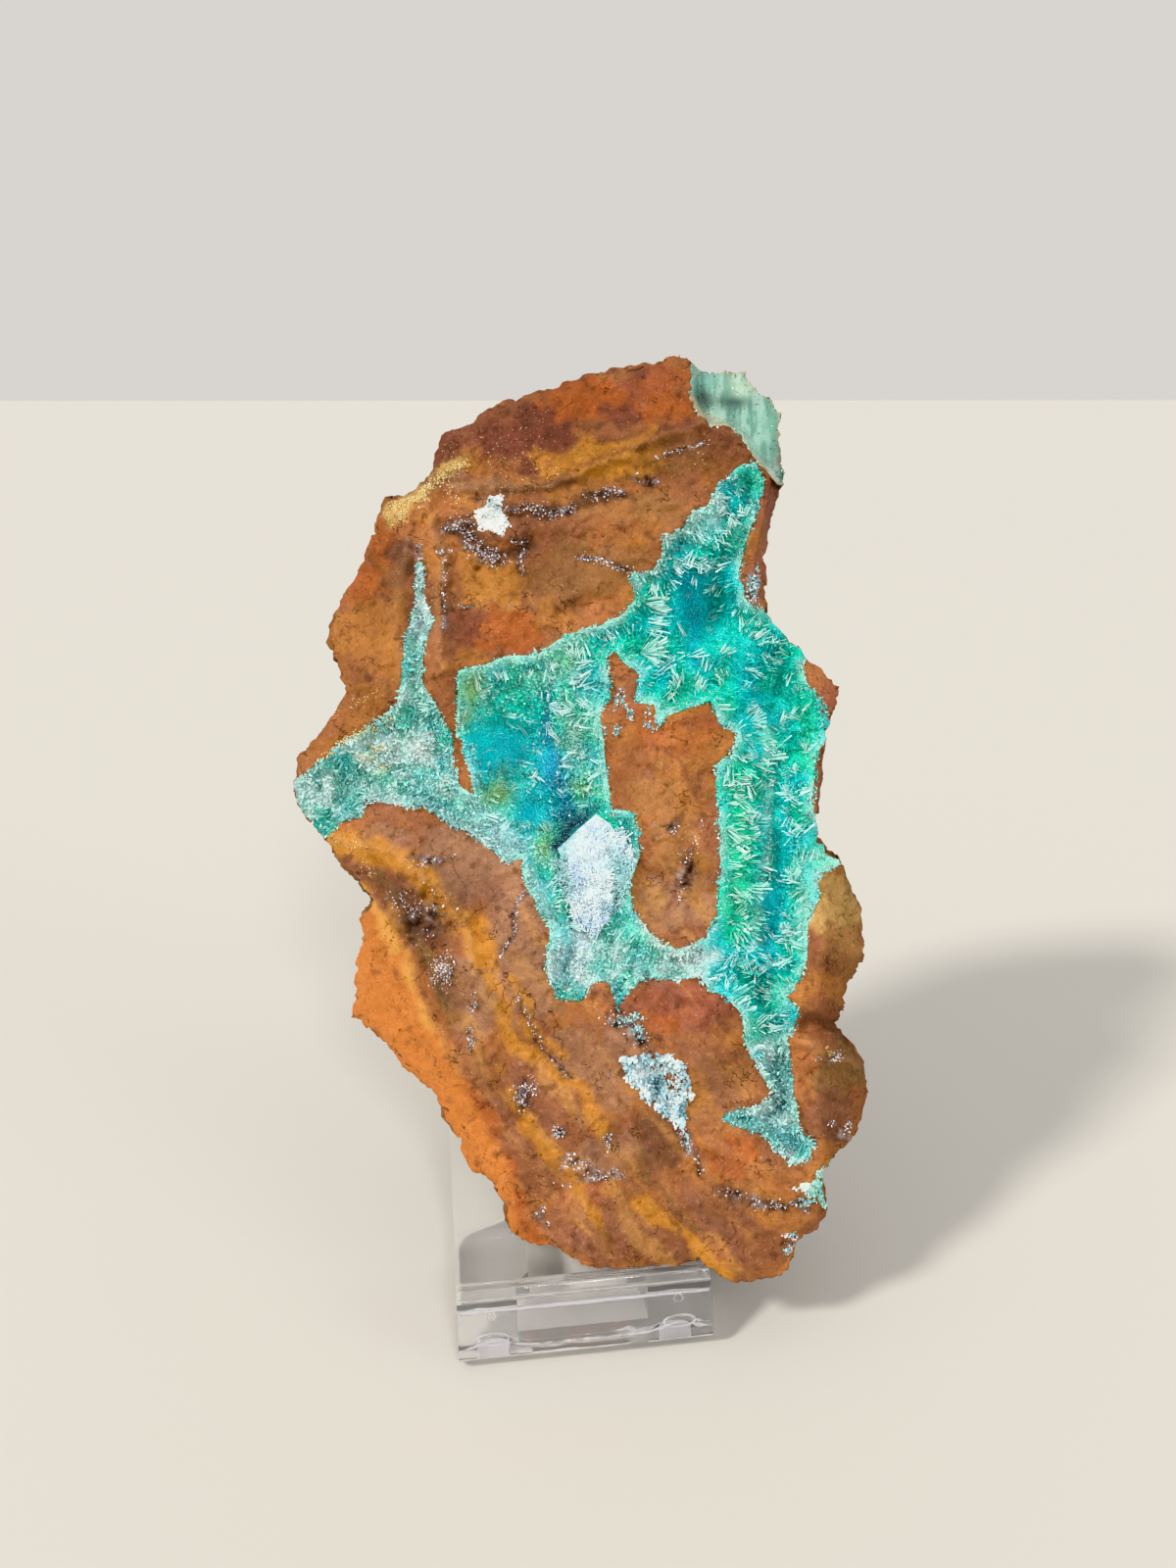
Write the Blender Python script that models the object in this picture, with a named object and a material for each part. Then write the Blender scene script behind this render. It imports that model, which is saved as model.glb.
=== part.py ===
"""Hemimorphite with aurichalcite: a slab of brown limonite whose front is split by a hollow
lined with turquoise needle crystals, standing on a small clear easel.

Sizes are in millimetres and become metres when a mesh is made. The easel stands along X with its
front towards -Y. The stone has a face frame of its own: u runs right, v runs up and w runs out of
the broken front face.
"""
import math

import bmesh
import bpy
import numpy as np
from mathutils import Vector
from mathutils.geometry import delaunay_2d_cdt

MM = 0.001

# Middle of the whole part, as x and y in the easel's own frame: it becomes the origin
MIDDLE = np.array([3.79, 36.71, 0.0])

# Face frame of the stone
FACE_ORIGIN = np.array([3.9, 28.4, 85.7])
FACE_LEAN = math.radians(18.3)
FACE_TURN = math.radians(7.7)
FLARE_LENGTH = 184.0

# Stone
STONE_THICKNESS = 31.0
STONE_EDGE_DEPTH = 20.0
FACE_SPACING = 3.6
CRUST_SPACING = 2.7
BACK_SPACING = 5.2
CRUST_GAP = 0.5

# Easel
STAND_WIDTH = 40.0
UNDERSIDE = 0.7
LEDGE_TOP = 6.9
LIP_LEAN = math.radians(66)
LIP_TOP_Y = 3.7
LIP_TOP_Z = 12.15
LIP_TOP_THICKNESS = 4.2
PANEL_FOOT_Y = 24.0
PANEL_LEAN = math.radians(64)
PANEL_LENGTH = 62.0
PANEL_THICKNESS = 4.0
WINDOW_WIDTH = 16.2
WINDOW_FLARE = 21.0
WINDOW_FRONT_Y = 8.2
WINDOW_LENGTH = 51.0
LEG_LEAN = math.radians(17)
BEND_RADIUS = 6.0
FOOT_FLARE_TOP = 6.5
LEG_CLEARANCE = 0.35
PAD_DIAMETER = 7.0
PAD_X = 14.5
PAD_Y = 7.2
REST_GAP = 0.3

# Outline of the stone, clockwise from the top, as u and v
OUTLINE = [
    (12.0, 66.2), (14.0, 66.9), (16.2, 66.2), (17.3, 64.4), (20.5, 64.1), (24.5, 64.2), (25.6, 61.8),
    (28.6, 59.9), (30.1, 57.5), (30.1, 53.0), (30.6, 48.5), (29.6, 44.0), (28.8, 40.5), (27.6, 35.5),
    (27.9, 31.0), (27.6, 26.8), (30.5, 23.2), (34.0, 19.8), (37.0, 17.2), (39.4, 14.6), (38.8, 11.6),
    (37.4, 8.6), (36.9, 4.0), (36.2, 0.0), (35.6, -5.0), (35.8, -9.4), (39.2, -12.4), (41.2, -15.8),
    (42.4, -19.0), (42.9, -23.5), (43.5, -27.0), (41.3, -29.8), (39.8, -32.5), (39.9, -35.8),
    (38.2, -37.5), (41.0, -41.2), (43.1, -44.6), (43.9, -48.5), (42.6, -52.4), (41.3, -56.4),
    (38.2, -58.8), (36.4, -61.8), (37.5, -66.8), (35.8, -70.4), (33.1, -71.4), (32.0, -74.6),
    (30.0, -77.2), (25.5, -78.2), (21.0, -78.1), (19.0, -76.0), (17.2, -74.4), (15.0, -75.3),
    (12.0, -75.9), (8.5, -76.2), (4.5, -76.2), (0.5, -76.0), (-2.8, -74.5), (-6.2, -72.5),
    (-9.5, -71.9), (-12.2, -70.0), (-13.0, -66.3), (-15.0, -62.8), (-18.4, -60.5), (-20.4, -55.8), (-22.8, -51.0),
    (-25.0, -47.6), (-28.2, -45.3), (-31.2, -41.6), (-34.2, -38.6), (-36.9, -36.6), (-36.2, -33.0),
    (-36.4, -28.5), (-35.4, -24.5), (-35.6, -21.6), (-33.7, -18.4), (-35.2, -16.2), (-38.2, -13.3),
    (-40.4, -9.8), (-42.8, -7.0), (-44.9, -4.6), (-46.1, -2.2), (-45.4, 0.4), (-45.6, 3.4),
    (-43.0, 6.0), (-40.6, 10.0), (-37.7, 14.2), (-39.0, 18.4), (-40.4, 22.7), (-39.5, 26.5),
    (-37.6, 30.3), (-35.0, 35.3), (-33.1, 40.3), (-31.9, 44.1), (-27.2, 45.2), (-24.2, 49.4),
    (-22.4, 54.9), (-18.6, 56.1), (-15.6, 58.7), (-11.0, 60.3), (-5.8, 61.6), (-1.0, 63.6),
    (4.0, 64.7), (9.5, 65.5),
]

# Outline of the crystal-lined hollow; where it runs past the stone's outline it ends on it
HOLLOW = [
    (26.3, 50.0), (27.5, 47.0), (26.6, 43.0), (25.2, 39.0), (24.2, 35.0), (23.7, 31.5), (24.6, 28.4),
    (28.6, 26.6), (32.0, 23.4), (34.6, 20.4), (33.7, 18.4), (34.2, 15.8), (36.5, 13.2), (37.2, 10.4),
    (38.4, 8.4), (37.0, 6.4), (35.8, 4.0), (35.4, 0.0), (35.2, -4.6), (36.6, -6.6), (38.6, -10.4),
    (39.8, -12.6), (38.4, -13.7), (35.9, -14.6), (36.1, -18.0), (34.6, -22.0), (34.4, -27.4),
    (33.2, -31.0), (30.9, -33.8), (32.8, -35.8), (32.4, -38.4), (30.9, -40.2), (31.9, -44.6),
    (32.2, -49.8), (32.9, -54.4), (35.3, -56.8), (34.4, -59.4), (31.6, -59.8), (29.2, -57.4),
    (27.0, -55.2), (24.3, -54.2), (21.2, -53.0), (22.4, -51.7), (26.4, -50.5), (29.3, -49.0),
    (26.8, -45.2), (24.8, -41.0), (24.1, -36.6), (21.4, -33.4), (18.8, -32.8), (17.6, -30.3),
    (13.0, -31.0), (8.8, -30.4), (6.0, -33.2), (4.6, -35.4), (3.2, -31.4), (1.0, -31.2),
    (-1.2, -34.2), (-4.6, -33.9), (-6.4, -30.6), (-6.4, -26.6), (-5.9, -22.4), (-8.2, -18.6),
    (-10.0, -15.4), (-10.4, -12.0), (-12.8, -12.6), (-15.6, -10.2), (-19.0, -7.5), (-22.4, -6.0),
    (-25.2, -3.9), (-30.0, -3.5), (-34.8, -2.7), (-35.5, -5.2), (-38.8, -6.3), (-41.4, -9.2),
    (-45.2, -7.2), (-47.6, -3.0), (-46.8, -0.4), (-44.4, 1.2), (-41.0, 4.1), (-37.0, 7.0),
    (-32.5, 9.8), (-30.0, 12.2), (-29.2, 17.6), (-28.4, 23.6), (-27.0, 28.6), (-26.8, 34.8),
    (-25.7, 33.2), (-25.8, 28.8), (-24.0, 25.6), (-25.6, 21.4), (-26.0, 16.0), (-23.8, 12.2),
    (-22.4, 8.8), (-20.7, 6.6), (-20.3, 3.0), (-19.2, -0.4), (-17.4, -1.6), (-18.5, 1.2),
    (-19.7, 4.6), (-20.3, 8.0), (-20.7, 12.4), (-20.3, 17.8), (-16.5, 18.2), (-13.2, 19.6),
    (-8.0, 20.2), (-3.6, 22.6), (0.8, 24.3), (5.0, 25.9), (7.6, 28.6), (6.8, 32.4), (10.3, 33.4),
    (11.8, 35.6), (11.6, 38.0), (14.9, 40.0), (16.4, 42.5), (18.8, 43.0), (20.0, 46.2),
    (22.2, 47.8), (24.2, 49.8),
]

# Pillar of stone left standing in the hollow
PILLAR = [
    (2.8, 19.8), (4.4, 20.7), (6.2, 18.4), (8.2, 16.8), (7.3, 12.6), (10.4, 12.0), (10.8, 8.2),
    (12.6, 10.5), (16.0, 11.8), (19.4, 12.5), (20.4, 9.8), (23.2, 7.6), (22.5, 4.4), (20.2, 2.6),
    (20.3, -3.0), (20.7, -9.0), (20.6, -15.0), (20.2, -21.0), (18.4, -24.2), (16.6, -26.8),
    (12.6, -25.5), (9.6, -23.0), (6.8, -19.8), (6.5, -16.2), (8.2, -12.5), (7.5, -7.0), (6.4, -4.8),
    (3.6, -2.4), (2.6, 3.0), (1.6, 10.4), (3.4, 14.8),
]

BLOCK = [
    (1.2, -5.0), (3.4, -6.4), (6.2, -11.0), (6.2, -14.2), (4.8, -17.4), (2.2, -21.4), (0.4, -23.0),
    (-1.6, -20.6), (-3.0, -15.4), (-4.8, -10.4), (-1.6, -7.4),
]

EDGE_PLATE = [
    (16.4, 67.0), (18.4, 66.0), (26.0, 66.0), (29.5, 62.0), (32.0, 58.0), (32.0, 46.6), (29.6, 46.4),
    (28.2, 48.4), (25.6, 51.2), (23.6, 54.6), (21.6, 55.8), (19.0, 55.6), (17.2, 57.6), (15.8, 60.4),
    (16.2, 63.4),
]

POCKET = [
    (5.3, -43.4), (8.6, -42.4), (12.4, -42.8), (15.2, -44.2), (15.8, -47.4), (16.2, -49.6),
    (15.0, -51.6), (14.8, -54.4), (12.2, -52.8), (9.0, -50.0), (6.2, -46.8),
]

WHITE_SPOT = [
    (-13.7, 44.8), (-12.8, 42.4), (-12.1, 40.6), (-13.8, 37.9), (-15.6, 39.0), (-18.2, 41.2),
    (-16.4, 43.6),
]

CORNER_SPOT = [
    (31.2, -63.5), (34.8, -62.6), (37.4, -59.4), (39.0, -63.0), (39.4, -67.4), (36.4, -66.4),
    (34.6, -64.6),
]

# Depths of the hollow below the face: centre u, centre v, spread u, spread v, depth
HOLLOW_DEPTHS = [
    (-11.0, 5.0, 6.5, 7.0, 8.0),
    (-5.5, -4.0, 4.5, 4.5, 7.0),
    (28.8, -12.0, 3.0, 15.0, 8.0),
    (29.5, 14.0, 5.0, 8.0, 5.5),
    (18.5, 26.5, 5.5, 6.0, 8.0),
    (0.0, -18.0, 5.0, 7.0, 3.0),
    (27.0, -33.0, 4.0, 4.0, 3.5),
]


def eased(x):
    """Step from 0 to 1 with soft ends."""
    x = np.clip(x, 0.0, 1.0)
    return x * x * (3.0 - 2.0 * x)


def noise(x, y, seed=0.0):
    """Smooth noise between -1 and 1 with one knot per unit."""
    x0 = np.floor(x)
    y0 = np.floor(y)
    fx = eased(x - x0)
    fy = eased(y - y0)

    def knot(i, j):
        value = np.sin((x0 + i) * 127.1 + (y0 + j) * 311.7 + seed * 74.7) * 4375.85
        return 2.0 * (value - np.floor(value)) - 1.0

    low = knot(0, 0) * (1 - fx) + knot(1, 0) * fx
    high = knot(0, 1) * (1 - fx) + knot(1, 1) * fx
    return low * (1 - fy) + high * fy


def distance_to_loop(loop, u, v):
    """Distance from each point to a closed loop, positive inside it."""
    loop = np.asarray(loop)
    nearest = np.full(u.shape, 1e9)
    inside = np.zeros(u.shape, dtype=bool)
    for (au, av), (bu, bv) in zip(loop, np.roll(loop, -1, axis=0)):
        du = bu - au
        dv = bv - av
        t = np.clip(((u - au) * du + (v - av) * dv) / (du * du + dv * dv), 0.0, 1.0)
        nearest = np.minimum(nearest, np.hypot(u - au - t * du, v - av - t * dv))
        crosses = ((av > v) != (bv > v)) & (u < au + (v - av) * du / (dv if dv else 1e-9))
        inside ^= crosses
    return np.where(inside, nearest, -nearest)


def face_height(u, v):
    """Height w of the stone's front, before any crystals grew on it."""
    w = 1.0 * noise(u / 15, v / 15, 1) + 0.45 * noise(u / 5.5, v / 5.5, 2)

    # Broad facets that fall away from the flat middle
    crest = np.interp(u, [-30, -6, 4, 18, 27], [45.5, 46.0, 51.5, 56.5, 50.5])
    w = w - 0.45 * np.maximum(0, v - crest)
    shoulder = np.interp(v, [-8, 3, 12, 20, 34, 46], [-50, -42, -32, -30.5, -29, -27])
    w = w - 0.38 * np.maximum(0, shoulder - u)
    flank = np.interp(v, [-78, -68, -63, -57, -50, -43, -35, -27, -21, -16, -8],
                      [-6, -11.0, -11.6, -13.5, -17.5, -21.5, -25.5, -28, -31, -35, -46])
    w = w - 0.95 * np.maximum(0, flank - u)
    lobes = np.interp(v, [-62, -56, -50, -38, -28, -14, -10], [37, 36.5, 36, 35, 37, 37.5, 42])
    w = w - 0.9 * np.maximum(0, u - lobes)
    margin = np.interp(v, [-10, 0, 5, 10, 15, 20], [36, 35.5, 35.9, 36.9, 35.3, 33.6])
    w = w - 0.8 * np.maximum(0, u - margin) * (v > -12)

    # Step down to the crystal plate and to the strip of rock below it
    plate = distance_to_loop(EDGE_PLATE, u, v)
    w = w - eased(plate / 1.6) * (4.6 + 0.2 * np.maximum(0, u - 17))
    strip = np.interp(v, [26, 31, 36, 41, 46, 49, 51], [26.2, 26.0, 26.6, 27.4, 28.4, 28.2, 32])
    w = w - 5.5 * eased((u - strip) / 1.4) * (v > 25.5) * (v < 51) * (plate < 0)

    # Diagonal ledges of the lower face and the crease between the two right lobes
    across = 0.78 * u + 0.62 * v
    along = -0.62 * u + 0.78 * v
    ledges = eased((-10 - v) / 12) * eased((26 - u) / 6)
    w = w + 0.8 * ledges * noise(across / 3.6, along / 19, 3)
    crease = np.hypot(u - 36, (v + 38.2) * 2.2)
    w = w - 2.6 * np.exp(-(crease / 3.4) ** 2)

    # The hollow and its pillar, and the lower pocket
    wall = np.minimum(distance_to_loop(HOLLOW, u, v), -distance_to_loop(PILLAR, u, v))
    depth = np.full(u.shape, 2.8)
    for cu, cv, su, sv, d in HOLLOW_DEPTHS:
        depth = depth + d * np.exp(-((u - cu) / su) ** 2 - ((v - cv) / sv) ** 2)
    depth = depth * np.where(u < -22, 0.75, 1.0)
    w = w - depth * eased(wall / (1.2 + 0.32 * depth))
    w = w - 3.0 * eased(distance_to_loop(POCKET, u, v) / 2.8)
    w = w - 0.9 * eased(distance_to_loop(WHITE_SPOT, u, v) / 1.5)

    # Broken rim
    rim = distance_to_loop(OUTLINE, u, v)
    return w - 1.5 * (1 - eased(rim / 2.6))


def face_to_world(u, v, w):
    """Place of a point of the stone in the easel's frame; its sides flare behind the face."""
    u, v, w = (np.asarray(x, dtype=float) for x in (u, v, w))
    right = np.array([math.cos(FACE_TURN), -math.sin(FACE_TURN), 0.0])
    out = np.array([
        -math.sin(FACE_TURN) * math.cos(FACE_LEAN),
        -math.cos(FACE_TURN) * math.cos(FACE_LEAN),
        math.sin(FACE_LEAN),
    ])
    up = np.cross(out, right)
    flare = 1.0 - w / FLARE_LENGTH
    return (FACE_ORIGIN + (u * flare)[..., None] * right + (v * flare)[..., None] * up
            + w[..., None] * out)


def panel_face(s, offset=0.0):
    """Point s up the easel's back panel from its foot, offset behind its front face."""
    y = PANEL_FOOT_Y + s * math.cos(PANEL_LEAN) + offset * math.sin(PANEL_LEAN)
    z = LEDGE_TOP + s * math.sin(PANEL_LEAN) - offset * math.cos(PANEL_LEAN)
    return y, z


def clear_of_panel(points):
    """Distance in millimetres from each world point to the front of the back panel."""
    y, z = panel_face(0.0)
    return (math.sin(PANEL_LEAN) * (y - points[..., 1])
            + math.cos(PANEL_LEAN) * (points[..., 2] - z))


def mesh_object(name, points, faces, colour, roughness, smooth=False, transmission=0.0):
    """Object with one closed mesh and a plain material; points are in the easel's frame."""
    mesh = bpy.data.meshes.new(name)
    mesh.from_pydata([tuple(p) for p in (np.asarray(points) - MIDDLE) * MM], [], faces)
    work = bmesh.new()
    work.from_mesh(mesh)
    bmesh.ops.recalc_face_normals(work, faces=work.faces)
    work.to_mesh(mesh)
    work.free()
    if smooth:
        mesh.shade_smooth()
        mesh.set_sharp_from_angle(angle=math.radians(35))
    material = bpy.data.materials.new(name)
    material.use_nodes = True
    shader = material.node_tree.nodes["Principled BSDF"]
    shader.inputs["Base Color"].default_value = (*colour, 1.0)
    shader.inputs["Roughness"].default_value = roughness
    shader.inputs["Metallic"].default_value = 0.0
    shader.inputs["Transmission Weight"].default_value = transmission
    mesh.materials.append(material)
    piece = bpy.data.objects.new(name, mesh)
    bpy.context.scene.collection.objects.link(piece)
    return piece


def filler_points(loops, spacing_at, rng):
    """Jittered points inside the outline that keep clear of every loop."""
    step = CRUST_SPACING
    rows = np.arange(-80, 70, step * 0.87)
    points = []
    for i, row in enumerate(rows):
        for column in np.arange(-48, 46, step) + (i % 2) * step / 2:
            points.append((column, row))
    points = np.array(points) + rng.uniform(-0.22, 0.22, (len(points), 2)) * step
    u, v = points.T
    spacing = spacing_at(u, v)
    keep = distance_to_loop(OUTLINE, u, v) > 0.4 * spacing
    for loop in loops:
        keep &= np.abs(distance_to_loop(loop, u, v)) > 0.42 * spacing
    keep &= rng.uniform(0, 1, len(u)) < (step / spacing) ** 2
    return [tuple(p) for p in points[keep]]


def triangulate(loops, fill):
    """Triangles over the stone's outline with edges along every loop."""
    points = []
    edges = []
    for loop in loops:
        first = len(points)
        points += loop
        edges += [(first + i, first + (i + 1) % len(loop)) for i in range(len(loop))]
    points += fill
    flat, _, faces, _, _, _ = delaunay_2d_cdt([Vector(p) for p in points], edges, [], 0, 0.02)
    flat = np.array([tuple(p) for p in flat])
    faces = np.array([tuple(f) for f in faces])
    middle = flat[faces].mean(axis=1)
    inside = distance_to_loop(OUTLINE, middle[:, 0], middle[:, 1]) > 0
    return flat, faces[inside]


def rim_loop(faces):
    """Rim edges of a triangle patch, each in the direction of its triangle."""
    seen = {}
    for a, b, c in faces:
        for edge in ((a, b), (b, c), (c, a)):
            seen[edge] = True
    return [edge for edge in seen if (edge[1], edge[0]) not in seen]


def without_pinches(faces):
    """Patch without the triangles that meet the rest of it only at a corner."""
    while True:
        starts = [a for a, _ in rim_loop(faces)]
        pinched = {a for a in starts if starts.count(a) > 1}
        if not pinched:
            return faces
        corner = pinched.pop()
        touching = [i for i, face in enumerate(faces) if corner in face]
        faces = np.delete(faces, touching[0], axis=0)


def largest_patch(faces):
    """The biggest edge-connected group of triangles."""
    by_edge = {}
    for i, face in enumerate(faces):
        for a, b in zip(face, np.roll(face, -1)):
            by_edge.setdefault((min(a, b), max(a, b)), []).append(i)
    left = set(range(len(faces)))
    best = []
    while left:
        group = [left.pop()]
        for i in group:
            face = faces[i]
            for a, b in zip(face, np.roll(face, -1)):
                for j in by_edge[(min(a, b), max(a, b))]:
                    if j in left:
                        left.remove(j)
                        group.append(j)
        if len(group) > len(best):
            best = group
    return faces[sorted(best)]


def build_matrix(flat, faces):
    """The brown rock: front from the face height, flaring sides, and a rough back."""
    u, v = flat.T
    used = np.unique(faces)
    remap = {old: new for new, old in enumerate(used)}
    front = [face_to_world(u[i], v[i], face_height(u[i:i + 1], v[i:i + 1])[0]) for i in used]
    tris = [tuple(remap[i] for i in face) for face in faces]

    # Rim of the front in order
    follow = {a: b for a, b in rim_loop(faces)}
    ring = [next(iter(follow))]
    while follow[ring[-1]] != ring[0]:
        ring.append(follow[ring[-1]])
    ring_u, ring_v = flat[ring].T
    ring_w = face_height(ring_u, ring_v)
    points = list(front)
    previous = [remap[i] for i in ring]

    # Side walls: share of the edge depth, and size against the outline
    for share, size in ((0.2, 0.992), (0.45, 0.975), (0.75, 0.945), (1.0, 0.90)):
        rough = noise(ring_u / 6, ring_v / 6 + 9 * share, 5)
        depth = STONE_EDGE_DEPTH * share * (1 + 0.12 * rough)
        side_u = ring_u * (size + 0.012 * rough)
        side_v = -5 + (ring_v + 5) * (size + 0.012 * rough)
        side_w = np.minimum(ring_w, 0) * (1 - share) - depth
        foot = eased((ring_u - 3.5) / 2) * eased((18 - ring_u) / 2) * (ring_v < -70)
        side_v = side_v - foot * (3.1 if share < 0.9 else 1.5) * (share > 0.3)
        wall = settle(face_to_world(side_u, side_v, side_w))
        current = list(range(len(points), len(points) + len(ring)))
        points += list(wall)
        for i in range(len(ring)):
            j = (i + 1) % len(ring)
            tris.append((previous[i], previous[j], current[j]))
            tris.append((previous[i], current[j], current[i]))
        previous = current
    back_u, back_v = side_u, side_v
    back_w = side_w

    # Back: coarse triangles inside the last ring of the walls
    rng = np.random.default_rng(7)
    step = BACK_SPACING
    grid = [(a + (j % 2) * step / 2, b) for j, b in enumerate(np.arange(-78, 66, step * 0.87))
            for a in np.arange(-46, 44, step)]
    grid = np.array(grid) + rng.uniform(-0.25, 0.25, (len(grid), 2)) * step
    loop = list(zip(back_u, back_v))
    rim = distance_to_loop(loop, grid[:, 0], grid[:, 1])
    grid = grid[rim > 0.45 * step]
    edges = [(i, (i + 1) % len(loop)) for i in range(len(loop))]
    corners = [Vector(p) for p in loop] + [Vector(p) for p in grid]
    spread, _, back_faces, _, _, _ = delaunay_2d_cdt(corners, edges, [], 0, 1e-5)
    spread = np.array([tuple(p) for p in spread])
    back_faces = np.array([tuple(f) for f in back_faces])
    middle = spread[back_faces].mean(axis=1)
    back_faces = back_faces[distance_to_loop(loop, middle[:, 0], middle[:, 1]) > 0]
    gu, gv = spread[len(loop):].T
    rim = distance_to_loop(loop, gu, gv)
    bulge = STONE_THICKNESS + 3.2 * noise(gu / 21, gv / 21, 6) + 1.3 * noise(gu / 7, gv / 7, 7)
    gw = -(STONE_EDGE_DEPTH + (bulge - STONE_EDGE_DEPTH) * eased(rim / 13))
    inner = settle(face_to_world(gu, gv, gw))
    base = len(points)
    points += list(inner)
    index = previous + list(range(base, base + len(inner)))
    tris += [tuple(index[i] for i in face) for face in back_faces]
    return mesh_object("matrix", points, tris, (0.42, 0.17, 0.055), 0.85)


def settle(points):
    """Points moved until they clear the easel's panel, ledge and lip."""
    points = np.array(points)

    # Forward and up, off the panel's front
    behind = np.maximum(0, REST_GAP + 0.15 - clear_of_panel(points))
    near = eased((28 - np.abs(points[:, 0])) / 3.5) * eased((82 - points[:, 2]) / 12)
    points[:, 1] -= behind * near * math.sin(PANEL_LEAN)
    points[:, 2] += behind * near * math.cos(PANEL_LEAN)

    # Up, off the ledge
    over = np.abs(points[:, 0]) < STAND_WIDTH / 2 + 4
    floor = LEDGE_TOP + REST_GAP
    points[:, 2] = np.where(over, np.maximum(points[:, 2], floor), points[:, 2])

    # Up, off the sloping top of the lip; the low right corner hangs beside the lip instead
    side = STAND_WIDTH / 2
    over = (points[:, 0] > side - 0.4) & (points[:, 0] < side + 2) & (points[:, 2] < LIP_TOP_Z)
    points[:, 0] = np.where(over, side + 2, points[:, 0])
    over = (np.abs(points[:, 0]) < side + 0.6) & (points[:, 1] < 8.4)
    fall = np.maximum(0, points[:, 1] - LIP_TOP_Y) / math.tan(LIP_LEAN)
    lip = LIP_TOP_Z + REST_GAP - fall + 1.1 * (points[:, 0] > side - 3)
    points[:, 2] = np.where(over, np.maximum(points[:, 2], lip), points[:, 2])
    return points


def build_crust(name, flat, faces, loop, thickness, spikes, colour, roughness, hole=None, seed=1):
    """Crystal crust over one region of the face: the stone's own triangles, raised, with a
    sharp point on a share of them."""
    middle = flat[faces].mean(axis=1)
    chosen = distance_to_loop(loop, middle[:, 0], middle[:, 1]) > 0
    for other in hole or []:
        chosen &= distance_to_loop(other, middle[:, 0], middle[:, 1]) < 0
    patch = largest_patch(without_pinches(largest_patch(faces[chosen])))
    used = np.unique(patch)
    remap = {old: new for new, old in enumerate(used)}
    u, v = flat[used].T
    rng = np.random.default_rng(seed)
    floor = face_height(u, v) + CRUST_GAP
    rim = {a for a, _ in rim_loop(patch)}
    at_rim = np.array([i in rim for i in used])
    swell = rng.uniform(0.7, 1.4, len(used)) * thickness
    top = floor + np.where(at_rim, 0.55 * thickness, swell)
    points = list(face_to_world(u, v, floor)) + list(face_to_world(u, v, top))
    count = len(used)
    tris = []
    for face in patch:
        low = [remap[i] for i in face]
        high = [i + count for i in low]
        tris.append(tuple(reversed(low)))
        if rng.uniform() < spikes:
            centre = flat[face].mean(axis=0) + rng.uniform(-0.3, 0.3, 2)
            tip = top[low].mean() + thickness * rng.uniform(0.7, 1.6)
            points.append(face_to_world(centre[0], centre[1], tip))
            tip_index = len(points) - 1
            tris += [(high[i], high[(i + 1) % 3], tip_index) for i in range(3)]
        else:
            tris.append(tuple(high))
    for a, b in rim_loop(patch):
        a, b = remap[a], remap[b]
        tris.append((a, b, b + count))
        tris.append((a, b + count, a + count))
    return mesh_object(name, points, tris, colour, roughness)


def build_block(flat, faces):
    """White block of hemimorphite: upright sides and a face of a few flat facets."""
    middle = flat[faces].mean(axis=1)
    patch = faces[distance_to_loop(BLOCK, middle[:, 0], middle[:, 1]) > 0]
    patch = without_pinches(largest_patch(patch))
    used = np.unique(patch)
    remap = {old: new for new, old in enumerate(used)}
    u, v = flat[used].T
    floor = face_height(u, v) + CRUST_GAP
    facets = np.array([
        -1.2 + 0.10 * (u - 1) + 0.12 * (v + 12),
        -0.6 - 0.42 * (u - 1.5) + 0.02 * (v + 12),
        -0.9 - 0.05 * (u - 1) + 0.30 * (v + 19),
        -0.7 + 0.30 * (u + 3.5) - 0.04 * (v + 10),
    ])
    top = np.maximum(facets.min(axis=0), floor + 1.5)
    count = len(used)
    points = list(face_to_world(u, v, floor)) + list(face_to_world(u, v, top))
    tris = []
    for face in patch:
        low = [remap[i] for i in face]
        tris.append(tuple(reversed(low)))
        tris.append(tuple(i + count for i in low))
    for a, b in rim_loop(patch):
        a, b = remap[a], remap[b]
        tris.append((a, b, b + count))
        tris.append((a, b + count, a + count))
    return mesh_object("hemimorphite_block", points, tris, (0.80, 0.88, 0.93), 0.35)


def grown(loop, amount):
    """Loop moved outwards from its middle by an amount."""
    loop = np.array(loop)
    away = loop - loop.mean(axis=0)
    away = away / np.linalg.norm(away, axis=1)[:, None]
    return [tuple(p) for p in loop + away * amount]


def rounded(corners, steps=6):
    """Closed outline through (y, z, radius) corners, each rounded by its radius."""
    outline = []
    count = len(corners)
    for i, (y, z, radius) in enumerate(corners):
        here = Vector((y, z))
        back = (Vector(corners[i - 1][:2]) - here).normalized()
        ahead = (Vector(corners[(i + 1) % count][:2]) - here).normalized()
        half = back.angle(ahead) / 2
        if radius <= 0:
            outline.append(here)
            continue
        centre = here + (back + ahead).normalized() * (radius / math.sin(half))
        start = here + back * (radius / math.tan(half)) - centre
        end = here + ahead * (radius / math.tan(half)) - centre
        sweep = start.angle_signed(end)
        for k in range(steps + 1):
            turn = -sweep * k / steps
            outline.append(centre + Vector((
                start.x * math.cos(turn) - start.y * math.sin(turn),
                start.x * math.sin(turn) + start.y * math.cos(turn),
            )))
    return [tuple(p) for p in outline]


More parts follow.
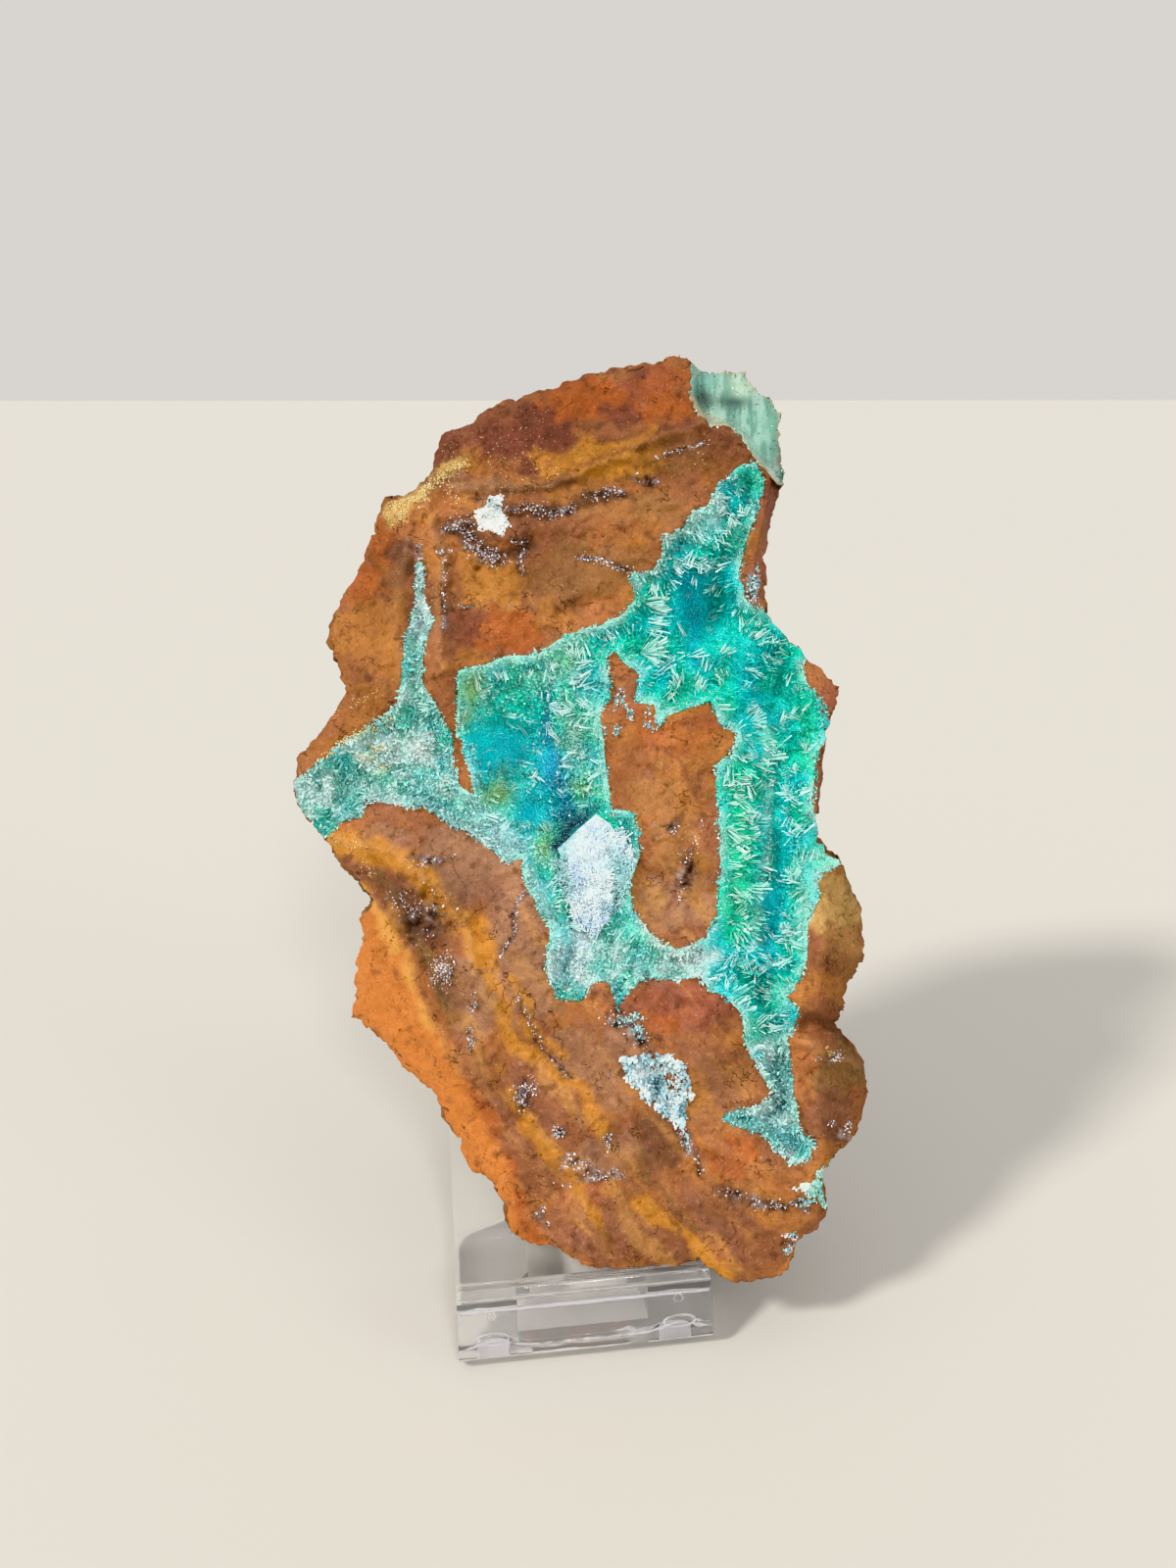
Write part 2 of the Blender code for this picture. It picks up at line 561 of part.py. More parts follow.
def side_prism(name, outline, x0, x1):
    """Solid with a (y, z) outline between two X values."""
    count = len(outline)
    points = [(x0, y, z) for y, z in outline] + [(x1, y, z) for y, z in outline]
    faces = [tuple(range(count)), tuple(range(2 * count - 1, count - 1, -1))]
    faces += [(i, i + count, (i + 1) % count + count, (i + 1) % count) for i in range(count)]
    return mesh_object(name, points, faces, (0.95, 0.96, 0.97), 0.05, transmission=1.0)


def plan_prism(name, outline, z0, z1):
    """Solid with an (x, y) outline between two Z values."""
    count = len(outline)
    points = [(x, y, z0) for x, y in outline] + [(x, y, z1) for x, y in outline]
    faces = [tuple(range(count)), tuple(range(2 * count - 1, count - 1, -1))]
    faces += [(i, i + count, (i + 1) % count + count, (i + 1) % count) for i in range(count)]
    return mesh_object(name, points, faces, (0.95, 0.96, 0.97), 0.05, transmission=1.0)


def combine(base, tool, operation):
    """Boolean of a tool with the base; the tool is then only a guide."""
    step = base.modifiers.new(operation.lower(), "BOOLEAN")
    step.operation = operation
    step.object = tool
    step.solver = "EXACT"
    tool.hide_render = True
    tool.display_type = "WIRE"


def easel_outline():
    """Side outline of the lip, ledge and back panel."""
    lean = (math.cos(LIP_LEAN), math.sin(LIP_LEAN))
    lip_back = (LIP_TOP_Y + LIP_TOP_THICKNESS * lean[1], LIP_TOP_Z - LIP_TOP_THICKNESS * lean[0])
    nose_y = LIP_TOP_Y - (LIP_TOP_Z - UNDERSIDE) * lean[0] / lean[1]
    inner_y = lip_back[0] - (lip_back[1] - LEDGE_TOP) * lean[0] / lean[1]
    top_front = panel_face(PANEL_LENGTH)
    top_back = panel_face(PANEL_LENGTH, PANEL_THICKNESS)
    heel_y = top_back[0] - (top_back[1] - UNDERSIDE) / math.tan(PANEL_LEAN)
    return rounded([
        (nose_y, UNDERSIDE, 2.6),
        (heel_y, UNDERSIDE, 4.0),
        (*top_back, 1.3),
        (*top_front, 1.3),
        (PANEL_FOOT_Y, LEDGE_TOP, 2.5),
        (inner_y, LEDGE_TOP, 1.3),
        (*lip_back, 0.4),
        (LIP_TOP_Y, LIP_TOP_Z, 0.4),
    ])


def leg_stations():
    """Front point, back point and half width of the rear leg, from inside the panel to the
    table; the strip was cut out of the window and bent back."""
    half = PANEL_THICKNESS / 2
    down = Vector((-math.cos(PANEL_LEAN), -math.sin(PANEL_LEAN)))
    behind = Vector((math.sin(PANEL_LEAN), -math.cos(PANEL_LEAN)))
    start = Vector(panel_face(WINDOW_LENGTH + 2.0, half))
    centre = start + behind * BEND_RADIUS
    bend = math.pi / 2 - PANEL_LEAN + LEG_LEAN
    narrow = WINDOW_WIDTH / 2 - LEG_CLEARANCE
    wide = WINDOW_FLARE / 2 - LEG_CLEARANCE
    stations = []
    for k in range(6):
        angle = bend * k / 5
        middle = centre + BEND_RADIUS * (down * math.sin(angle) - behind * math.cos(angle))
        across = behind * math.cos(angle) - down * math.sin(angle)
        reach = half - 0.3 if k == 0 else half
        stations.append((middle - across * reach, middle + across * reach, narrow))
    slope = math.tan(LEG_LEAN)
    width = PANEL_THICKNESS / math.cos(LEG_LEAN)
    front = stations[-1][0]
    for z, reach in ((FOOT_FLARE_TOP, narrow), (FOOT_FLARE_TOP - 2.2, wide), (0.0, wide)):
        y = front.x + (front.y - z) * slope
        stations.append((Vector((y, z)), Vector((y + width, z)), reach))
    return stations


def lofted_strip(name, stations):
    """Solid through stations of a front point, a back point and a half width."""
    points = []
    for front, back, reach in stations:
        points += [(-reach, *front), (reach, *front), (reach, *back), (-reach, *back)]
    last = len(points) - 4
    faces = [(0, 1, 2, 3), (last + 3, last + 2, last + 1, last)]
    for i in range(0, last, 4):
        faces += [(i + k, i + 4 + k, i + 4 + (k + 1) % 4, i + (k + 1) % 4) for k in range(4)]
    return mesh_object(name, points, faces, (0.95, 0.96, 0.97), 0.05, transmission=1.0)


def build_stand():
    """Clear easel in one piece: lip, ledge, panel with its window, rear leg and two front pads."""
    half = STAND_WIDTH / 2
    narrow = WINDOW_WIDTH / 2
    wide = WINDOW_FLARE / 2
    stand = side_prism("stand", easel_outline(), -half, half)
    flare = plan_prism("flare_cutter", [
        (-wide, WINDOW_FRONT_Y), (wide, WINDOW_FRONT_Y), (wide, WINDOW_FRONT_Y + 2.0),
        (narrow - 1.2, WINDOW_FRONT_Y + 6.0), (1.2 - narrow, WINDOW_FRONT_Y + 6.0),
        (-wide, WINDOW_FRONT_Y + 2.0),
    ], -2.0, 9.5)
    combine(stand, flare, "DIFFERENCE")
    window = side_prism("window_cutter", [
        (WINDOW_FRONT_Y + 4.3, -2.0), (34.0, -2.0), panel_face(WINDOW_LENGTH, 7.0),
        panel_face(WINDOW_LENGTH, -3.0), (18.0, 9.0), (WINDOW_FRONT_Y + 4.3, 9.0),
    ], -narrow, narrow)
    combine(stand, window, "DIFFERENCE")
    combine(stand, lofted_strip("leg_form", leg_stations()), "UNION")
    for side in (-1, 1):
        pad = plan_prism("pad_form_left" if side < 0 else "pad_form_right", [
            (side * PAD_X + PAD_DIAMETER / 2 * math.cos(math.tau * k / 16),
             PAD_Y + PAD_DIAMETER / 2 * math.sin(math.tau * k / 16)) for k in range(16)
        ], 0.0, UNDERSIDE + 0.4)
        combine(stand, pad, "UNION")
    return stand


def build_stone():
    """The rock and every crust that grew on it."""
    loops = [OUTLINE, HOLLOW, PILLAR, BLOCK, grown(BLOCK, 0.7), EDGE_PLATE, POCKET, WHITE_SPOT,
             CORNER_SPOT]

    def spacing_at(u, v):
        crusted = distance_to_loop(HOLLOW, u, v) > 0
        crusted |= distance_to_loop(EDGE_PLATE, u, v) > 0
        crusted |= distance_to_loop(POCKET, u, v) > 0
        return np.where(crusted, CRUST_SPACING, FACE_SPACING)

    fill = filler_points(loops[1:], spacing_at, np.random.default_rng(3))
    flat, faces = triangulate(loops, fill)
    build_matrix(flat, faces)
    build_crust("aurichalcite_crust", flat, faces, HOLLOW, 1.3, 0.42, (0.03, 0.52, 0.47), 0.35,
                hole=[PILLAR, grown(BLOCK, 0.7)], seed=11)
    build_block(flat, faces)
    build_crust("edge_crust", flat, faces, EDGE_PLATE, 1.2, 0.35, (0.18, 0.42, 0.33), 0.4, seed=12)
    build_crust("pocket_druse", flat, faces, POCKET, 1.0, 0.6, (0.30, 0.50, 0.52), 0.3, seed=13)
    build_crust("white_druse", flat, faces, WHITE_SPOT, 0.9, 0.6, (0.85, 0.88, 0.86), 0.5, seed=14)
    build_crust("corner_druse", flat, faces, CORNER_SPOT, 0.8, 0.5, (0.20, 0.55, 0.50), 0.4,
                seed=15)


def main():
    for old in list(bpy.data.objects):
        bpy.data.objects.remove(old)
    build_stone()
    build_stand()


main()
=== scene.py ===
"""Hemimorphite with aurichalcite on limonite, leaning on a clear acrylic easel.

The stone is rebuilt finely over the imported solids: its broken front is a height over a flat face
frame (u right, v up, w out of the face, in millimetres), crystals are grown on that height by
Geometry Nodes, and the easel is remade with finer rounds. All lengths are millimetres until a mesh
is made.
"""

import logging
import math
from dataclasses import dataclass, field
from enum import Enum

import bmesh
import bpy
import numpy as np
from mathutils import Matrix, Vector
from mathutils.geometry import delaunay_2d_cdt


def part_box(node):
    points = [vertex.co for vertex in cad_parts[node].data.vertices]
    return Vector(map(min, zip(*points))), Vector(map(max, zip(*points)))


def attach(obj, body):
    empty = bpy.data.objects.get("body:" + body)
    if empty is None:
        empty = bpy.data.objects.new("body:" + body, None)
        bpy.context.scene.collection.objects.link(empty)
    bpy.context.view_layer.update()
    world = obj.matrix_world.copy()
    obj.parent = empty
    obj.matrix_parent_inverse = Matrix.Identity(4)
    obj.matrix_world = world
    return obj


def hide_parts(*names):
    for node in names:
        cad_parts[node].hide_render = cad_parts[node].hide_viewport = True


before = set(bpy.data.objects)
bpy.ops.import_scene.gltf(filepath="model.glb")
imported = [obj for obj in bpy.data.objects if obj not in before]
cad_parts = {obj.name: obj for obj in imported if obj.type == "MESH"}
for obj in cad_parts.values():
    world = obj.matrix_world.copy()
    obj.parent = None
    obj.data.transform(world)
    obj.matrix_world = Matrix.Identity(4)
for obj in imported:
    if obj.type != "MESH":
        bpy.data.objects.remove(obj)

LOG = logging.getLogger("scene")
MM = 0.001

Points2 = list[tuple[float, float]]
Array = np.ndarray


class Tone(str, Enum):
    """Colours of the stone, then of its crystals, as sRGB hex values."""

    MAUVE = "A0765D"
    MAROON = "7E4A3C"
    CLAY = "AB764A"
    HONEY = "B67A3F"
    SIENNA = "9B5A44"
    OCHRE = "C8873C"
    MOSS = "757251"
    SAND = "CCA365"
    UMBER = "674839"
    BRONZE = "8C6540"
    CHESTNUT = "865945"
    RUST = "AD5F34"
    SLATE = "8298AA"
    AQUA = "88D4C8"
    LAGOON = "16D0C0"
    PEARL = "DAE1E9"
    BOTTLE = "398C7B"
    ICE = "ADD9DC"
    SNOW = "EBF1EE"
    # Painted shadow: the dark navy that the white block casts on the crystals by its upper-left edge
    NAVY = "073448"
    PETROL = "1A8CB4"
    FOAM = "B2EEE2"
    MINT = "A6E6D4"
    TURQUOISE = "02CAD8"
    OLIVE = "A2C573"
    LEAF = "7BCAA2"
    CYAN = "12B1C4"
    EMERALD = "34D8AB"
    SAGE = "7DB3A2"



# Outline of the stone, clockwise from the top, as u and v
OUTLINE: Points2 = [
    (12.0, 66.2), (14.0, 66.9), (16.2, 66.2), (17.3, 64.4), (20.5, 64.1), (24.5, 64.2), (25.6, 61.8),
    (28.6, 59.9), (30.1, 57.5), (30.1, 53.0), (30.6, 48.5), (29.6, 44.0), (28.8, 40.5), (27.6, 35.5),
    (27.9, 31.0), (27.6, 26.8), (30.5, 23.2), (34.0, 19.8), (37.0, 17.2), (39.4, 14.6), (38.8, 11.6),
    (37.4, 8.6), (36.9, 4.0), (36.2, 0.0), (35.6, -5.0), (35.8, -9.4), (39.2, -12.4), (41.2, -15.8),
    (42.4, -19.0), (42.9, -23.5), (43.5, -27.0), (41.3, -29.8), (39.8, -32.5), (39.9, -35.8),
    (38.2, -37.5), (41.0, -41.2), (43.1, -44.6), (43.9, -48.5), (42.6, -52.4), (41.3, -56.4),
    (38.2, -58.8), (36.4, -61.8), (37.5, -66.8), (35.8, -70.4), (33.1, -71.4), (32.0, -74.6),
    (30.0, -77.2), (25.5, -78.2), (21.0, -78.1), (19.0, -76.0), (17.2, -74.4), (15.0, -75.3),
    (12.0, -75.9), (8.5, -76.2), (4.5, -76.2), (0.5, -76.0), (-2.8, -74.5), (-6.2, -72.5),
    (-9.5, -71.9), (-12.2, -70.0), (-13.0, -66.3), (-15.0, -62.8), (-18.4, -60.5), (-20.4, -55.8),
    (-22.8, -51.0), (-25.0, -47.6), (-28.2, -45.3), (-31.2, -41.6), (-34.2, -38.6), (-36.9, -36.6),
    (-36.2, -33.0), (-36.4, -28.5), (-35.4, -24.5), (-35.6, -21.6), (-33.7, -18.4), (-35.2, -16.2),
    (-38.2, -13.3), (-40.4, -9.8), (-42.8, -7.0), (-44.9, -4.6), (-46.1, -2.2), (-45.4, 0.4),
    (-45.6, 3.4), (-43.0, 6.0), (-40.6, 10.0), (-37.7, 14.2), (-39.0, 18.4), (-40.4, 22.7),
    (-39.5, 26.5), (-37.6, 30.3), (-35.0, 35.3), (-33.1, 40.3), (-31.9, 44.1), (-27.2, 45.2),
    (-24.2, 49.4), (-22.4, 54.9), (-18.6, 56.1), (-15.6, 58.7), (-11.0, 60.3), (-5.8, 61.6),
    (-1.0, 63.6), (4.0, 64.7), (9.5, 65.5),
]

# Outline of the crystal-lined hollow; where it runs past the stone's outline it ends on it
HOLLOW: Points2 = [
    (26.3, 50.0), (27.5, 47.0), (26.6, 43.0), (25.2, 39.0), (24.2, 35.0), (23.7, 31.5), (24.6, 28.4),
    (28.6, 26.6), (32.0, 23.4), (34.6, 20.4), (33.7, 18.4), (34.2, 15.8), (36.5, 13.2), (37.2, 10.4),
    (38.4, 8.4), (37.0, 6.4), (35.8, 4.0), (35.4, 0.0), (35.2, -4.6), (36.6, -6.6), (38.6, -10.4),
    (39.8, -12.6), (38.4, -13.7), (35.9, -14.6), (36.1, -18.0), (34.6, -22.0), (34.4, -27.4),
    (33.2, -31.0), (30.9, -33.8), (32.8, -35.8), (32.4, -38.4), (30.9, -40.2), (31.9, -44.6),
    (32.2, -49.8), (32.9, -54.4), (35.3, -56.8), (34.4, -59.4), (31.6, -59.8), (29.2, -57.4),
    (27.0, -55.2), (24.3, -54.2), (21.2, -53.0), (22.4, -51.7), (26.4, -50.5), (29.3, -49.0),
    (26.8, -45.2), (24.8, -41.0), (24.1, -36.6), (21.4, -33.4), (18.8, -32.8), (17.6, -30.3),
    (13.0, -31.0), (8.8, -30.4), (6.0, -33.2), (4.6, -35.4), (3.2, -31.4), (1.0, -31.2),
    (-1.2, -34.2), (-4.6, -33.9), (-6.4, -30.6), (-6.4, -26.6), (-5.9, -22.4), (-8.2, -18.6),
    (-10.0, -15.4), (-10.4, -12.0), (-12.8, -12.6), (-15.6, -10.2), (-19.0, -7.5), (-22.4, -6.0),
    (-25.2, -3.9), (-30.0, -3.5), (-34.8, -2.7), (-35.5, -5.2), (-38.8, -6.3), (-41.4, -9.2),
    (-45.2, -7.2), (-47.6, -3.0), (-46.8, -0.4), (-44.4, 1.2), (-41.0, 4.1), (-37.0, 7.0),
    (-32.5, 9.8), (-30.0, 12.2), (-29.2, 17.6), (-28.4, 23.6), (-27.0, 28.6), (-26.8, 34.8),
    (-25.7, 33.2), (-25.8, 28.8), (-24.0, 25.6), (-25.6, 21.4), (-26.0, 16.0), (-23.8, 12.2),
    (-22.4, 8.8), (-21.2, 6.6), (-21.2, 3.2), (-20.4, -0.4), (-17.9, -2.2), (-18.2, 0.8),
    (-19.4, 4.6), (-20.3, 8.0), (-20.7, 12.4), (-20.3, 17.8), (-16.5, 18.2), (-13.2, 19.6),
    (-8.0, 20.2), (-3.6, 22.6), (0.8, 24.3), (5.0, 25.9), (7.6, 28.6), (6.8, 32.4), (10.3, 33.4),
    (11.8, 35.6), (11.6, 38.0), (14.9, 40.0), (16.4, 42.5), (18.8, 43.0), (20.0, 46.2),
    (22.2, 47.8), (24.2, 49.8),
]

# Pillar of stone left standing in the hollow
PILLAR: Points2 = [
    (2.8, 19.8), (4.4, 20.7), (6.2, 18.4), (8.2, 16.8), (7.3, 12.6), (10.4, 12.0), (10.8, 8.2),
    (12.6, 10.5), (16.0, 11.8), (19.4, 12.5), (20.4, 9.8), (23.2, 7.6), (22.5, 4.4), (20.2, 2.6),
    (20.3, -3.0), (20.7, -9.0), (20.6, -15.0), (20.2, -21.0), (18.4, -24.2), (16.2, -25.4),
    (14.3, -26.3), (11.8, -25.6), (9.4, -23.4), (6.8, -19.8), (6.5, -16.2), (7.9, -11.6), (7.8, -7.0), (7.1, -4.8),
    (3.8, -4.2), (2.6, 3.0), (1.6, 10.4), (3.4, 14.8),
]

BLOCK: Points2 = [
    (1.2, -5.0), (3.4, -6.4), (6.2, -11.0), (6.2, -14.2), (4.8, -17.4), (2.2, -21.4), (0.4, -23.0),
    (-1.6, -20.6), (-3.0, -15.4), (-4.8, -10.4), (-1.6, -7.4),
]

EDGE_PLATE: Points2 = [
    (16.4, 67.0), (18.4, 66.0), (26.0, 66.0), (29.5, 62.0), (32.0, 58.0), (32.0, 46.6), (29.6, 46.4),
    (28.2, 48.4), (25.6, 51.2), (23.6, 54.6), (21.6, 55.8), (19.0, 55.6), (17.2, 57.6), (15.8, 60.4),
    (16.2, 63.4),
]

POCKET: Points2 = [
    (5.3, -43.4), (8.6, -42.4), (12.4, -42.8), (15.2, -44.2), (15.8, -47.4), (16.2, -49.6),
    (15.0, -51.6), (14.8, -54.4), (12.2, -52.8), (9.0, -50.0), (6.2, -46.8),
]

WHITE_SPOT: Points2 = [
    (-13.7, 44.8), (-12.8, 42.4), (-12.1, 40.6), (-13.8, 37.9), (-15.6, 39.0), (-18.2, 41.2),
    (-16.4, 43.6),
]

CORNER_SPOT: Points2 = [
    (31.2, -63.5), (34.8, -62.6), (37.4, -59.4), (39.0, -63.0), (39.4, -67.4), (36.4, -66.4),
    (34.6, -64.6),
]

# Depths of the hollow below the face: centre u, centre v, spread u, spread v, depth
HOLLOW_DEPTHS = [
    (-11.0, 5.0, 6.5, 7.0, 8.0),
    (-5.5, -4.0, 4.5, 4.5, 7.0),
    (28.8, -12.0, 3.0, 15.0, 5.2),
    (29.5, 14.0, 5.0, 8.0, 5.5),
    (18.5, 26.5, 5.5, 6.0, 8.0),
    (0.0, -18.0, 5.0, 7.0, 3.0),
    (27.0, -33.0, 4.0, 4.0, 3.5),
]

# Stains of the stone: centre u, centre v, spread u, spread v, colour, strength
STAINS = [
    (-26.0, 52.0, 9.0, 6.0, Tone.MAROON, 0.85),
    (-12.0, 57.0, 9.0, 3.6, Tone.MAROON, 0.7),
    (-8.0, 54.0, 9.5, 5.0, Tone.MAROON, 1.0),
    (-1.0, 60.0, 8.0, 3.6, Tone.RUST, 1.0),
    (9.0, 61.5, 5.0, 3.0, Tone.SIENNA, 0.95),
    (12.0, 62.5, 5.0, 3.0, Tone.RUST, 0.5),
    (5.5, 58.0, 3.8, 2.2, Tone.MAROON, 0.85),
    (13.0, 58.0, 6.0, 2.6, Tone.RUST, 0.9),
    (8.0, 64.5, 3.0, 1.2, Tone.MAROON, 0.7),
    (2.0, 50.0, 10.0, 3.0, Tone.OCHRE, 0.8),
    (14.0, 50.5, 6.5, 2.6, Tone.BRONZE, 0.4),
    (-17.0, 46.0, 6.0, 2.0, Tone.MAUVE, 0.7),
    (-14.0, 41.0, 7.0, 3.4, Tone.CHESTNUT, 0.75),
    (4.0, 43.0, 8.0, 3.6, Tone.CLAY, 0.7),
    (12.0, 43.0, 6.0, 3.0, Tone.BRONZE, 0.6),
    (-15.0, 30.5, 8.0, 4.0, Tone.HONEY, 0.95),
    (-13.0, 24.0, 6.0, 3.2, Tone.RUST, 0.8),
    (-20.0, 25.0, 3.0, 4.0, Tone.MAROON, 0.7),
    (-31.5, 38.0, 2.6, 4.5, Tone.RUST, 0.7),
    (-35.0, 31.0, 3.0, 3.6, Tone.RUST, 0.8),
    (-35.5, 23.0, 5.0, 5.0, Tone.HONEY, 0.6),
    (-29.0, 33.0, 2.4, 5.0, Tone.CHESTNUT, 0.7),
    (0.0, 33.0, 9.0, 5.0, Tone.BRONZE, 0.6),
    (-33.0, -9.0, 5.0, 2.4, Tone.MAUVE, 0.7),
    (-18.0, -12.0, 9.0, 6.0, Tone.MAUVE, 0.85),
    (-12.0, -24.0, 6.0, 8.0, Tone.MAUVE, 0.8),
    (-18.0, -34.0, 5.0, 7.0, Tone.MAUVE, 0.8),
    (-8.0, -33.0, 7.0, 6.0, Tone.MAUVE, 0.8),
    (-26.0, -21.0, 5.0, 5.0, Tone.CHESTNUT, 0.8),
    (2.0, -44.0, 9.0, 7.0, Tone.MAUVE, 0.7),
    (15.0, -35.0, 9.0, 3.2, Tone.SIENNA, 0.95),
    (12.0, -37.5, 5.0, 1.6, Tone.RUST, 0.8),
    (21.0, -36.0, 3.5, 3.0, Tone.MAROON, 0.7),
    (20.0, -47.0, 6.0, 5.0, Tone.CLAY, 0.6),
    (3.4, -59.0, 4.6, 4.6, Tone.MAUVE, 0.8),
    (-2.0, -64.0, 4.5, 4.5, Tone.SIENNA, 0.7),
    (11.0, -57.0, 4.0, 5.0, Tone.UMBER, 0.7),
    (23.0, -59.0, 5.0, 4.0, Tone.RUST, 0.8),
    (16.0, -50.0, 4.0, 4.0, Tone.HONEY, 0.6),
    (5.0, -71.0, 11.0, 5.0, Tone.CHESTNUT, 0.7),
    (20.0, -68.0, 7.0, 4.0, Tone.CHESTNUT, 0.6),
    (13.0, 8.0, 8.0, 5.0, Tone.RUST, 0.45),
    (10.0, -2.0, 4.0, 4.0, Tone.CLAY, 0.8),
    (14.0, -10.0, 5.0, 6.0, Tone.CLAY, 0.8),
    (13.0, -19.0, 6.0, 5.0, Tone.MAUVE, 0.8),
    (39.0, -20.0, 4.5, 6.0, Tone.SAND, 0.85),
    (40.0, -26.0, 3.5, 4.5, Tone.CLAY, 0.7),
    (39.5, -45.0, 4.5, 4.5, Tone.BRONZE, 1.0),
    (38.0, -52.0, 4.5, 5.0, Tone.CHESTNUT, 0.8),
    (38.5, 13.0, 3.0, 4.0, Tone.SIENNA, 0.7),
    (25.9, 30.5, 0.9, 2.4, Tone.SLATE, 0.9),
    (28.5, 44.0, 2.0, 5.0, Tone.MAROON, 0.9),
    (28.0, 34.0, 2.0, 4.0, Tone.SIENNA, 0.8),
]

# Ochre and dark streaks: path, half width, colour, strength
STREAKS = [
    ([(-40, -9.0), (-34, -10.3), (-28, -13.6), (-23, -17.5), (-19.5, -21), (-18, -27)], 2.1, Tone.OCHRE, 0.9),
    ([(-33, -14), (-28, -20), (-25, -27), (-22, -35)], 0.8, Tone.MOSS, 0.5),
    ([(-16, -26), (-15, -32), (-12, -38), (-9, -42), (-5, -46), (-1, -49), (3, -54)], 1.3, Tone.OCHRE, 0.8),
    ([(-12, -31.5), (-9, -37.5), (-6, -41), (-3, -43.5)], 0.9, Tone.OCHRE, 0.75),
    ([(-11, -48), (-9, -54), (-5, -60), (-1, -65), (2, -69)], 1.0, Tone.OCHRE, 0.8),
    ([(-20, -41), (-16, -49), (-11, -57), (-6, -66)], 0.8, Tone.CLAY, 0.5),
    ([(3, -57), (6, -61), (9, -66), (11, -70)], 0.8, Tone.CLAY, 0.6),
    ([(9, -66), (13, -69), (17, -73), (21, -77)], 1.3, Tone.OCHRE, 0.9),
    ([(8, -59), (13, -65), (18, -70)], 0.7, Tone.UMBER, 0.5),
    ([(-6, 47.5), (2, 50.3), (8, 53.2), (16, 55.8), (22, 54)], 0.55, Tone.MAROON, 0.75),
    ([(-3, 49.0), (4, 51.8), (10, 54.5)], 0.8, Tone.OCHRE, 0.6),
    ([(-27, 46), (-18, 46.4), (-10, 46.5), (-4, 46.8)], 0.6, Tone.UMBER, 0.6),
    ([(-12, 41.6), (-6, 42.0), (0, 43.2), (6, 45.0)], 0.75, Tone.UMBER, 0.8),
    ([(-22, 40), (-18, 38.6), (-15, 35.5), (-11, 35.0), (-9, 37)], 0.9, Tone.UMBER, 0.8),
    ([(-27.2, 20), (-28.2, 28), (-27.8, 37)], 0.8, Tone.UMBER, 0.6),
    ([(-21.2, 19), (-22.4, 26), (-22.0, 34), (-23.5, 41)], 0.7, Tone.UMBER, 0.5),
    ([(9, 12), (13, 10.5), (18, 11)], 0.8, Tone.HONEY, 0.6),
    ([(10, 6), (14, 3), (17, -3)], 0.5, Tone.MAROON, 0.6),
    ([(11, -12), (13, -16), (12, -21)], 0.5, Tone.MAROON, 0.6),
    ([(18, -8), (17.5, -14), (16, -19)], 0.6, Tone.HONEY, 0.6),
    ([(34, -37), (38, -39), (42, -41)], 0.9, Tone.UMBER, 0.7),
    ([(-31.0, 42.6), (-28.6, 44.0), (-25.6, 46.0), (-22.6, 47.8), (-19.5, 49.6)], 0.9, Tone.SAND, 1.0),
    ([(-30.4, 41.4), (-29.0, 43.0)], 1.3, Tone.SAND, 0.9),
]

# Folds of the stone: path, half width, height
FOLDS = [
    ([(-44, -8.5), (-36, -10), (-28, -13), (-23, -16.5), (-19.5, -21), (-18, -28), (-16, -36)], 1.5, 0.85),
    ([(-33, -14), (-28, -19), (-25, -27), (-21, -36)], 2.4, -0.9),
    ([(-16, -28), (-13, -36), (-10, -41), (-5, -45.5), (0, -50)], 0.9, -0.55),
    ([(-12, -31.5), (-9, -37.5), (-5, -42), (2, -47), (8, -56), (14, -66)], 1.1, 0.55),
    ([(-14, -46), (-10, -54), (-5, -60), (0, -66), (4, -72)], 0.9, -0.6),
    ([(-18, -42), (-13, -51), (-8, -60), (-4, -68)], 1.2, 0.5),
    ([(4, -56), (9, -64), (14, -70), (20, -77)], 0.8, -0.5),
    ([(-27, 46), (-14, 46.2), (-6, 46.8), (3, 50.4), (10, 53.6), (18, 56)], 0.9, 0.8),
    ([(-12, 41.8), (-4, 42.4), (6, 45.2)], 0.7, -0.55),
    ([(-23, 40), (-18, 38.4), (-14, 35.4), (-9, 37)], 1.1, -0.9),
    ([(-23.2, 18), (-23.8, 28), (-22.8, 36), (-25, 44)], 1.1, 0.8),
    ([(-29.5, 16), (-30.2, 26), (-28.6, 38)], 1.2, 0.7),
    ([(-33, 18), (-34, 27), (-31, 37)], 1.2, -0.5),
    ([(-20, 28), (-10, 27.5), (0, 31), (6, 36)], 2.6, 0.5),
    ([(9, 12.5), (14, 10.2), (20, 10.6)], 0.9, 0.45),
    ([(9, 4), (13, 2), (17, -4), (18, -12), (15, -20)], 1.2, 0.5),
    ([(8, -38), (14, -40), (20, -43), (26, -50)], 1.0, 0.4),
    ([(8, -34), (16, -34.5), (22, -38)], 0.8, -0.5),
    ([(20, -57), (26, -60), (33, -61.5)], 1.2, 0.6),
    ([(20, -64), (26, -65.5), (31, -67)], 0.8, -0.6),
    ([(34, -41), (38, -43), (42, -44)], 1.2, 0.9),
]

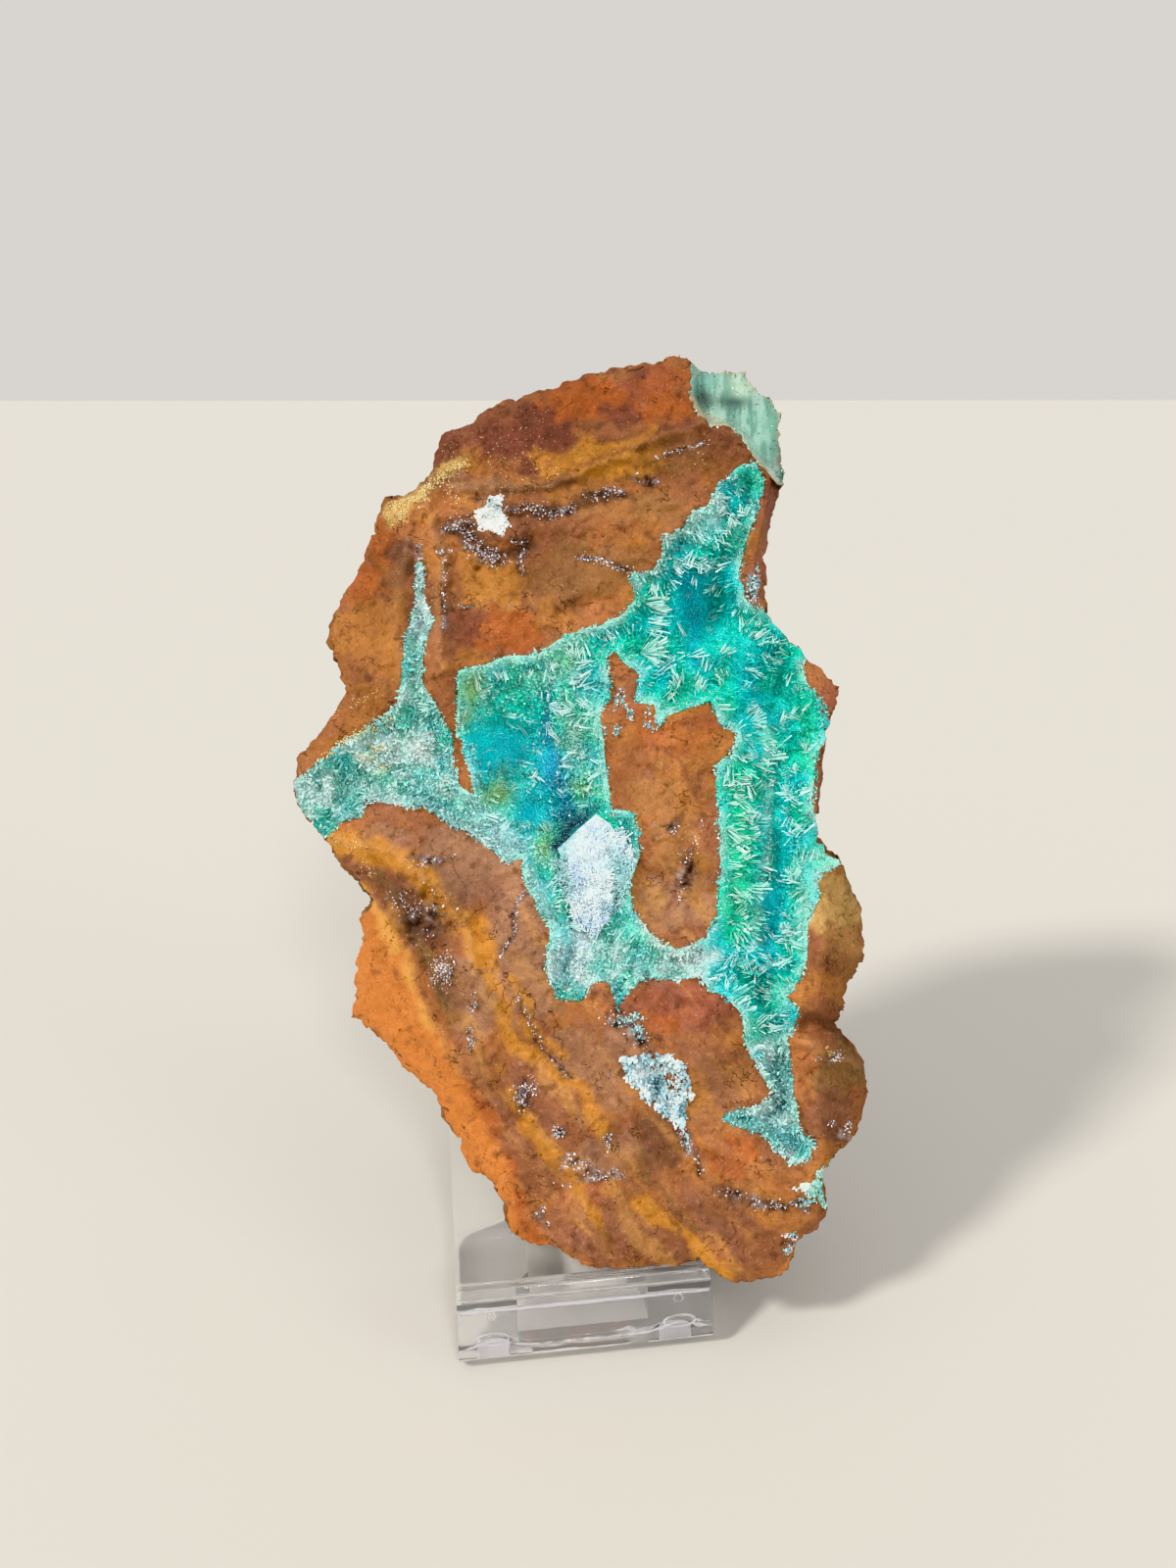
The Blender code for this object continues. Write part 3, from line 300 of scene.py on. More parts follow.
# Sparkling grey druse on the stone: centre u, centre v, spread u, spread v, number of crystals
DRUSE_SPOTS = [
    (-22.3, -29.5, 1.7, 2.2, 210), (-18.0, -35.0, 0.8, 0.9, 40), (-18.7, -39.8, 0.8, 1.4, 60),
    (-10.0, -49.0, 1.2, 2.2, 170), (-4.6, -55.0, 1.0, 0.8, 60), (-2.5, -59.5, 1.9, 0.9, 90),
    (3.0, -55.5, 0.6, 1.1, 40), (0.5, -61.5, 2.8, 1.0, 80), (15.5, -56.5, 0.9, 1.7, 50),
    (-25.0, -12.0, 3.2, 0.9, 60), (-25.5, -21.0, 3.6, 3.2, 110), (-18.7, 27.5, 1.0, 0.3, 18),
    (-22.8, 36.0, 0.8, 0.4, 40), (9.0, 47.5, 2.4, 0.8, 14),
    (15.5, -14.5, 1.4, 4.0, 80), (13.0, -7.0, 0.9, 0.9, 24), (-7.5, -67.5, 1.0, 1.0, 30),
    (38.0, -43.0, 1.1, 1.1, 40), (9.5, 15.0, 1.2, 1.2, 50), (5.0, 14.0, 0.8, 0.8, 20),
    (33.0, -66.0, 1.6, 0.8, 60), (31.5, -72.3, 1.1, 0.9, 60), (40.0, -55.0, 1.0, 1.2, 30),
    (26.0, 30.0, 0.7, 1.6, 90),
]

# Veins of the same druse: path, half width, number of crystals
DRUSE_VEINS = [
    ([(-12.5, 42.7), (-8.6, 42.8), (-5.9, 42.3), (-2.3, 42.8)], 0.5, 170),
    ([(0, 44.8), (5.1, 45.6)], 0.42, 110),
    ([(-22, 39.9), (-18.8, 40.4), (-19.2, 37.9), (-16.9, 36), (-13.3, 34.4)], 0.7, 330),
    ([(-11.8, 37.9), (-9.8, 37.5), (-10.8, 35.2), (-10.4, 32.8)], 0.35, 60),
    ([(10.5, 50.6), (14, 52), (18.5, 53.4)], 0.22, 50),
    ([(-22.5, 24.0), (-23.0, 30.0), (-22.3, 35.0)], 0.16, 50),
    ([(-26.6, 27.0), (-26.6, 36.5)], 0.35, 110),
    ([(-1.6, 35.2), (3.0, 34.4), (6.8, 33.0)], 0.28, 110),
    ([(-9.5, -17.0), (-11.5, -19.0), (-12.0, -24.0), (-13.8, -27.5)], 0.18, 100),
    ([(20.5, -64.0), (26.0, -65.5), (30.5, -66.8)], 0.5, 80),
    ([(-11.0, -34.0), (-7.0, -42.0), (-3.0, -46.5)], 0.3, 60),
    ([(13.5, -54.0), (16.5, -58.0), (18.0, -62.0)], 0.25, 40),
    ([(3.0, -37.0), (6.3, -38.0), (8.8, -40.6)], 0.7, 90),
]

# Teal and white crystals away from the hollow: centre u, centre v, spread u, spread v, number
TEAL_SPOTS = [
    (4.6, 12.6, 0.7, 0.8, 50), (6.4, 11.2, 0.6, 1.0, 40), (9.4, 9.6, 0.4, 1.1, 50),
    (3.4, 8.2, 1.2, 0.7, 40), (25.9, 30.6, 0.6, 1.6, 120), (32.2, -72.6, 0.9, 1.3, 110),
    (34.0, -66.0, 0.8, 0.8, 50), (6.2, -37.2, 0.9, 0.7, 110), (7.6, -39.2, 0.7, 0.9, 90),
    (15.0, -56.0, 0.5, 1.2, 50),
]

# Pale gold grains: centre u, centre v, spread u, spread v, number of grains
GOLD_SPOTS = [
    (-29.8, 42.6, 1.3, 1.3, 420), (-27.0, 44.4, 1.2, 0.6, 220), (-20.0, 46.5, 3.0, 1.6, 70),
    (-12.0, 52.0, 8.0, 4.5, 120), (38.0, -43.0, 1.0, 1.0, 30), (-16.0, 45.0, 8.0, 3.0, 40),
    (-37.0, -9.0, 3.0, 2.0, 50), (-4.0, 50.0, 8.0, 3.0, 40),
]

# Gold grains along edges: path, half width, number of grains
GOLD_VEINS = [
    ([(-31.6, 44.0), (-27.6, 44.8), (-25.6, 46.4), (-22.6, 48.0), (-19.0, 50.0)], 0.45, 620),
    ([(-40.4, 10.4), (-37.4, 12.4), (-33.0, 14.0)], 0.4, 60),
    ([(-40.0, -8.6), (-36.0, -11.4), (-34.0, -15.0)], 0.5, 60),
    ([(-24.6, -27.0), (-22.6, -31.0)], 0.7, 50),
]

# Tints of the crystals: centre u, centre v, spread u, spread v, colour, strength
CRYSTAL_TINTS = [
    (-13.4, 5.6, 6.0, 5.0, Tone.TURQUOISE, 1.0),
    (-6.0, 3.0, 2.8, 4.6, Tone.PETROL, 0.9),
    (-3.4, -4.8, 3.0, 2.6, Tone.PETROL, 0.9),
    # Painted shadow of the white block, beside its upper corner
    (-3.6, -6.4, 3.2, 2.2, Tone.NAVY, 0.7),
    (-9.0, -5.0, 3.6, 3.0, Tone.CYAN, 0.95),
    (-18.2, 14.6, 2.4, 3.2, Tone.OLIVE, 0.9),
    (-19.2, 10.0, 1.4, 2.0, Tone.OLIVE, 0.7),
    (-13.6, 2.4, 1.2, 1.2, Tone.SAGE, 0.6),
    (-14.2, -1.6, 2.8, 2.2, Tone.OLIVE, 0.85),
    (-3.0, 18.6, 2.6, 1.8, Tone.OLIVE, 0.5),
    (-1.0, 0.0, 1.8, 1.8, Tone.OLIVE, 0.6),
    (-1.2, 7.0, 2.6, 6.0, Tone.SAGE, 0.85),
    (-6.0, 16.4, 6.0, 2.2, Tone.SAGE, 0.6),
    (-7.4, -10.6, 1.6, 2.6, Tone.OLIVE, 0.7),
    (17.0, 27.0, 4.2, 6.5, Tone.TURQUOISE, 1.0),
    (24.0, 24.0, 5.0, 5.0, Tone.LAGOON, 0.8),
    (10.5, 30.0, 2.6, 3.0, Tone.EMERALD, 0.7),
    (18.0, 41.0, 2.6, 3.0, Tone.FOAM, 0.9),
    (25.6, 45.0, 1.8, 5.0, Tone.BOTTLE, 0.85),
    (23.4, 38.0, 1.8, 4.0, Tone.BOTTLE, 0.8),
    (31.0, 15.0, 4.0, 6.0, Tone.LAGOON, 0.95),
    (34.5, 8.0, 2.0, 4.0, Tone.EMERALD, 0.8),
    (23.4, -4.0, 2.2, 10.0, Tone.EMERALD, 1.0),
    (23.2, -17.0, 2.0, 6.0, Tone.EMERALD, 0.9),
    (29.6, 0.0, 2.2, 6.0, Tone.LAGOON, 0.8),
    (30.6, -8.0, 1.8, 8.0, Tone.LAGOON, 0.9),
    (28.8, -21.0, 2.0, 6.0, Tone.TURQUOISE, 0.7),
    (27.5, -33.0, 4.0, 4.0, Tone.LAGOON, 0.8),
    (33.5, -18.0, 1.6, 7.0, Tone.MINT, 0.8),
    (-37.0, -1.0, 7.0, 4.0, Tone.AQUA, 0.8),
    (-31.0, 4.0, 5.0, 3.5, Tone.MINT, 0.85),
    (-26.2, 15.0, 2.4, 8.0, Tone.MINT, 0.9),
    (-24.0, -1.0, 4.0, 3.0, Tone.AQUA, 0.7),
    (-36.0, 2.0, 1.4, 1.2, Tone.BOTTLE, 0.8),
    (-39.5, -2.0, 1.3, 1.1, Tone.BOTTLE, 0.8),
    (-34.5, -1.0, 1.2, 1.0, Tone.BOTTLE, 0.7),
    (-29.0, 1.0, 1.2, 1.0, Tone.BOTTLE, 0.6),
    (-41.2, 0.3, 2.0, 1.8, Tone.BOTTLE, 0.75),
    (-36.5, 5.0, 3.0, 2.0, Tone.CYAN, 0.3),
    (-43.5, -3.5, 3.0, 2.5, Tone.BOTTLE, 0.4),
    (30.5, -51.0, 3.5, 4.5, Tone.SLATE, 0.45),
    (-27.0, 5.4, 2.6, 2.6, Tone.SNOW, 0.9),
    (-31.5, 5.5, 1.4, 1.4, Tone.SNOW, 0.6),
    (-25.8, 26.5, 2.2, 4.6, Tone.PEARL, 1.0),
    (-26.6, 33.0, 1.4, 3.0, Tone.PEARL, 0.9),
    (-3.5, -28.0, 3.5, 4.0, Tone.ICE, 0.9),
    (2.5, -29.0, 3.0, 3.0, Tone.AQUA, 0.8),
    (13.0, -28.5, 5.0, 2.4, Tone.FOAM, 0.9),
    (29.0, -52.0, 4.0, 5.5, Tone.ICE, 0.95),
    (29.5, -42.0, 3.0, 6.0, Tone.SAGE, 0.85),
    (6.2, -10.0, 1.6, 6.0, Tone.BOTTLE, 0.6),
    (4.5, -25.0, 5.0, 4.0, Tone.AQUA, 0.85),
    (-0.5, -24.5, 2.0, 1.6, Tone.PETROL, 0.8),
    (-8.0, 20.0, 3.0, 1.6, Tone.LEAF, 0.6),
    (38.0, -11.5, 2.4, 1.8, Tone.MINT, 0.7),
]

# Streaks among the crystals: path, half width, colour, strength
CRYSTAL_STREAKS = [
    ([(27.4, 8), (28.0, 0), (27.6, -8), (26.6, -16), (25.8, -25)], 0.8, Tone.FOAM, 0.7),
    ([(31.4, -1), (30.8, -10), (29.2, -18), (27.6, -27)], 1.1, Tone.TURQUOISE, 0.8),
    ([(-5.6, 14), (-6.6, 9), (-5.2, 3), (-3.0, -3)], 0.9, Tone.PETROL, 0.8),
    ([(14.4, 34), (16.4, 28), (15.6, 22)], 1.2, Tone.CYAN, 0.7),
    ([(9, 33.5), (11.5, 37), (15, 41), (19.5, 45)], 1.2, Tone.FOAM, 0.7),
    ([(-20, 17.6), (-12, 19.2), (-4, 22), (4, 25.4)], 1.1, Tone.MINT, 0.7),
    ([(-34, -3.6), (-26, -4.2), (-19, -7), (-13, -11.0)], 2.2, Tone.ICE, 0.85),
    ([(-20.4, 4), (-19, -2), (-15.5, -6), (-11, -10.4)], 1.6, Tone.ICE, 0.75),
    # Painted shadow of the white block, along its upper-left edge
    ([(-5.8, -10.4), (-2.6, -7.0), (0.8, -3.8)], 1.0, Tone.NAVY, 1.0),
    ([(-9.6, -14), (-6.8, -19), (-5.2, -25), (-5.6, -31)], 0.9, Tone.ICE, 0.8),
    ([(9.0, -20.4), (11, -25.4), (16, -27.6), (20, -27.0)], 1.1, Tone.SNOW, 0.85),
    ([(1.0, -13), (0.0, -17), (-0.4, -20), (-0.8, -23)], 2.4, Tone.SNOW, 0.95),
    ([(-0.8, -26.5), (-1.6, -29.0)], 1.6, Tone.PEARL, 0.9),
]


# Deep smooth parts of the hollow: centre u, centre v, spread u, spread v
CALM_SPOTS = [
    (-14.0, 6.0, 4.6, 4.2), (-9.0, -3.5, 4.0, 3.0), (-7.0, 3.0, 2.2, 4.6), (17.0, 27.0, 3.6, 6.5),
    (22.5, 23.0, 3.5, 3.5), (30.4, -8.0, 1.5, 9.0), (29.0, -21.0, 1.6, 6.0), (26.0, 36.0, 1.5, 5.0),
    (30.5, 13.0, 2.6, 5.0),
]


# Fans of long blades: u and v of the base, heading and opening in degrees, length, number
FANS = [
    (-6.9, 12.6, 85, 8, 2.0, 3), (-5.9, 12.0, -12, 70, 3.2, 18), (-3.9, 3.0, 4, 60, 3.0, 14), (-4.6, -1.0, -10, 60, 2.6, 12),
    (-9.4, -6.4, 215, 50, 3.6, 16), (-12.6, -6.0, 225, 40, 2.6, 8), (-13.7, 16.0, 100, 60, 2.2, 12),
    (-9.6, 16.2, 80, 50, 2.0, 9), (-6.0, 17.4, 80, 90, 2.2, 12), (-2.0, 19.6, 90, 80, 2.4, 14),
    (-16.0, 13.6, 150, 90, 2.0, 12), (-17.6, 5.0, 190, 80, 1.8, 10), (-16.0, -2.0, 200, 90, 2.2, 12),
    (8.6, 20.3, 8, 92, 4.6, 34), (9.4, 28.0, 0, 26, 4.2, 12), (9.8, 26.0, -8, 22, 4.0, 10),
    (9.6, 24.2, -14, 26, 3.6, 10), (11.0, 17.1, 30, 24, 4.4, 5), (14.8, 15.2, 110, 40, 3.0, 5),
    (19.2, 25.8, 30, 16, 3.2, 6), (24.7, 23.4, 40, 15, 2.2, 5), (26.3, 22.2, 22, 14, 3.2, 6),
    (21.4, 16.2, 130, 18, 2.4, 5), (18.4, 17.5, 72, 16, 2.2, 4), (21.2, 20.1, 40, 30, 2.2, 6),
    (25.1, 10.9, 45, 50, 2.8, 12), (25.5, 9.5, 15, 60, 3.0, 13), (33.0, 14.0, 110, 50, 2.0, 8),
    (17.3, 14.4, 75, 34, 2.6, 7), (13.5, 33.0, 60, 80, 2.4, 12), (17.5, 37.5, 70, 90, 2.4, 12),
    (20.5, 42.0, 60, 80, 2.2, 10), (24.4, 42.0, 80, 50, 2.0, 8), (29.0, 18.5, 30, 60, 2.4, 10),
    (30.2, 8.7, 30, 80, 3.0, 14), (26.3, 3.8, 150, 70, 2.6, 12), (31.2, -2.1, 60, 120, 3.0, 16),
    (34.1, 4.8, 80, 80, 2.4, 10), (28.2, -5.0, 200, 70, 2.6, 12), (24.6, -3.0, 160, 60, 2.4, 12),
    (28.2, -13.5, 110, 60, 3.0, 14), (32.2, -15.4, 90, 80, 3.0, 14), (31.2, -24.0, 90, 100, 3.0, 15),
    (24.3, -18.4, 160, 60, 2.5, 12), (26.3, -26.2, 150, 80, 2.6, 12), (28.2, -33.0, 90, 120, 2.2, 13),
    (24.0, -9.0, 170, 50, 2.4, 12), (-25.0, 11.7, 200, 90, 1.8, 9), (-3.6, -25.0, 215, 90, 2.0, 10),
]


def linear(hex_colour: str) -> Array:
    """Linear red, green and blue of an sRGB hex value."""
    srgb = np.array([int(hex_colour[i:i + 2], 16) / 255 for i in (0, 2, 4)])
    return np.where(srgb <= 0.04045, srgb / 12.92, ((srgb + 0.055) / 1.055) ** 2.4)


def rgba(hex_colour: str) -> tuple[float, float, float, float]:
    """Linear colour with alpha 1 for a socket."""
    return (*linear(hex_colour), 1.0)


def eased(x: Array) -> Array:
    """Step from 0 to 1 with soft ends."""
    x = np.clip(x, 0.0, 1.0)
    return x * x * (3.0 - 2.0 * x)


def noise(x: Array, y: Array, seed: float = 0.0) -> Array:
    """Smooth noise between -1 and 1 with one knot per unit.

    Args:
        x: first coordinates.
        y: second coordinates.
        seed: which pattern.

    Returns:
        The noise at each point.
    """
    x0 = np.floor(x)
    y0 = np.floor(y)
    fx = eased(x - x0)
    fy = eased(y - y0)

    def knot(i: int, j: int) -> Array:
        """Random value of one corner of the cell."""
        value = np.sin((x0 + i) * 127.1 + (y0 + j) * 311.7 + seed * 74.7) * 4375.85
        return 2.0 * (value - np.floor(value)) - 1.0

    low = knot(0, 0) * (1 - fx) + knot(1, 0) * fx
    high = knot(0, 1) * (1 - fx) + knot(1, 1) * fx
    return low * (1 - fy) + high * fy


def fractal(x: Array, y: Array, size: float, octaves: int, seed: float, keep: float = 0.5
            ) -> Array:
    """Sum of noises, each half the size of the one before and weaker by a factor.

    Args:
        x: first coordinates.
        y: second coordinates.
        size: size of the coarsest noise.
        octaves: number of noises.
        seed: which pattern.
        keep: strength of each noise against the one before.

    Returns:
        The sum at each point.
    """
    total = np.zeros(np.shape(x))
    for k in range(octaves):
        turn = 0.6 + k
        a = math.cos(turn) * x - math.sin(turn) * y
        b = math.sin(turn) * x + math.cos(turn) * y
        total = total + noise(a * 2 ** k / size, b * 2 ** k / size, seed + 17 * k) * keep ** k
    return total


def distance_to_path(path: Points2, u: Array, v: Array, closed: bool = False) -> Array:
    """Distance from each point to a path.

    Args:
        path: corners of the path.
        u: first coordinates.
        v: second coordinates.
        closed: whether the last corner joins the first.

    Returns:
        Distances, never negative.
    """
    ends = path[1:] + path[:1] if closed else path[1:]
    nearest = np.full(np.shape(u), 1e9)
    for (au, av), (bu, bv) in zip(path, ends):
        du = bu - au
        dv = bv - av
        t = np.clip(((u - au) * du + (v - av) * dv) / (du * du + dv * dv), 0.0, 1.0)
        nearest = np.minimum(nearest, np.hypot(u - au - t * du, v - av - t * dv))
    return nearest


def distance_to_loop(loop: Points2, u: Array, v: Array) -> Array:
    """Distance from each point to a closed loop, positive inside it."""
    inside = np.zeros(np.shape(u), dtype=bool)
    for (au, av), (bu, bv) in zip(loop, loop[1:] + loop[:1]):
        rise = bv - av if bv != av else 1e-9
        inside ^= ((av > v) != (bv > v)) & (u < au + (v - av) * (bu - au) / rise)
    distance = distance_to_path(loop, u, v, closed=True)
    return np.where(inside, distance, -distance)


def grown_loop(loop: Points2, amount: float) -> Points2:
    """Loop moved outwards from its middle by an amount."""
    corners = np.array(loop)
    away = corners - corners.mean(axis=0)
    away = away / np.linalg.norm(away, axis=1)[:, None]
    return [tuple(p) for p in corners + away * amount]


@dataclass
class Easel:
    """Sizes of the easel, in its own frame: x from its middle, y back from its nose, z up."""

    width: float = 40.0
    underside: float = 0.7
    ledge_top: float = 6.9
    lip_lean: float = math.radians(66)
    lip_top_y: float = 3.7
    lip_top_z: float = 12.15
    lip_top_thickness: float = 4.2
    panel_foot_y: float = 24.0
    panel_lean: float = math.radians(64)
    panel_length: float = 62.0
    panel_thickness: float = 4.0
    window_width: float = 16.2
    window_flare: float = 21.0
    window_front_y: float = 8.2
    window_length: float = 51.0
    leg_lean: float = math.radians(17)
    bend_radius: float = 6.0
    foot_flare_top: float = 6.5
    leg_clearance: float = 0.35
    pad_diameter: float = 5.2
    pad_x: float = 14.5
    pad_y: float = 5.4
    foot_pad_diameter: float = 3.6
    foot_pad_x: float = 6.0
    foot_pad_y: float = 63.6

    def __post_init__(self) -> None:
        """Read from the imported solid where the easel's frame lies."""
        low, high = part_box("stand")
        self.origin = np.array([(low.x + high.x) / 2, low.y, 0.0]) / MM

    def panel_face(self, s: float, offset: float = 0.0) -> tuple[float, float]:
        """Point s up the back panel from its foot, offset behind its front face."""
        y = self.panel_foot_y + s * math.cos(self.panel_lean) + offset * math.sin(self.panel_lean)
        z = self.ledge_top + s * math.sin(self.panel_lean) - offset * math.cos(self.panel_lean)
        return y, z


@dataclass
class StoneFrame:
    """Where the stone's face frame stands in the easel's frame."""

    easel: Easel
    origin: tuple[float, float, float] = (3.9, 28.4, 85.7)
    lean: float = math.radians(18.3)
    turn: float = math.radians(7.7)
    flare_length: float = 184.0
    rest_gap: float = 0.3

    def __post_init__(self) -> None:
        """Work out the directions of u, v and w."""
        self.right = np.array([math.cos(self.turn), -math.sin(self.turn), 0.0])
        self.out = np.array([
            -math.sin(self.turn) * math.cos(self.lean),
            -math.cos(self.turn) * math.cos(self.lean),
            math.sin(self.lean),
        ])
        self.up = np.cross(self.out, self.right)

    def place(self, u: Array, v: Array, w: Array) -> Array:
        """Place in the easel's frame; the stone's sides flare behind the face."""
        flare = 1.0 - w / self.flare_length
        return (np.array(self.origin) + (u * flare)[..., None] * self.right
                + (v * flare)[..., None] * self.up + w[..., None] * self.out)

    def direction(self, du: Array, dv: Array, dw: Array) -> Array:
        """World direction of a direction in the face frame."""
        vector = du[..., None] * self.right + dv[..., None] * self.up + dw[..., None] * self.out
        return vector / np.linalg.norm(vector, axis=-1, keepdims=True)

    def settle(self, points: Array) -> Array:
        """Points moved until they clear the easel's panel, ledge and lip."""
        easel = self.easel
        points = np.array(points)
        y, z = easel.panel_face(0.0)
        clear = (math.sin(easel.panel_lean) * (y - points[:, 1])
                 + math.cos(easel.panel_lean) * (points[:, 2] - z))
        behind = np.maximum(0, self.rest_gap + 0.15 - clear)
        near = eased((28 - np.abs(points[:, 0])) / 3.5) * eased((82 - points[:, 2]) / 12)
        points[:, 1] -= behind * near * math.sin(easel.panel_lean)
        points[:, 2] += behind * near * math.cos(easel.panel_lean)

        side = easel.width / 2
        over = np.abs(points[:, 0]) < side + 4
        floor = easel.ledge_top + self.rest_gap
        points[:, 2] = np.where(over, np.maximum(points[:, 2], floor), points[:, 2])

        over = (points[:, 0] > side - 0.4) & (points[:, 0] < side + 2)
        over &= points[:, 2] < easel.lip_top_z
        points[:, 0] = np.where(over, side + 2, points[:, 0])
        over = (np.abs(points[:, 0]) < side + 0.6) & (points[:, 1] < 8.4)
        fall = np.maximum(0, points[:, 1] - easel.lip_top_y) / math.tan(easel.lip_lean)
        lip = easel.lip_top_z + self.rest_gap - fall + 1.1 * (points[:, 0] > side - 3)
        points[:, 2] = np.where(over, np.maximum(points[:, 2], lip), points[:, 2])
        return points


class StoneFace:
    """Height and colour of the stone's broken front."""

    @staticmethod
    def height(u: Array, v: Array) -> Array:
        """Height w of the front before any crystals grew on it.

        Args:
            u: places to the right.
            v: places up.

        Returns:
            Heights in millimetres.
        """
        w = 1.0 * noise(u / 15, v / 15, 1) + 0.45 * noise(u / 5.5, v / 5.5, 2)

        # Broad facets that fall away from the flat middle
        crest = np.interp(u, [-30, -6, 4, 18, 27], [45.5, 46.0, 51.5, 56.5, 50.5])
        w = w - 0.45 * np.maximum(0, v - crest)
        shoulder = np.interp(v, [-8, 3, 12, 20, 34, 46], [-50, -42, -32, -30.5, -29, -27])
        w = w - 0.38 * np.maximum(0, shoulder - u)
        w = w - 0.95 * np.maximum(0, StoneFace.flank(v) - u)
        lobes = np.interp(v, [-62, -56, -50, -38, -28, -14, -10],
                          [37, 36.5, 36, 35, 37, 37.5, 42])
        w = w - 0.9 * np.maximum(0, u - lobes)
        margin = np.interp(v, [-10, 0, 5, 10, 15, 20], [36, 35.5, 35.9, 36.9, 35.3, 33.6])
        w = w - 0.8 * np.maximum(0, u - margin) * (v > -12)

        # Step down to the crystal plate and to the strip of rock below it
        plate = distance_to_loop(EDGE_PLATE, u, v)
        w = w - eased(plate / 1.6) * (4.6 + 0.2 * np.maximum(0, u - 17))
        strip = np.interp(v, [26, 31, 36, 41, 46, 49, 51], [26.2, 26.0, 26.6, 27.4, 28.4, 28.2, 32])
        w = w - 5.5 * eased((u - strip) / 1.4) * (v > 25.5) * (v < 51) * (plate < 0)

        # Diagonal ledges of the lower face and the crease between the two right lobes
        across = 0.78 * u + 0.62 * v
        along = -0.62 * u + 0.78 * v
        ledges = eased((-10 - v) / 12) * eased((26 - u) / 6)
        w = w + 0.8 * ledges * noise(across / 3.6, along / 19, 3)
        crease = np.hypot(u - 36, (v + 38.2) * 2.2)
        w = w - 2.6 * np.exp(-(crease / 3.4) ** 2)

        # The hollow and its pillar, and the lower pockets
        wall = StoneFace.hollow_distance(u, v)
        depth = np.full(np.shape(u), 2.8)
        for cu, cv, su, sv, d in HOLLOW_DEPTHS:
            depth = depth + d * np.exp(-((u - cu) / su) ** 2 - ((v - cv) / sv) ** 2)
        depth = depth * np.where(u < -22, 0.75, 1.0)
        w = w - depth * eased(wall / (1.2 + 0.32 * depth))
        w = w - 3.0 * eased(distance_to_loop(POCKET, u, v) / 2.8)
        w = w - 0.9 * eased(distance_to_loop(WHITE_SPOT, u, v) / 1.5)

        # Broken rim
        rim = distance_to_loop(OUTLINE, u, v)
        return w - 0.8 * (1 - eased(rim / 1.5))

    @staticmethod
    def folds(u: Array, v: Array) -> Array:
        """Ridges and grooves along the folds of the stone."""
        wu = u + 0.6 * fractal(u, v, 3.2, 3, 35)
        wv = v + 0.6 * fractal(u, v, 3.2, 3, 36)
        rise = np.zeros(np.shape(u))
        for path, width, height in FOLDS:
            rise = rise + height * np.exp(-(distance_to_path(path, wu, wv) / width) ** 2)
        return rise

    @staticmethod
    def druse(u: Array, v: Array) -> Array:
        """How far each place lies in a druse of the bare stone, from 0 to 1."""
        wu = u + 0.5 * fractal(u, v, 2.0, 3, 66)
        wv = v + 0.5 * fractal(u, v, 2.0, 3, 67)
        inside = np.zeros(np.shape(u))
        for cu, cv, su, sv, _ in DRUSE_SPOTS:
            bell = np.exp(-((wu - cu) / (1.1 * su)) ** 2 - ((wv - cv) / (1.1 * sv)) ** 2)
            inside = np.maximum(inside, bell)
        for path, width, _ in DRUSE_VEINS:
            near = distance_to_path(path, wu, wv) / (1.8 * width)
            inside = np.maximum(inside, 0.8 * np.exp(-near ** 2))
        return inside

    @staticmethod
    def ruggedness(u: Array, v: Array) -> Array:
        """How rough the stone is broken: 1 on the upper crest and the lobes, low where smooth."""
        rough = 0.42 + 0.5 * eased((v - 42) / 8) + 0.5 * eased((u - 35) / 4) * (v < 0)
        rough = rough + 0.35 * eased((-27 - u) / 5) * (v > 5) + 0.6 * StoneFace.druse(u, v)
        rough = rough - 0.3 * eased((StoneFace.flank(v) - u + 0.5) / 2)
        return np.clip(rough + 0.25 * fractal(u, v, 7, 3, 64), 0.12, 1.0)

    @staticmethod
    def flank(v: Array) -> Array:
        """Where the lower left face turns into the ochre flank, as u at each v."""
        return np.interp(v, [-78, -68, -63, -57, -50, -43, -35, -27, -21, -16, -8],
                         [-6, -11.0, -11.6, -13.5, -17.5, -21.5, -25.5, -28, -31, -35, -46])

    @staticmethod
    def hollow_distance(u: Array, v: Array) -> Array:
        """Distance to the hollow's border, positive in the hollow."""
        return np.minimum(distance_to_loop(HOLLOW, u, v), -distance_to_loop(PILLAR, u, v))

    @staticmethod
    def relief(u: Array, v: Array) -> Array:
        """Fine relief added to the height of the bare stone."""
        broad = fractal(u, v, 7.0, 3, 40)
        rough = fractal(u, v, 2.6, 4, 41)
        across = 0.78 * u + 0.62 * v
        along = -0.62 * u + 0.78 * v
        lower = eased((-8 - v) / 10)
        grooves = (noise(across / 1.15, along / 9, 43) + noise(across / 2.6, along / 14, 44)) * lower
        torn = np.exp(-((u + 25) / 6.5) ** 2 - ((v + 21) / 6) ** 2)
        torn = torn + np.exp(-((u + 12) / 5) ** 2 - ((v + 50) / 7) ** 2)
        torn = torn + np.exp(-((u + 17) / 5) ** 2 - ((v - 36) / 4) ** 2)
        torn = torn + 0.7 * np.exp(-((u - 38) / 5) ** 2 - ((v + 48) / 9) ** 2)
        pits = np.maximum(0, fractal(u, v, 2.2, 3, 47) - 0.35)
        climb = 2.2 * fractal(u + 0.3 * rough, v, 8.0, 4, 48) + 0.12 * (u + v)
        step = climb - np.floor(climb)
        terrace = np.floor(climb) + eased(step * 3.2) - climb
        rise = 0.28 * broad + 0.24 * rough + 0.14 * grooves - 1.2 * torn * pits - 0.35 * pits
        crumbs = eased(1.6 * StoneFace.druse(u, v) - 0.3) * (0.42 * fractal(u, v, 1.1, 3, 65, 0.7) - 0.1)
        return rise + 0.55 * terrace + StoneFace.folds(u, v) + crumbs

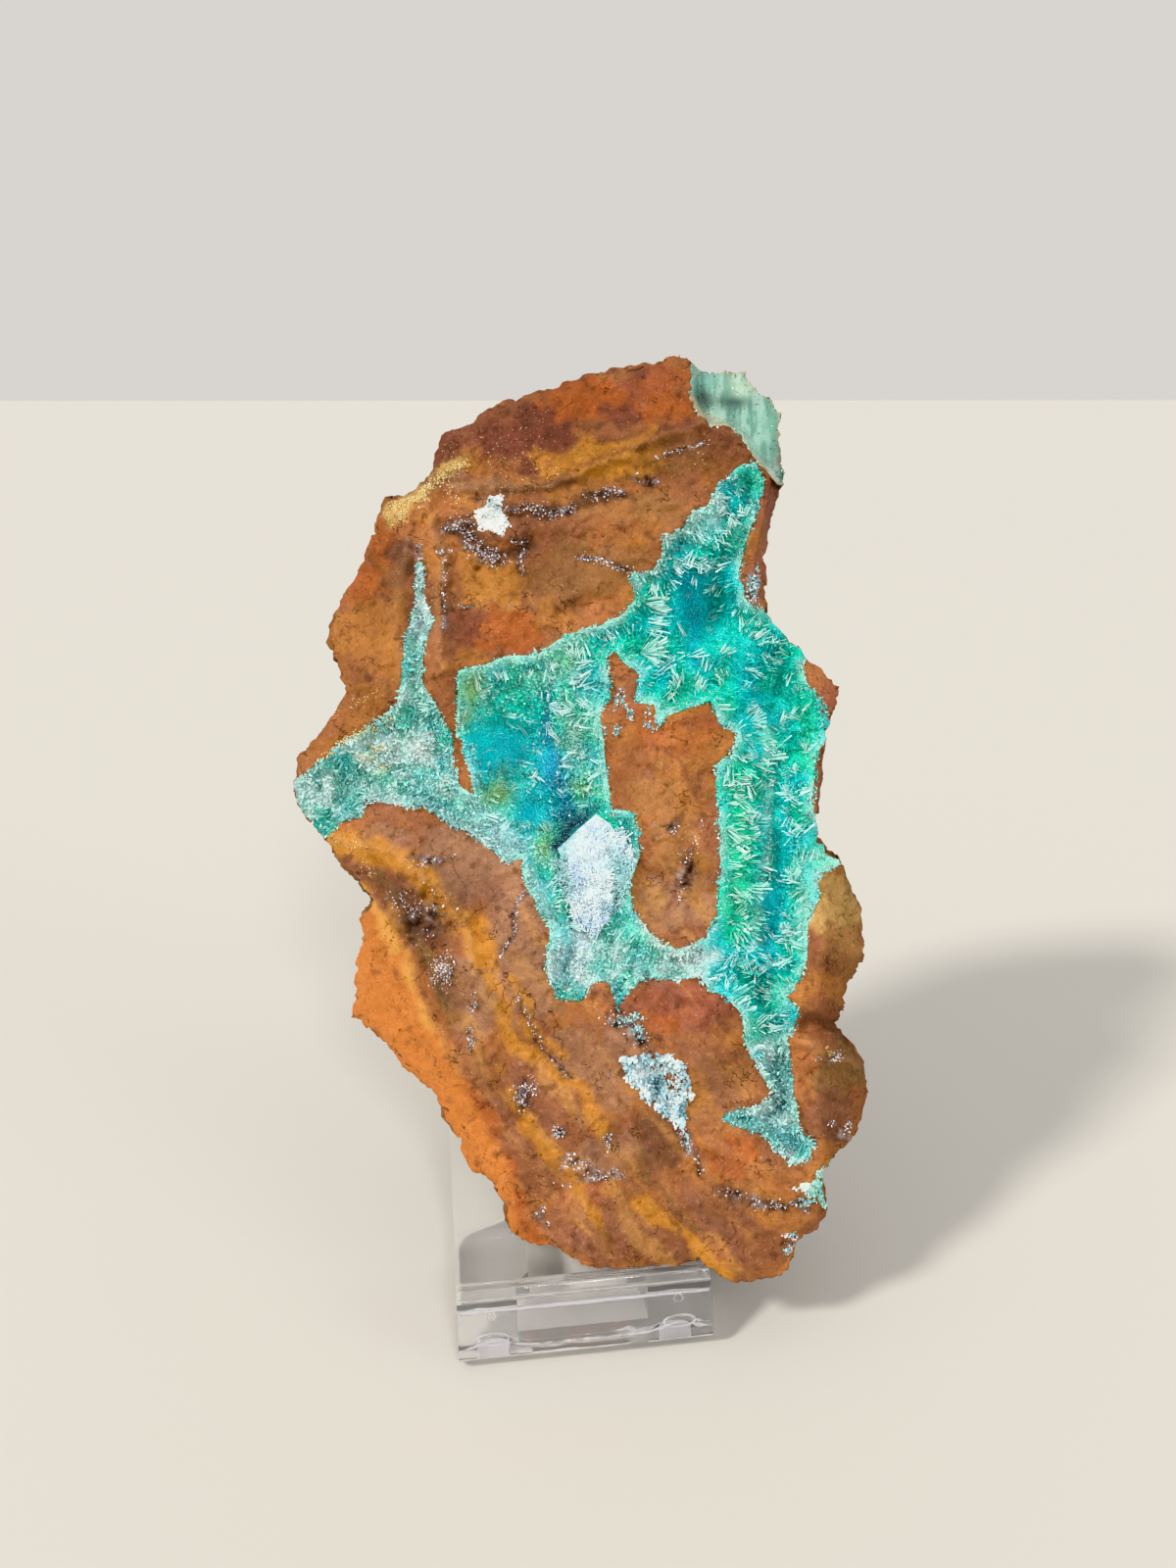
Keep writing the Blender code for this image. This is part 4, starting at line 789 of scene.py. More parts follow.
    @staticmethod
    def colour(u: Array, v: Array) -> Array:
        """Linear colour of the bare stone at each place.

        Args:
            u: places to the right.
            v: places up.

        Returns:
            One row of red, green and blue for each place.
        """
        wu = u + 1.1 * fractal(u, v, 6.5, 4, 51)
        wv = v + 1.1 * fractal(u, v, 6.5, 4, 52)
        colour = np.tile(linear("A66A43"), (len(u), 1))
        patchy = 0.8 * fractal(u, v, 3.2, 5, 50, 0.68)

        def paint(hex_colour: str, mask: Array) -> None:
            """Mix the colour in where the mask is high."""
            nonlocal colour
            colour = colour + np.clip(mask, 0, 1)[:, None] * (linear(hex_colour) - colour)

        paint("855641", 0.7 * eased(0.5 + 0.9 * fractal(u, v, 9, 5, 53)))
        paint("B97B41", 0.6 * eased(fractal(u, v, 5, 4, 54) * 1.4 - 0.1))
        for index, (cu, cv, su, sv, hex_colour, strength) in enumerate(STAINS):
            bell = np.exp(-((wu - cu) / su) ** 2 - ((wv - cv) / sv) ** 2)
            ragged = 0.85 * patchy * (1 if index % 2 else -1)
            paint(hex_colour, strength * eased(3.6 * bell - 1.0 + 1.9 * ragged * np.sqrt(bell)))
        across = 0.78 * wu + 0.62 * wv
        along = -0.62 * wu + 0.78 * wv
        lower = eased((-8 - v) / 10) * eased((30 - u) / 10)
        bands = noise(across / 2.1, along / 17, 55) + 0.6 * noise(across / 0.8, along / 9, 58)
        paint("C08A50", 0.55 * lower * eased(bands * 1.4 - 0.2))
        paint("7E5648", 0.5 * lower * eased(-bands * 1.4 - 0.2))
        for path, width, hex_colour, strength in STREAKS:
            near = distance_to_path(path, wu, wv) / width
            bell = np.exp(-near ** 2)
            paint(hex_colour, strength * eased(1.35 * bell - 0.1 + 0.8 * patchy * np.sqrt(bell)))
        # Ochre flank: its own ochre, painted lighter for the light falling on it from the upper left; darker rust
        # below it
        paint("E4A250", 0.9 * eased((StoneFace.flank(v) - u + 0.6) / 2.0 + 0.3 * patchy))
        paint("B05F32", 0.75 * eased((StoneFace.flank(v) - u - 0.6) / 2.0 - 0.2
                                     + 1.4 * eased((-34 - v) / 8) + 0.8 * fractal(u, v, 4, 3, 59)))
        druse = StoneFace.druse(u, v)
        crumb = fractal(u, v, 1.1, 3, 65, 0.7)
        inside = eased(2.0 * druse - 0.6 + 0.7 * patchy)
        paint("86685C", 0.6 * inside)
        # Painted highlight on the raised crumbs of the druse and painted shade in the pits between them, from the
        # noise of their relief
        paint("C4B4B4", 0.7 * inside * eased(crumb * 2.2 - 0.7))
        paint("2C2428", 0.85 * inside * eased(-crumb * 2.2 - 0.6))
        paint("4A2E25", 0.5 * eased((fractal(u, v, 1.5, 4, 56) - 0.62) * 3))
        # Painted shade in the grooves of the folds and painted highlight on their ridges, following the folds'
        # relief
        fold = StoneFace.folds(u, v)
        paint("5E3E30", 0.45 * eased(-fold * 1.3 - 0.25))
        paint("C99867", 0.25 * eased(fold * 1.3 - 0.3))
        shade = 1 + 0.12 * StoneFace.ruggedness(u, v) * fractal(u, v, 2.0, 5, 57, 0.65)
        return np.clip(colour * shade[:, None] * (1.0, 1.02, 0.99), 0, 1)


def midpoint_refined(flat: Array, faces: Array) -> tuple[Array, Array]:
    """Every triangle split into four at its edges' midpoints.

    Args:
        flat: corner places, one row each.
        faces: three corner indices for each triangle.

    Returns:
        The new corners and triangles.
    """
    edges = np.sort(np.concatenate([faces[:, [0, 1]], faces[:, [1, 2]], faces[:, [2, 0]]]), axis=1)
    unique, inverse = np.unique(edges, axis=0, return_inverse=True)
    inverse = inverse.reshape(-1)
    count = len(faces)
    ab, bc, ca = (inverse[i * count:(i + 1) * count] + len(flat) for i in range(3))
    a, b, c = faces.T
    split = [(a, ab, ca), (ab, b, bc), (ca, bc, c), (ab, bc, ca)]
    return (np.concatenate([flat, flat[unique].mean(axis=1)]),
            np.concatenate([np.stack(corners, axis=1) for corners in split]))


def rim_edges(faces: Array) -> Array:
    """Edges used by one triangle only, in that triangle's direction."""
    edges = np.concatenate([faces[:, [0, 1]], faces[:, [1, 2]], faces[:, [2, 0]]])
    span = int(edges.max()) + 1
    forward = edges[:, 0].astype(np.int64) * span + edges[:, 1]
    backward = edges[:, 1].astype(np.int64) * span + edges[:, 0]
    return edges[~np.isin(forward, backward)]


class FaceSheet:
    """Triangles over the stone's outline with edges along every region's outline."""

    def __init__(self, spacing: float, seed: int) -> None:
        """Triangulate the face.

        Args:
            spacing: distance between the coarse points.
            seed: seed of their jitter.
        """
        loops = [OUTLINE, HOLLOW, PILLAR, BLOCK, grown_loop(BLOCK, 0.7), EDGE_PLATE, POCKET,
                 WHITE_SPOT, CORNER_SPOT]
        rng = np.random.default_rng(seed)
        rows = np.arange(-80, 70, spacing * 0.87)
        fill = np.array([(c + (i % 2) * spacing / 2, row) for i, row in enumerate(rows)
                         for c in np.arange(-48, 46, spacing)])
        fill = fill + rng.uniform(-0.2, 0.2, fill.shape) * spacing
        keep = distance_to_loop(OUTLINE, *fill.T) > 0.4 * spacing
        for loop in loops[1:]:
            keep &= np.abs(distance_to_loop(loop, *fill.T)) > 0.4 * spacing
        points = [Vector(p) for loop in loops for p in loop] + [Vector(p) for p in fill[keep]]
        edges = []
        first = 0
        for loop in loops:
            edges += [(first + i, first + (i + 1) % len(loop)) for i in range(len(loop))]
            first += len(loop)
        flat, _, faces, *_ = delaunay_2d_cdt(points, edges, [], 0, 0.02)
        self.flat = np.array([tuple(p) for p in flat])
        self.faces = np.array([tuple(f) for f in faces])
        middle = self.flat[self.faces].mean(axis=1)
        self.faces = self.faces[distance_to_loop(OUTLINE, *middle.T) > 0]

    def region(self, loop: Points2, holes: list[Points2], levels: int) -> tuple[Array, Array]:
        """Refined triangles of one region.

        Args:
            loop: the region's outline.
            holes: outlines left out of it.
            levels: how often each triangle is split into four.

        Returns:
            Corners and triangles, without unused corners.
        """
        middle = self.flat[self.faces].mean(axis=1)
        chosen = distance_to_loop(loop, *middle.T) > 0
        for hole in holes:
            chosen &= distance_to_loop(hole, *middle.T) < 0
        used, faces = np.unique(self.faces[chosen], return_inverse=True)
        flat, faces = self.flat[used], faces.reshape(-1, 3)
        for _ in range(levels):
            flat, faces = midpoint_refined(flat, faces)
        return flat, faces


def roughened(flat: Array, amount: float = 1.0) -> tuple[Array, Array]:
    """Places nudged by fine noise, so that outlines look broken and not cut."""
    u, v = flat.T
    amount = 0.2 * (amount + 0.5 * np.exp(-(distance_to_loop(OUTLINE, u, v) / 1.2) ** 2))
    return (u + amount * fractal(u, v, 1.5, 4, 61, 0.8),
            v + amount * fractal(u, v, 1.5, 4, 62, 0.8))


class Workshop:
    """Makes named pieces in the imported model's frame."""

    def __init__(self, easel: Easel) -> None:
        """Keep the easel's place.

        Args:
            easel: the easel whose frame the points are in.
        """
        self.origin = easel.origin

    def piece(self, name: str, points: Array, faces: list | Array, material: bpy.types.Material,
              colours: Array | None = None, smooth: bool = True, mend: bool = True
              ) -> bpy.types.Object:
        """New object from points in the easel's frame.

        Args:
            name: the piece's name.
            points: corners in millimetres.
            faces: corner indices of each face.
            material: its material.
            colours: linear colour of each corner, kept as the attribute tint; a fourth column is
                kept as its alpha.
            smooth: whether faces are shaded smooth.
            mend: whether normals are turned outwards.

        Returns:
            The object.
        """
        mesh = bpy.data.meshes.new(name)
        world = (np.asarray(points) + self.origin) * MM
        mesh.from_pydata(world.tolist(), [], np.asarray(faces).tolist()
                         if isinstance(faces, np.ndarray) else faces)
        if mend:
            work = bmesh.new()
            work.from_mesh(mesh)
            bmesh.ops.recalc_face_normals(work, faces=work.faces)
            work.to_mesh(mesh)
            work.free()
        if colours is not None:
            tint = mesh.attributes.new("tint", "FLOAT_COLOR", "POINT")
            whole = np.column_stack([colours, np.ones(len(colours))])[:, :4]
            tint.data.foreach_set("color", whole.ravel())
        mesh.polygons.foreach_set("use_smooth", np.full(len(mesh.polygons), smooth))
        mesh.materials.append(material)
        new = bpy.data.objects.new(name, mesh)
        bpy.context.scene.collection.objects.link(new)
        return new


class Limonite:
    """The brown rock: finely broken front, rough sides and back."""

    EDGE_DEPTH = 20.0
    THICKNESS = 31.0
    RINGS = 15

    def __init__(self, sheet: FaceSheet, stone: StoneFrame, shop: Workshop) -> None:
        """Keep what the rock is built from.

        Args:
            sheet: triangles of the face.
            stone: the stone's frame.
            shop: where pieces are made.
        """
        self.sheet = sheet
        self.stone = stone
        self.shop = shop

    def build(self, material: bpy.types.Material) -> bpy.types.Object:
        """Make the rock as one closed mesh.

        Args:
            material: the rock's material.

        Returns:
            The rock.
        """
        flat, faces = self.sheet.flat, self.sheet.faces
        used, faces = np.unique(faces, return_inverse=True)
        flat, faces = flat[used], faces.reshape(-1, 3)
        for _ in range(3):
            flat, faces = midpoint_refined(flat, faces)
        u, v = roughened(flat)
        w = StoneFace.height(u, v)
        bare = 1 - eased(StoneFace.hollow_distance(u, v) / 0.8 + 0.5)
        w = w + bare * StoneFace.relief(u, v) * (0.4 + 0.6 * eased(distance_to_loop(OUTLINE, u, v) / 2))
        points = [self.stone.place(u, v, w)]
        colours = [StoneFace.colour(u, v)]
        tris = [faces]
        total = len(flat)

        follow = dict(rim_edges(faces).tolist())
        ring = [next(iter(follow))]
        while follow[ring[-1]] != ring[0]:
            ring.append(follow[ring[-1]])
        ring = np.array(ring)
        self.rim_count = len(ring)
        ring_u, ring_v, ring_w = u[ring], v[ring], w[ring]
        previous = ring
        for k in range(1, self.RINGS + 1):
            share = k / self.RINGS
            side_u, side_v, side_w = self.side_ring(ring_u, ring_v, ring_w, share)
            points.append(self.stone.settle(self.stone.place(side_u, side_v, side_w)))
            colours.append(self.side_colour(ring_u, ring_v, share))
            current = np.arange(total, total + len(ring))
            total += len(ring)
            ahead = np.roll(current, -1)
            before = np.roll(previous, -1)
            tris.append(np.stack([previous, before, ahead], axis=1))
            tris.append(np.stack([previous, ahead, current], axis=1))
            previous = current

        back, back_colours, back_faces = self.back(side_u, side_v, previous, total)
        points.append(back)
        colours.append(back_colours)
        tris.append(back_faces)
        whole = np.concatenate(points)
        rugged = np.ones(len(whole))
        rugged[:len(flat)] = StoneFace.ruggedness(u, v)
        rock = self.shop.piece("limonite_matrix", whole, np.concatenate(tris), material,
                               np.column_stack([np.concatenate(colours), rugged]))
        self.break_sides(rock, len(flat))
        return rock

    def side_ring(self, u: Array, v: Array, w: Array, share: float) -> tuple[Array, Array, Array]:
        """One ring round the side walls.

        Args:
            u: places of the rim.
            v: places of the rim.
            w: heights of the rim.
            share: share of the edge depth, from 0 to 1.

        Returns:
            The ring in the face frame.
        """
        shares = [0.0, 0.2, 0.45, 0.75, 1.0]
        size = np.interp(share, shares, [1.0, 0.992, 0.975, 0.945, 0.90])
        drop = np.interp(share, shares, [0.0, 0.0, 3.1, 3.1, 1.5])
        rough = noise(u / 6, v / 6 + 9 * share, 5) * eased(np.array(share / 0.5))
        depth = self.EDGE_DEPTH * share * (1 + 0.12 * rough)
        side_u = u * (size + 0.012 * rough)
        side_v = -5 + (v + 5) * (size + 0.012 * rough)
        foot = eased((u - 3.5) / 2) * eased((18 - u) / 2) * (v < -70)
        keep = w * (1 - share)
        return side_u, side_v - foot * drop, np.where(w < 0, keep, w * max(0, 1 - 5 * share)) - depth

    def side_colour(self, u: Array, v: Array, share: float) -> Array:
        """Colour of one ring of the side walls: ochre crust over darker rock."""
        colour = StoneFace.colour(u * (1 - 0.1 * share) + 9 * share, v + 7 * share)
        ochre = eased(0.5 + 0.8 * fractal(u / 1.0, v + 30 * share, 7, 3, 71))
        dark = eased(fractal(u, v - 40 * share, 4, 3, 72) - 0.1)
        colour = colour + (0.55 * ochre)[:, None] * (linear("B77C3F") - colour)
        return colour + (0.5 * dark)[:, None] * (linear("6C4030") - colour)

    def back(self, ring_u: Array, ring_v: Array, ring: Array, first: int
             ) -> tuple[Array, Array, Array]:
        """The rough back inside the last ring.

        Args:
            ring_u: places of the last ring.
            ring_v: places of the last ring.
            ring: its corner indices.
            first: index of the first new corner.

        Returns:
            New corners, their colours, and triangles.
        """
        rng = np.random.default_rng(7)
        step = 0.95
        grid = np.array([(a + (j % 2) * step / 2, b)
                         for j, b in enumerate(np.arange(-78, 66, step * 0.87))
                         for a in np.arange(-46, 44, step)])
        grid = grid + rng.uniform(-0.25, 0.25, grid.shape) * step
        loop = [tuple(p) for p in zip(ring_u, ring_v)]
        rim = distance_to_loop(loop, *grid.T)
        grid = grid[rim > 0.8]
        edges = [(i, (i + 1) % len(loop)) for i in range(len(loop))]
        corners = [Vector(p) for p in loop] + [Vector(p) for p in grid]
        spread, _, faces, *_ = delaunay_2d_cdt(corners, edges, [], 0, 1e-6)
        spread = np.array([tuple(p) for p in spread])
        faces = np.array([tuple(f) for f in faces])
        middle = spread[faces].mean(axis=1)
        faces = faces[distance_to_loop(loop, *middle.T) > 0]
        gu, gv = spread[len(loop):].T
        rim = distance_to_loop(loop, gu, gv)
        bulge = self.THICKNESS + 3.2 * noise(gu / 21, gv / 21, 6) + 1.3 * noise(gu / 7, gv / 7, 7)
        gw = -(self.EDGE_DEPTH + (bulge - self.EDGE_DEPTH) * eased(rim / 13))
        gw = gw + 1.3 * eased(rim / 3) * StoneFace.relief(gu + 110, gv - 60)
        points = self.stone.settle(self.stone.place(gu, gv, gw))
        index = np.concatenate([ring, np.arange(first, first + len(points))])
        colour = self.side_colour(gu, gv, 1.4)
        for seed, hex_colour in ((73, "C58B45"), (74, "6B3B30"), (75, "A8623A"), (76, "A58A6C")):
            patch = eased(1.5 * fractal(gu, gv, 13, 6, seed, 0.62) - 0.35)
            colour = colour + (0.75 * patch)[:, None] * (linear(hex_colour) - colour)
        return points, colour, index[faces]

    def break_sides(self, rock: bpy.types.Object, front: int) -> None:
        """Move the corners of sides and back along their normals into flat broken facets.

        Args:
            rock: the rock.
            front: number of corners of the front, which stay.
        """
        mesh = rock.data
        count = len(mesh.vertices)
        places = np.zeros(count * 3)
        normals = np.zeros(count * 3)
        mesh.vertices.foreach_get("co", places)
        mesh.vertices.foreach_get("normal", normals)
        places = places.reshape(-1, 3) / MM - self.shop.origin
        normals = normals.reshape(-1, 3)
        rng = np.random.default_rng(19)
        chips = rng.uniform([-45, -5, 0], [55, 80, 155], (900, 3))
        tilts = rng.normal(0, 0.34, (900, 3))
        moved = places.copy()
        side = places[front:]
        lift = np.zeros(len(side))
        for first in range(0, len(side), 2000):
            block = side[first:first + 2000]
            apart = block[:, None, :] - chips[None, :, :]
            nearest = np.argmin((apart ** 2).sum(axis=2), axis=1)
            rows = np.arange(len(block))
            lift[first:first + 2000] = (apart[rows, nearest] * tilts[nearest]).sum(axis=1)
        x, y, z = side.T
        grit = 0.32 * fractal(x + 0.7 * y, z - 0.4 * y, 3.0, 4, 81, 0.6)
        fade = np.ones(len(side))
        rings = np.arange(self.RINGS * self.rim_count) // self.rim_count
        fade[:len(rings)] = eased((rings + 0.5) / 6)
        moved[front:] += (normals[front:] * fade[:, None]
                          * (np.clip(lift, -1.6, 1.2) * 0.8 + grit)[:, None])
        moved[front:] = self.stone.settle(moved[front:])
        mesh.vertices.foreach_set("co", ((moved + self.shop.origin) * MM).ravel())
        mesh.update()


class Shape(Enum):
    """Forms of one crystal: sides, thickness against width, share below the tip, tip offset."""

    NEEDLE = (4, 0.75, 0.93, 0.12)
    BLADE = (4, 0.42, 0.94, 0.30)
    GRAIN = (4, 0.80, 0.50, 0.12)
    SPIKE = (3, 0.87, 0.0, 0.0)

    def mesh(self) -> bpy.types.Mesh:
        """Crystal one unit wide and one unit long along Z, with its height kept as along."""
        sides, flatness, shoulder, offset = self.value
        levels = [0.0, shoulder] if shoulder else [0.0]
        points = []
        for z in levels:
            for k in range(sides):
                angle = math.tau * k / sides
                points.append((math.cos(angle) / 2, math.sin(angle) / 2 * flatness, z))
        points.append((offset, 0.0, 1.0))
        tip = len(points) - 1
        faces = [tuple(reversed(range(sides)))]
        last = (len(levels) - 1) * sides
        for k in range(sides):
            ahead = (k + 1) % sides
            if last:
                faces.append((k, ahead, ahead + sides, k + sides))
            faces.append((last + k, last + ahead, tip))
        mesh = bpy.data.meshes.new(self.name.lower())
        mesh.from_pydata(points, [], faces)
        along = mesh.attributes.new("along", "FLOAT", "POINT")
        along.data.foreach_set("value", [p[2] for p in points])
        return mesh


def add(tree: bpy.types.NodeTree, kind: str, inputs: dict | None = None, **settings: object
        ) -> bpy.types.Node:
    """Add a node with its settings and links.

    Args:
        tree: the tree it joins.
        kind: the node's type.
        inputs: values or sockets for its inputs, by name or index.
        **settings: its own settings.

    Returns:
        The node.
    """
    node = tree.nodes.new(kind)
    for key, value in settings.items():
        setattr(node, key, value)
    for key, value in (inputs or {}).items():
        if isinstance(value, bpy.types.NodeSocket):
            tree.links.new(value, node.inputs[key])
        else:
            node.inputs[key].default_value = value
    return node


class CrystalGrower:
    """Geometry Nodes that stand one crystal on every point of a mesh."""

    def __init__(self, shop: Workshop, stone: StoneFrame) -> None:
        """Build the shared tree.

        Args:
            shop: where pieces are made.
            stone: the stone's frame.
        """
        self.shop = shop
        self.stone = stone
        self.tree = bpy.data.node_groups.new("crystals_on_points", "GeometryNodeTree")
        interface = self.tree.interface
        interface.new_socket("Points", in_out="INPUT", socket_type="NodeSocketGeometry")
        for name, kind in (("Crystal", "NodeSocketObject"), ("Material", "NodeSocketMaterial"),
                           ("Size", "NodeSocketFloat"), ("Seed", "NodeSocketInt")):
            interface.new_socket(name, in_out="INPUT", socket_type=kind)
        interface.new_socket("Crystals", in_out="OUTPUT", socket_type="NodeSocketGeometry")
        tree = self.tree
        given = add(tree, "NodeGroupInput")
        grow = add(tree, "GeometryNodeInputNamedAttribute", {"Name": "grow"},
                   data_type="FLOAT_VECTOR")
        reach = add(tree, "GeometryNodeInputNamedAttribute", {"Name": "reach"}, data_type="FLOAT")
        girth = add(tree, "GeometryNodeInputNamedAttribute", {"Name": "girth"}, data_type="FLOAT")
        lean = add(tree, "FunctionNodeAlignRotationToVector", {"Vector": grow.outputs["Attribute"]},
                   axis="Z")
        spin = add(tree, "FunctionNodeRandomValue", {"Max": math.tau, "Seed": given.outputs["Seed"]},
                   data_type="FLOAT")
        twist = add(tree, "FunctionNodeAxisAngleToRotation",
                    {"Axis": (0.0, 0.0, 1.0), "Angle": spin.outputs["Value"]})
        turn = add(tree, "FunctionNodeRotateRotation",
                   {"Rotation": lean.outputs["Rotation"], "Rotate By": twist.outputs["Rotation"]},
                   rotation_space="LOCAL")
        size = add(tree, "ShaderNodeCombineXYZ",
                   {"X": girth.outputs["Attribute"], "Y": girth.outputs["Attribute"],
                    "Z": reach.outputs["Attribute"]})
        scale = add(tree, "ShaderNodeVectorMath",
                    {0: size.outputs["Vector"], "Scale": given.outputs["Size"]}, operation="SCALE")
        crystal = add(tree, "GeometryNodeObjectInfo", {"Object": given.outputs["Crystal"]})
        stand = add(tree, "GeometryNodeInstanceOnPoints",
                    {"Points": given.outputs["Points"], "Instance": crystal.outputs["Geometry"],
                     "Rotation": turn.outputs["Rotation"], "Scale": scale.outputs["Vector"]})
        real = add(tree, "GeometryNodeRealizeInstances",
                   {"Geometry": stand.outputs["Instances"]})
        dressed = add(tree, "GeometryNodeSetMaterial",
                      {"Geometry": real.outputs["Geometry"],
                       "Material": given.outputs["Material"]})
        add(tree, "NodeGroupOutput", {"Crystals": dressed.outputs["Geometry"]})

    def grow(self, name: str, shape: Shape, material: bpy.types.Material, places: Array,
             directions: Array, reach: Array, girth: Array, tint: Array, seed: int
             ) -> bpy.types.Object:
        """Grow one population of crystals as a plain mesh.

        Args:
            name: the piece's name.
            shape: the form of one crystal.
            material: their material.
            places: their feet in the easel's frame.
            directions: where each points.
            reach: their lengths.
            girth: their widths.
            tint: their linear colours.
            seed: seed of their spin.

        Returns:
            The piece.
        """
        piece = self.shop.piece(name, places, [], material, tint, mend=False)
        for key, kind, field_name, values in (
                ("grow", "FLOAT_VECTOR", "vector", directions),
                ("reach", "FLOAT", "value", reach),
                ("girth", "FLOAT", "value", girth)):
            attribute = piece.data.attributes.new(key, kind, "POINT")
            attribute.data.foreach_set(field_name, np.ascontiguousarray(values, dtype=float).ravel())
        template = bpy.data.objects.new(shape.name.lower(), shape.mesh())
        bpy.context.scene.collection.objects.link(template)
        step = piece.modifiers.new("crystals", "NODES")
        step.node_group = self.tree
        values = {"Crystal": template, "Material": material, "Size": MM, "Seed": seed}
        for item in self.tree.interface.items_tree:
            if item.name in values and item.in_out == "INPUT":
                step[item.identifier] = values[item.name]
        depsgraph = bpy.context.evaluated_depsgraph_get()
        mesh = bpy.data.meshes.new_from_object(piece.evaluated_get(depsgraph),
                                               preserve_all_data_layers=True, depsgraph=depsgraph)
        piece.modifiers.clear()
        piece.data = mesh
        mesh.name = name
        bpy.data.objects.remove(template)
        return piece


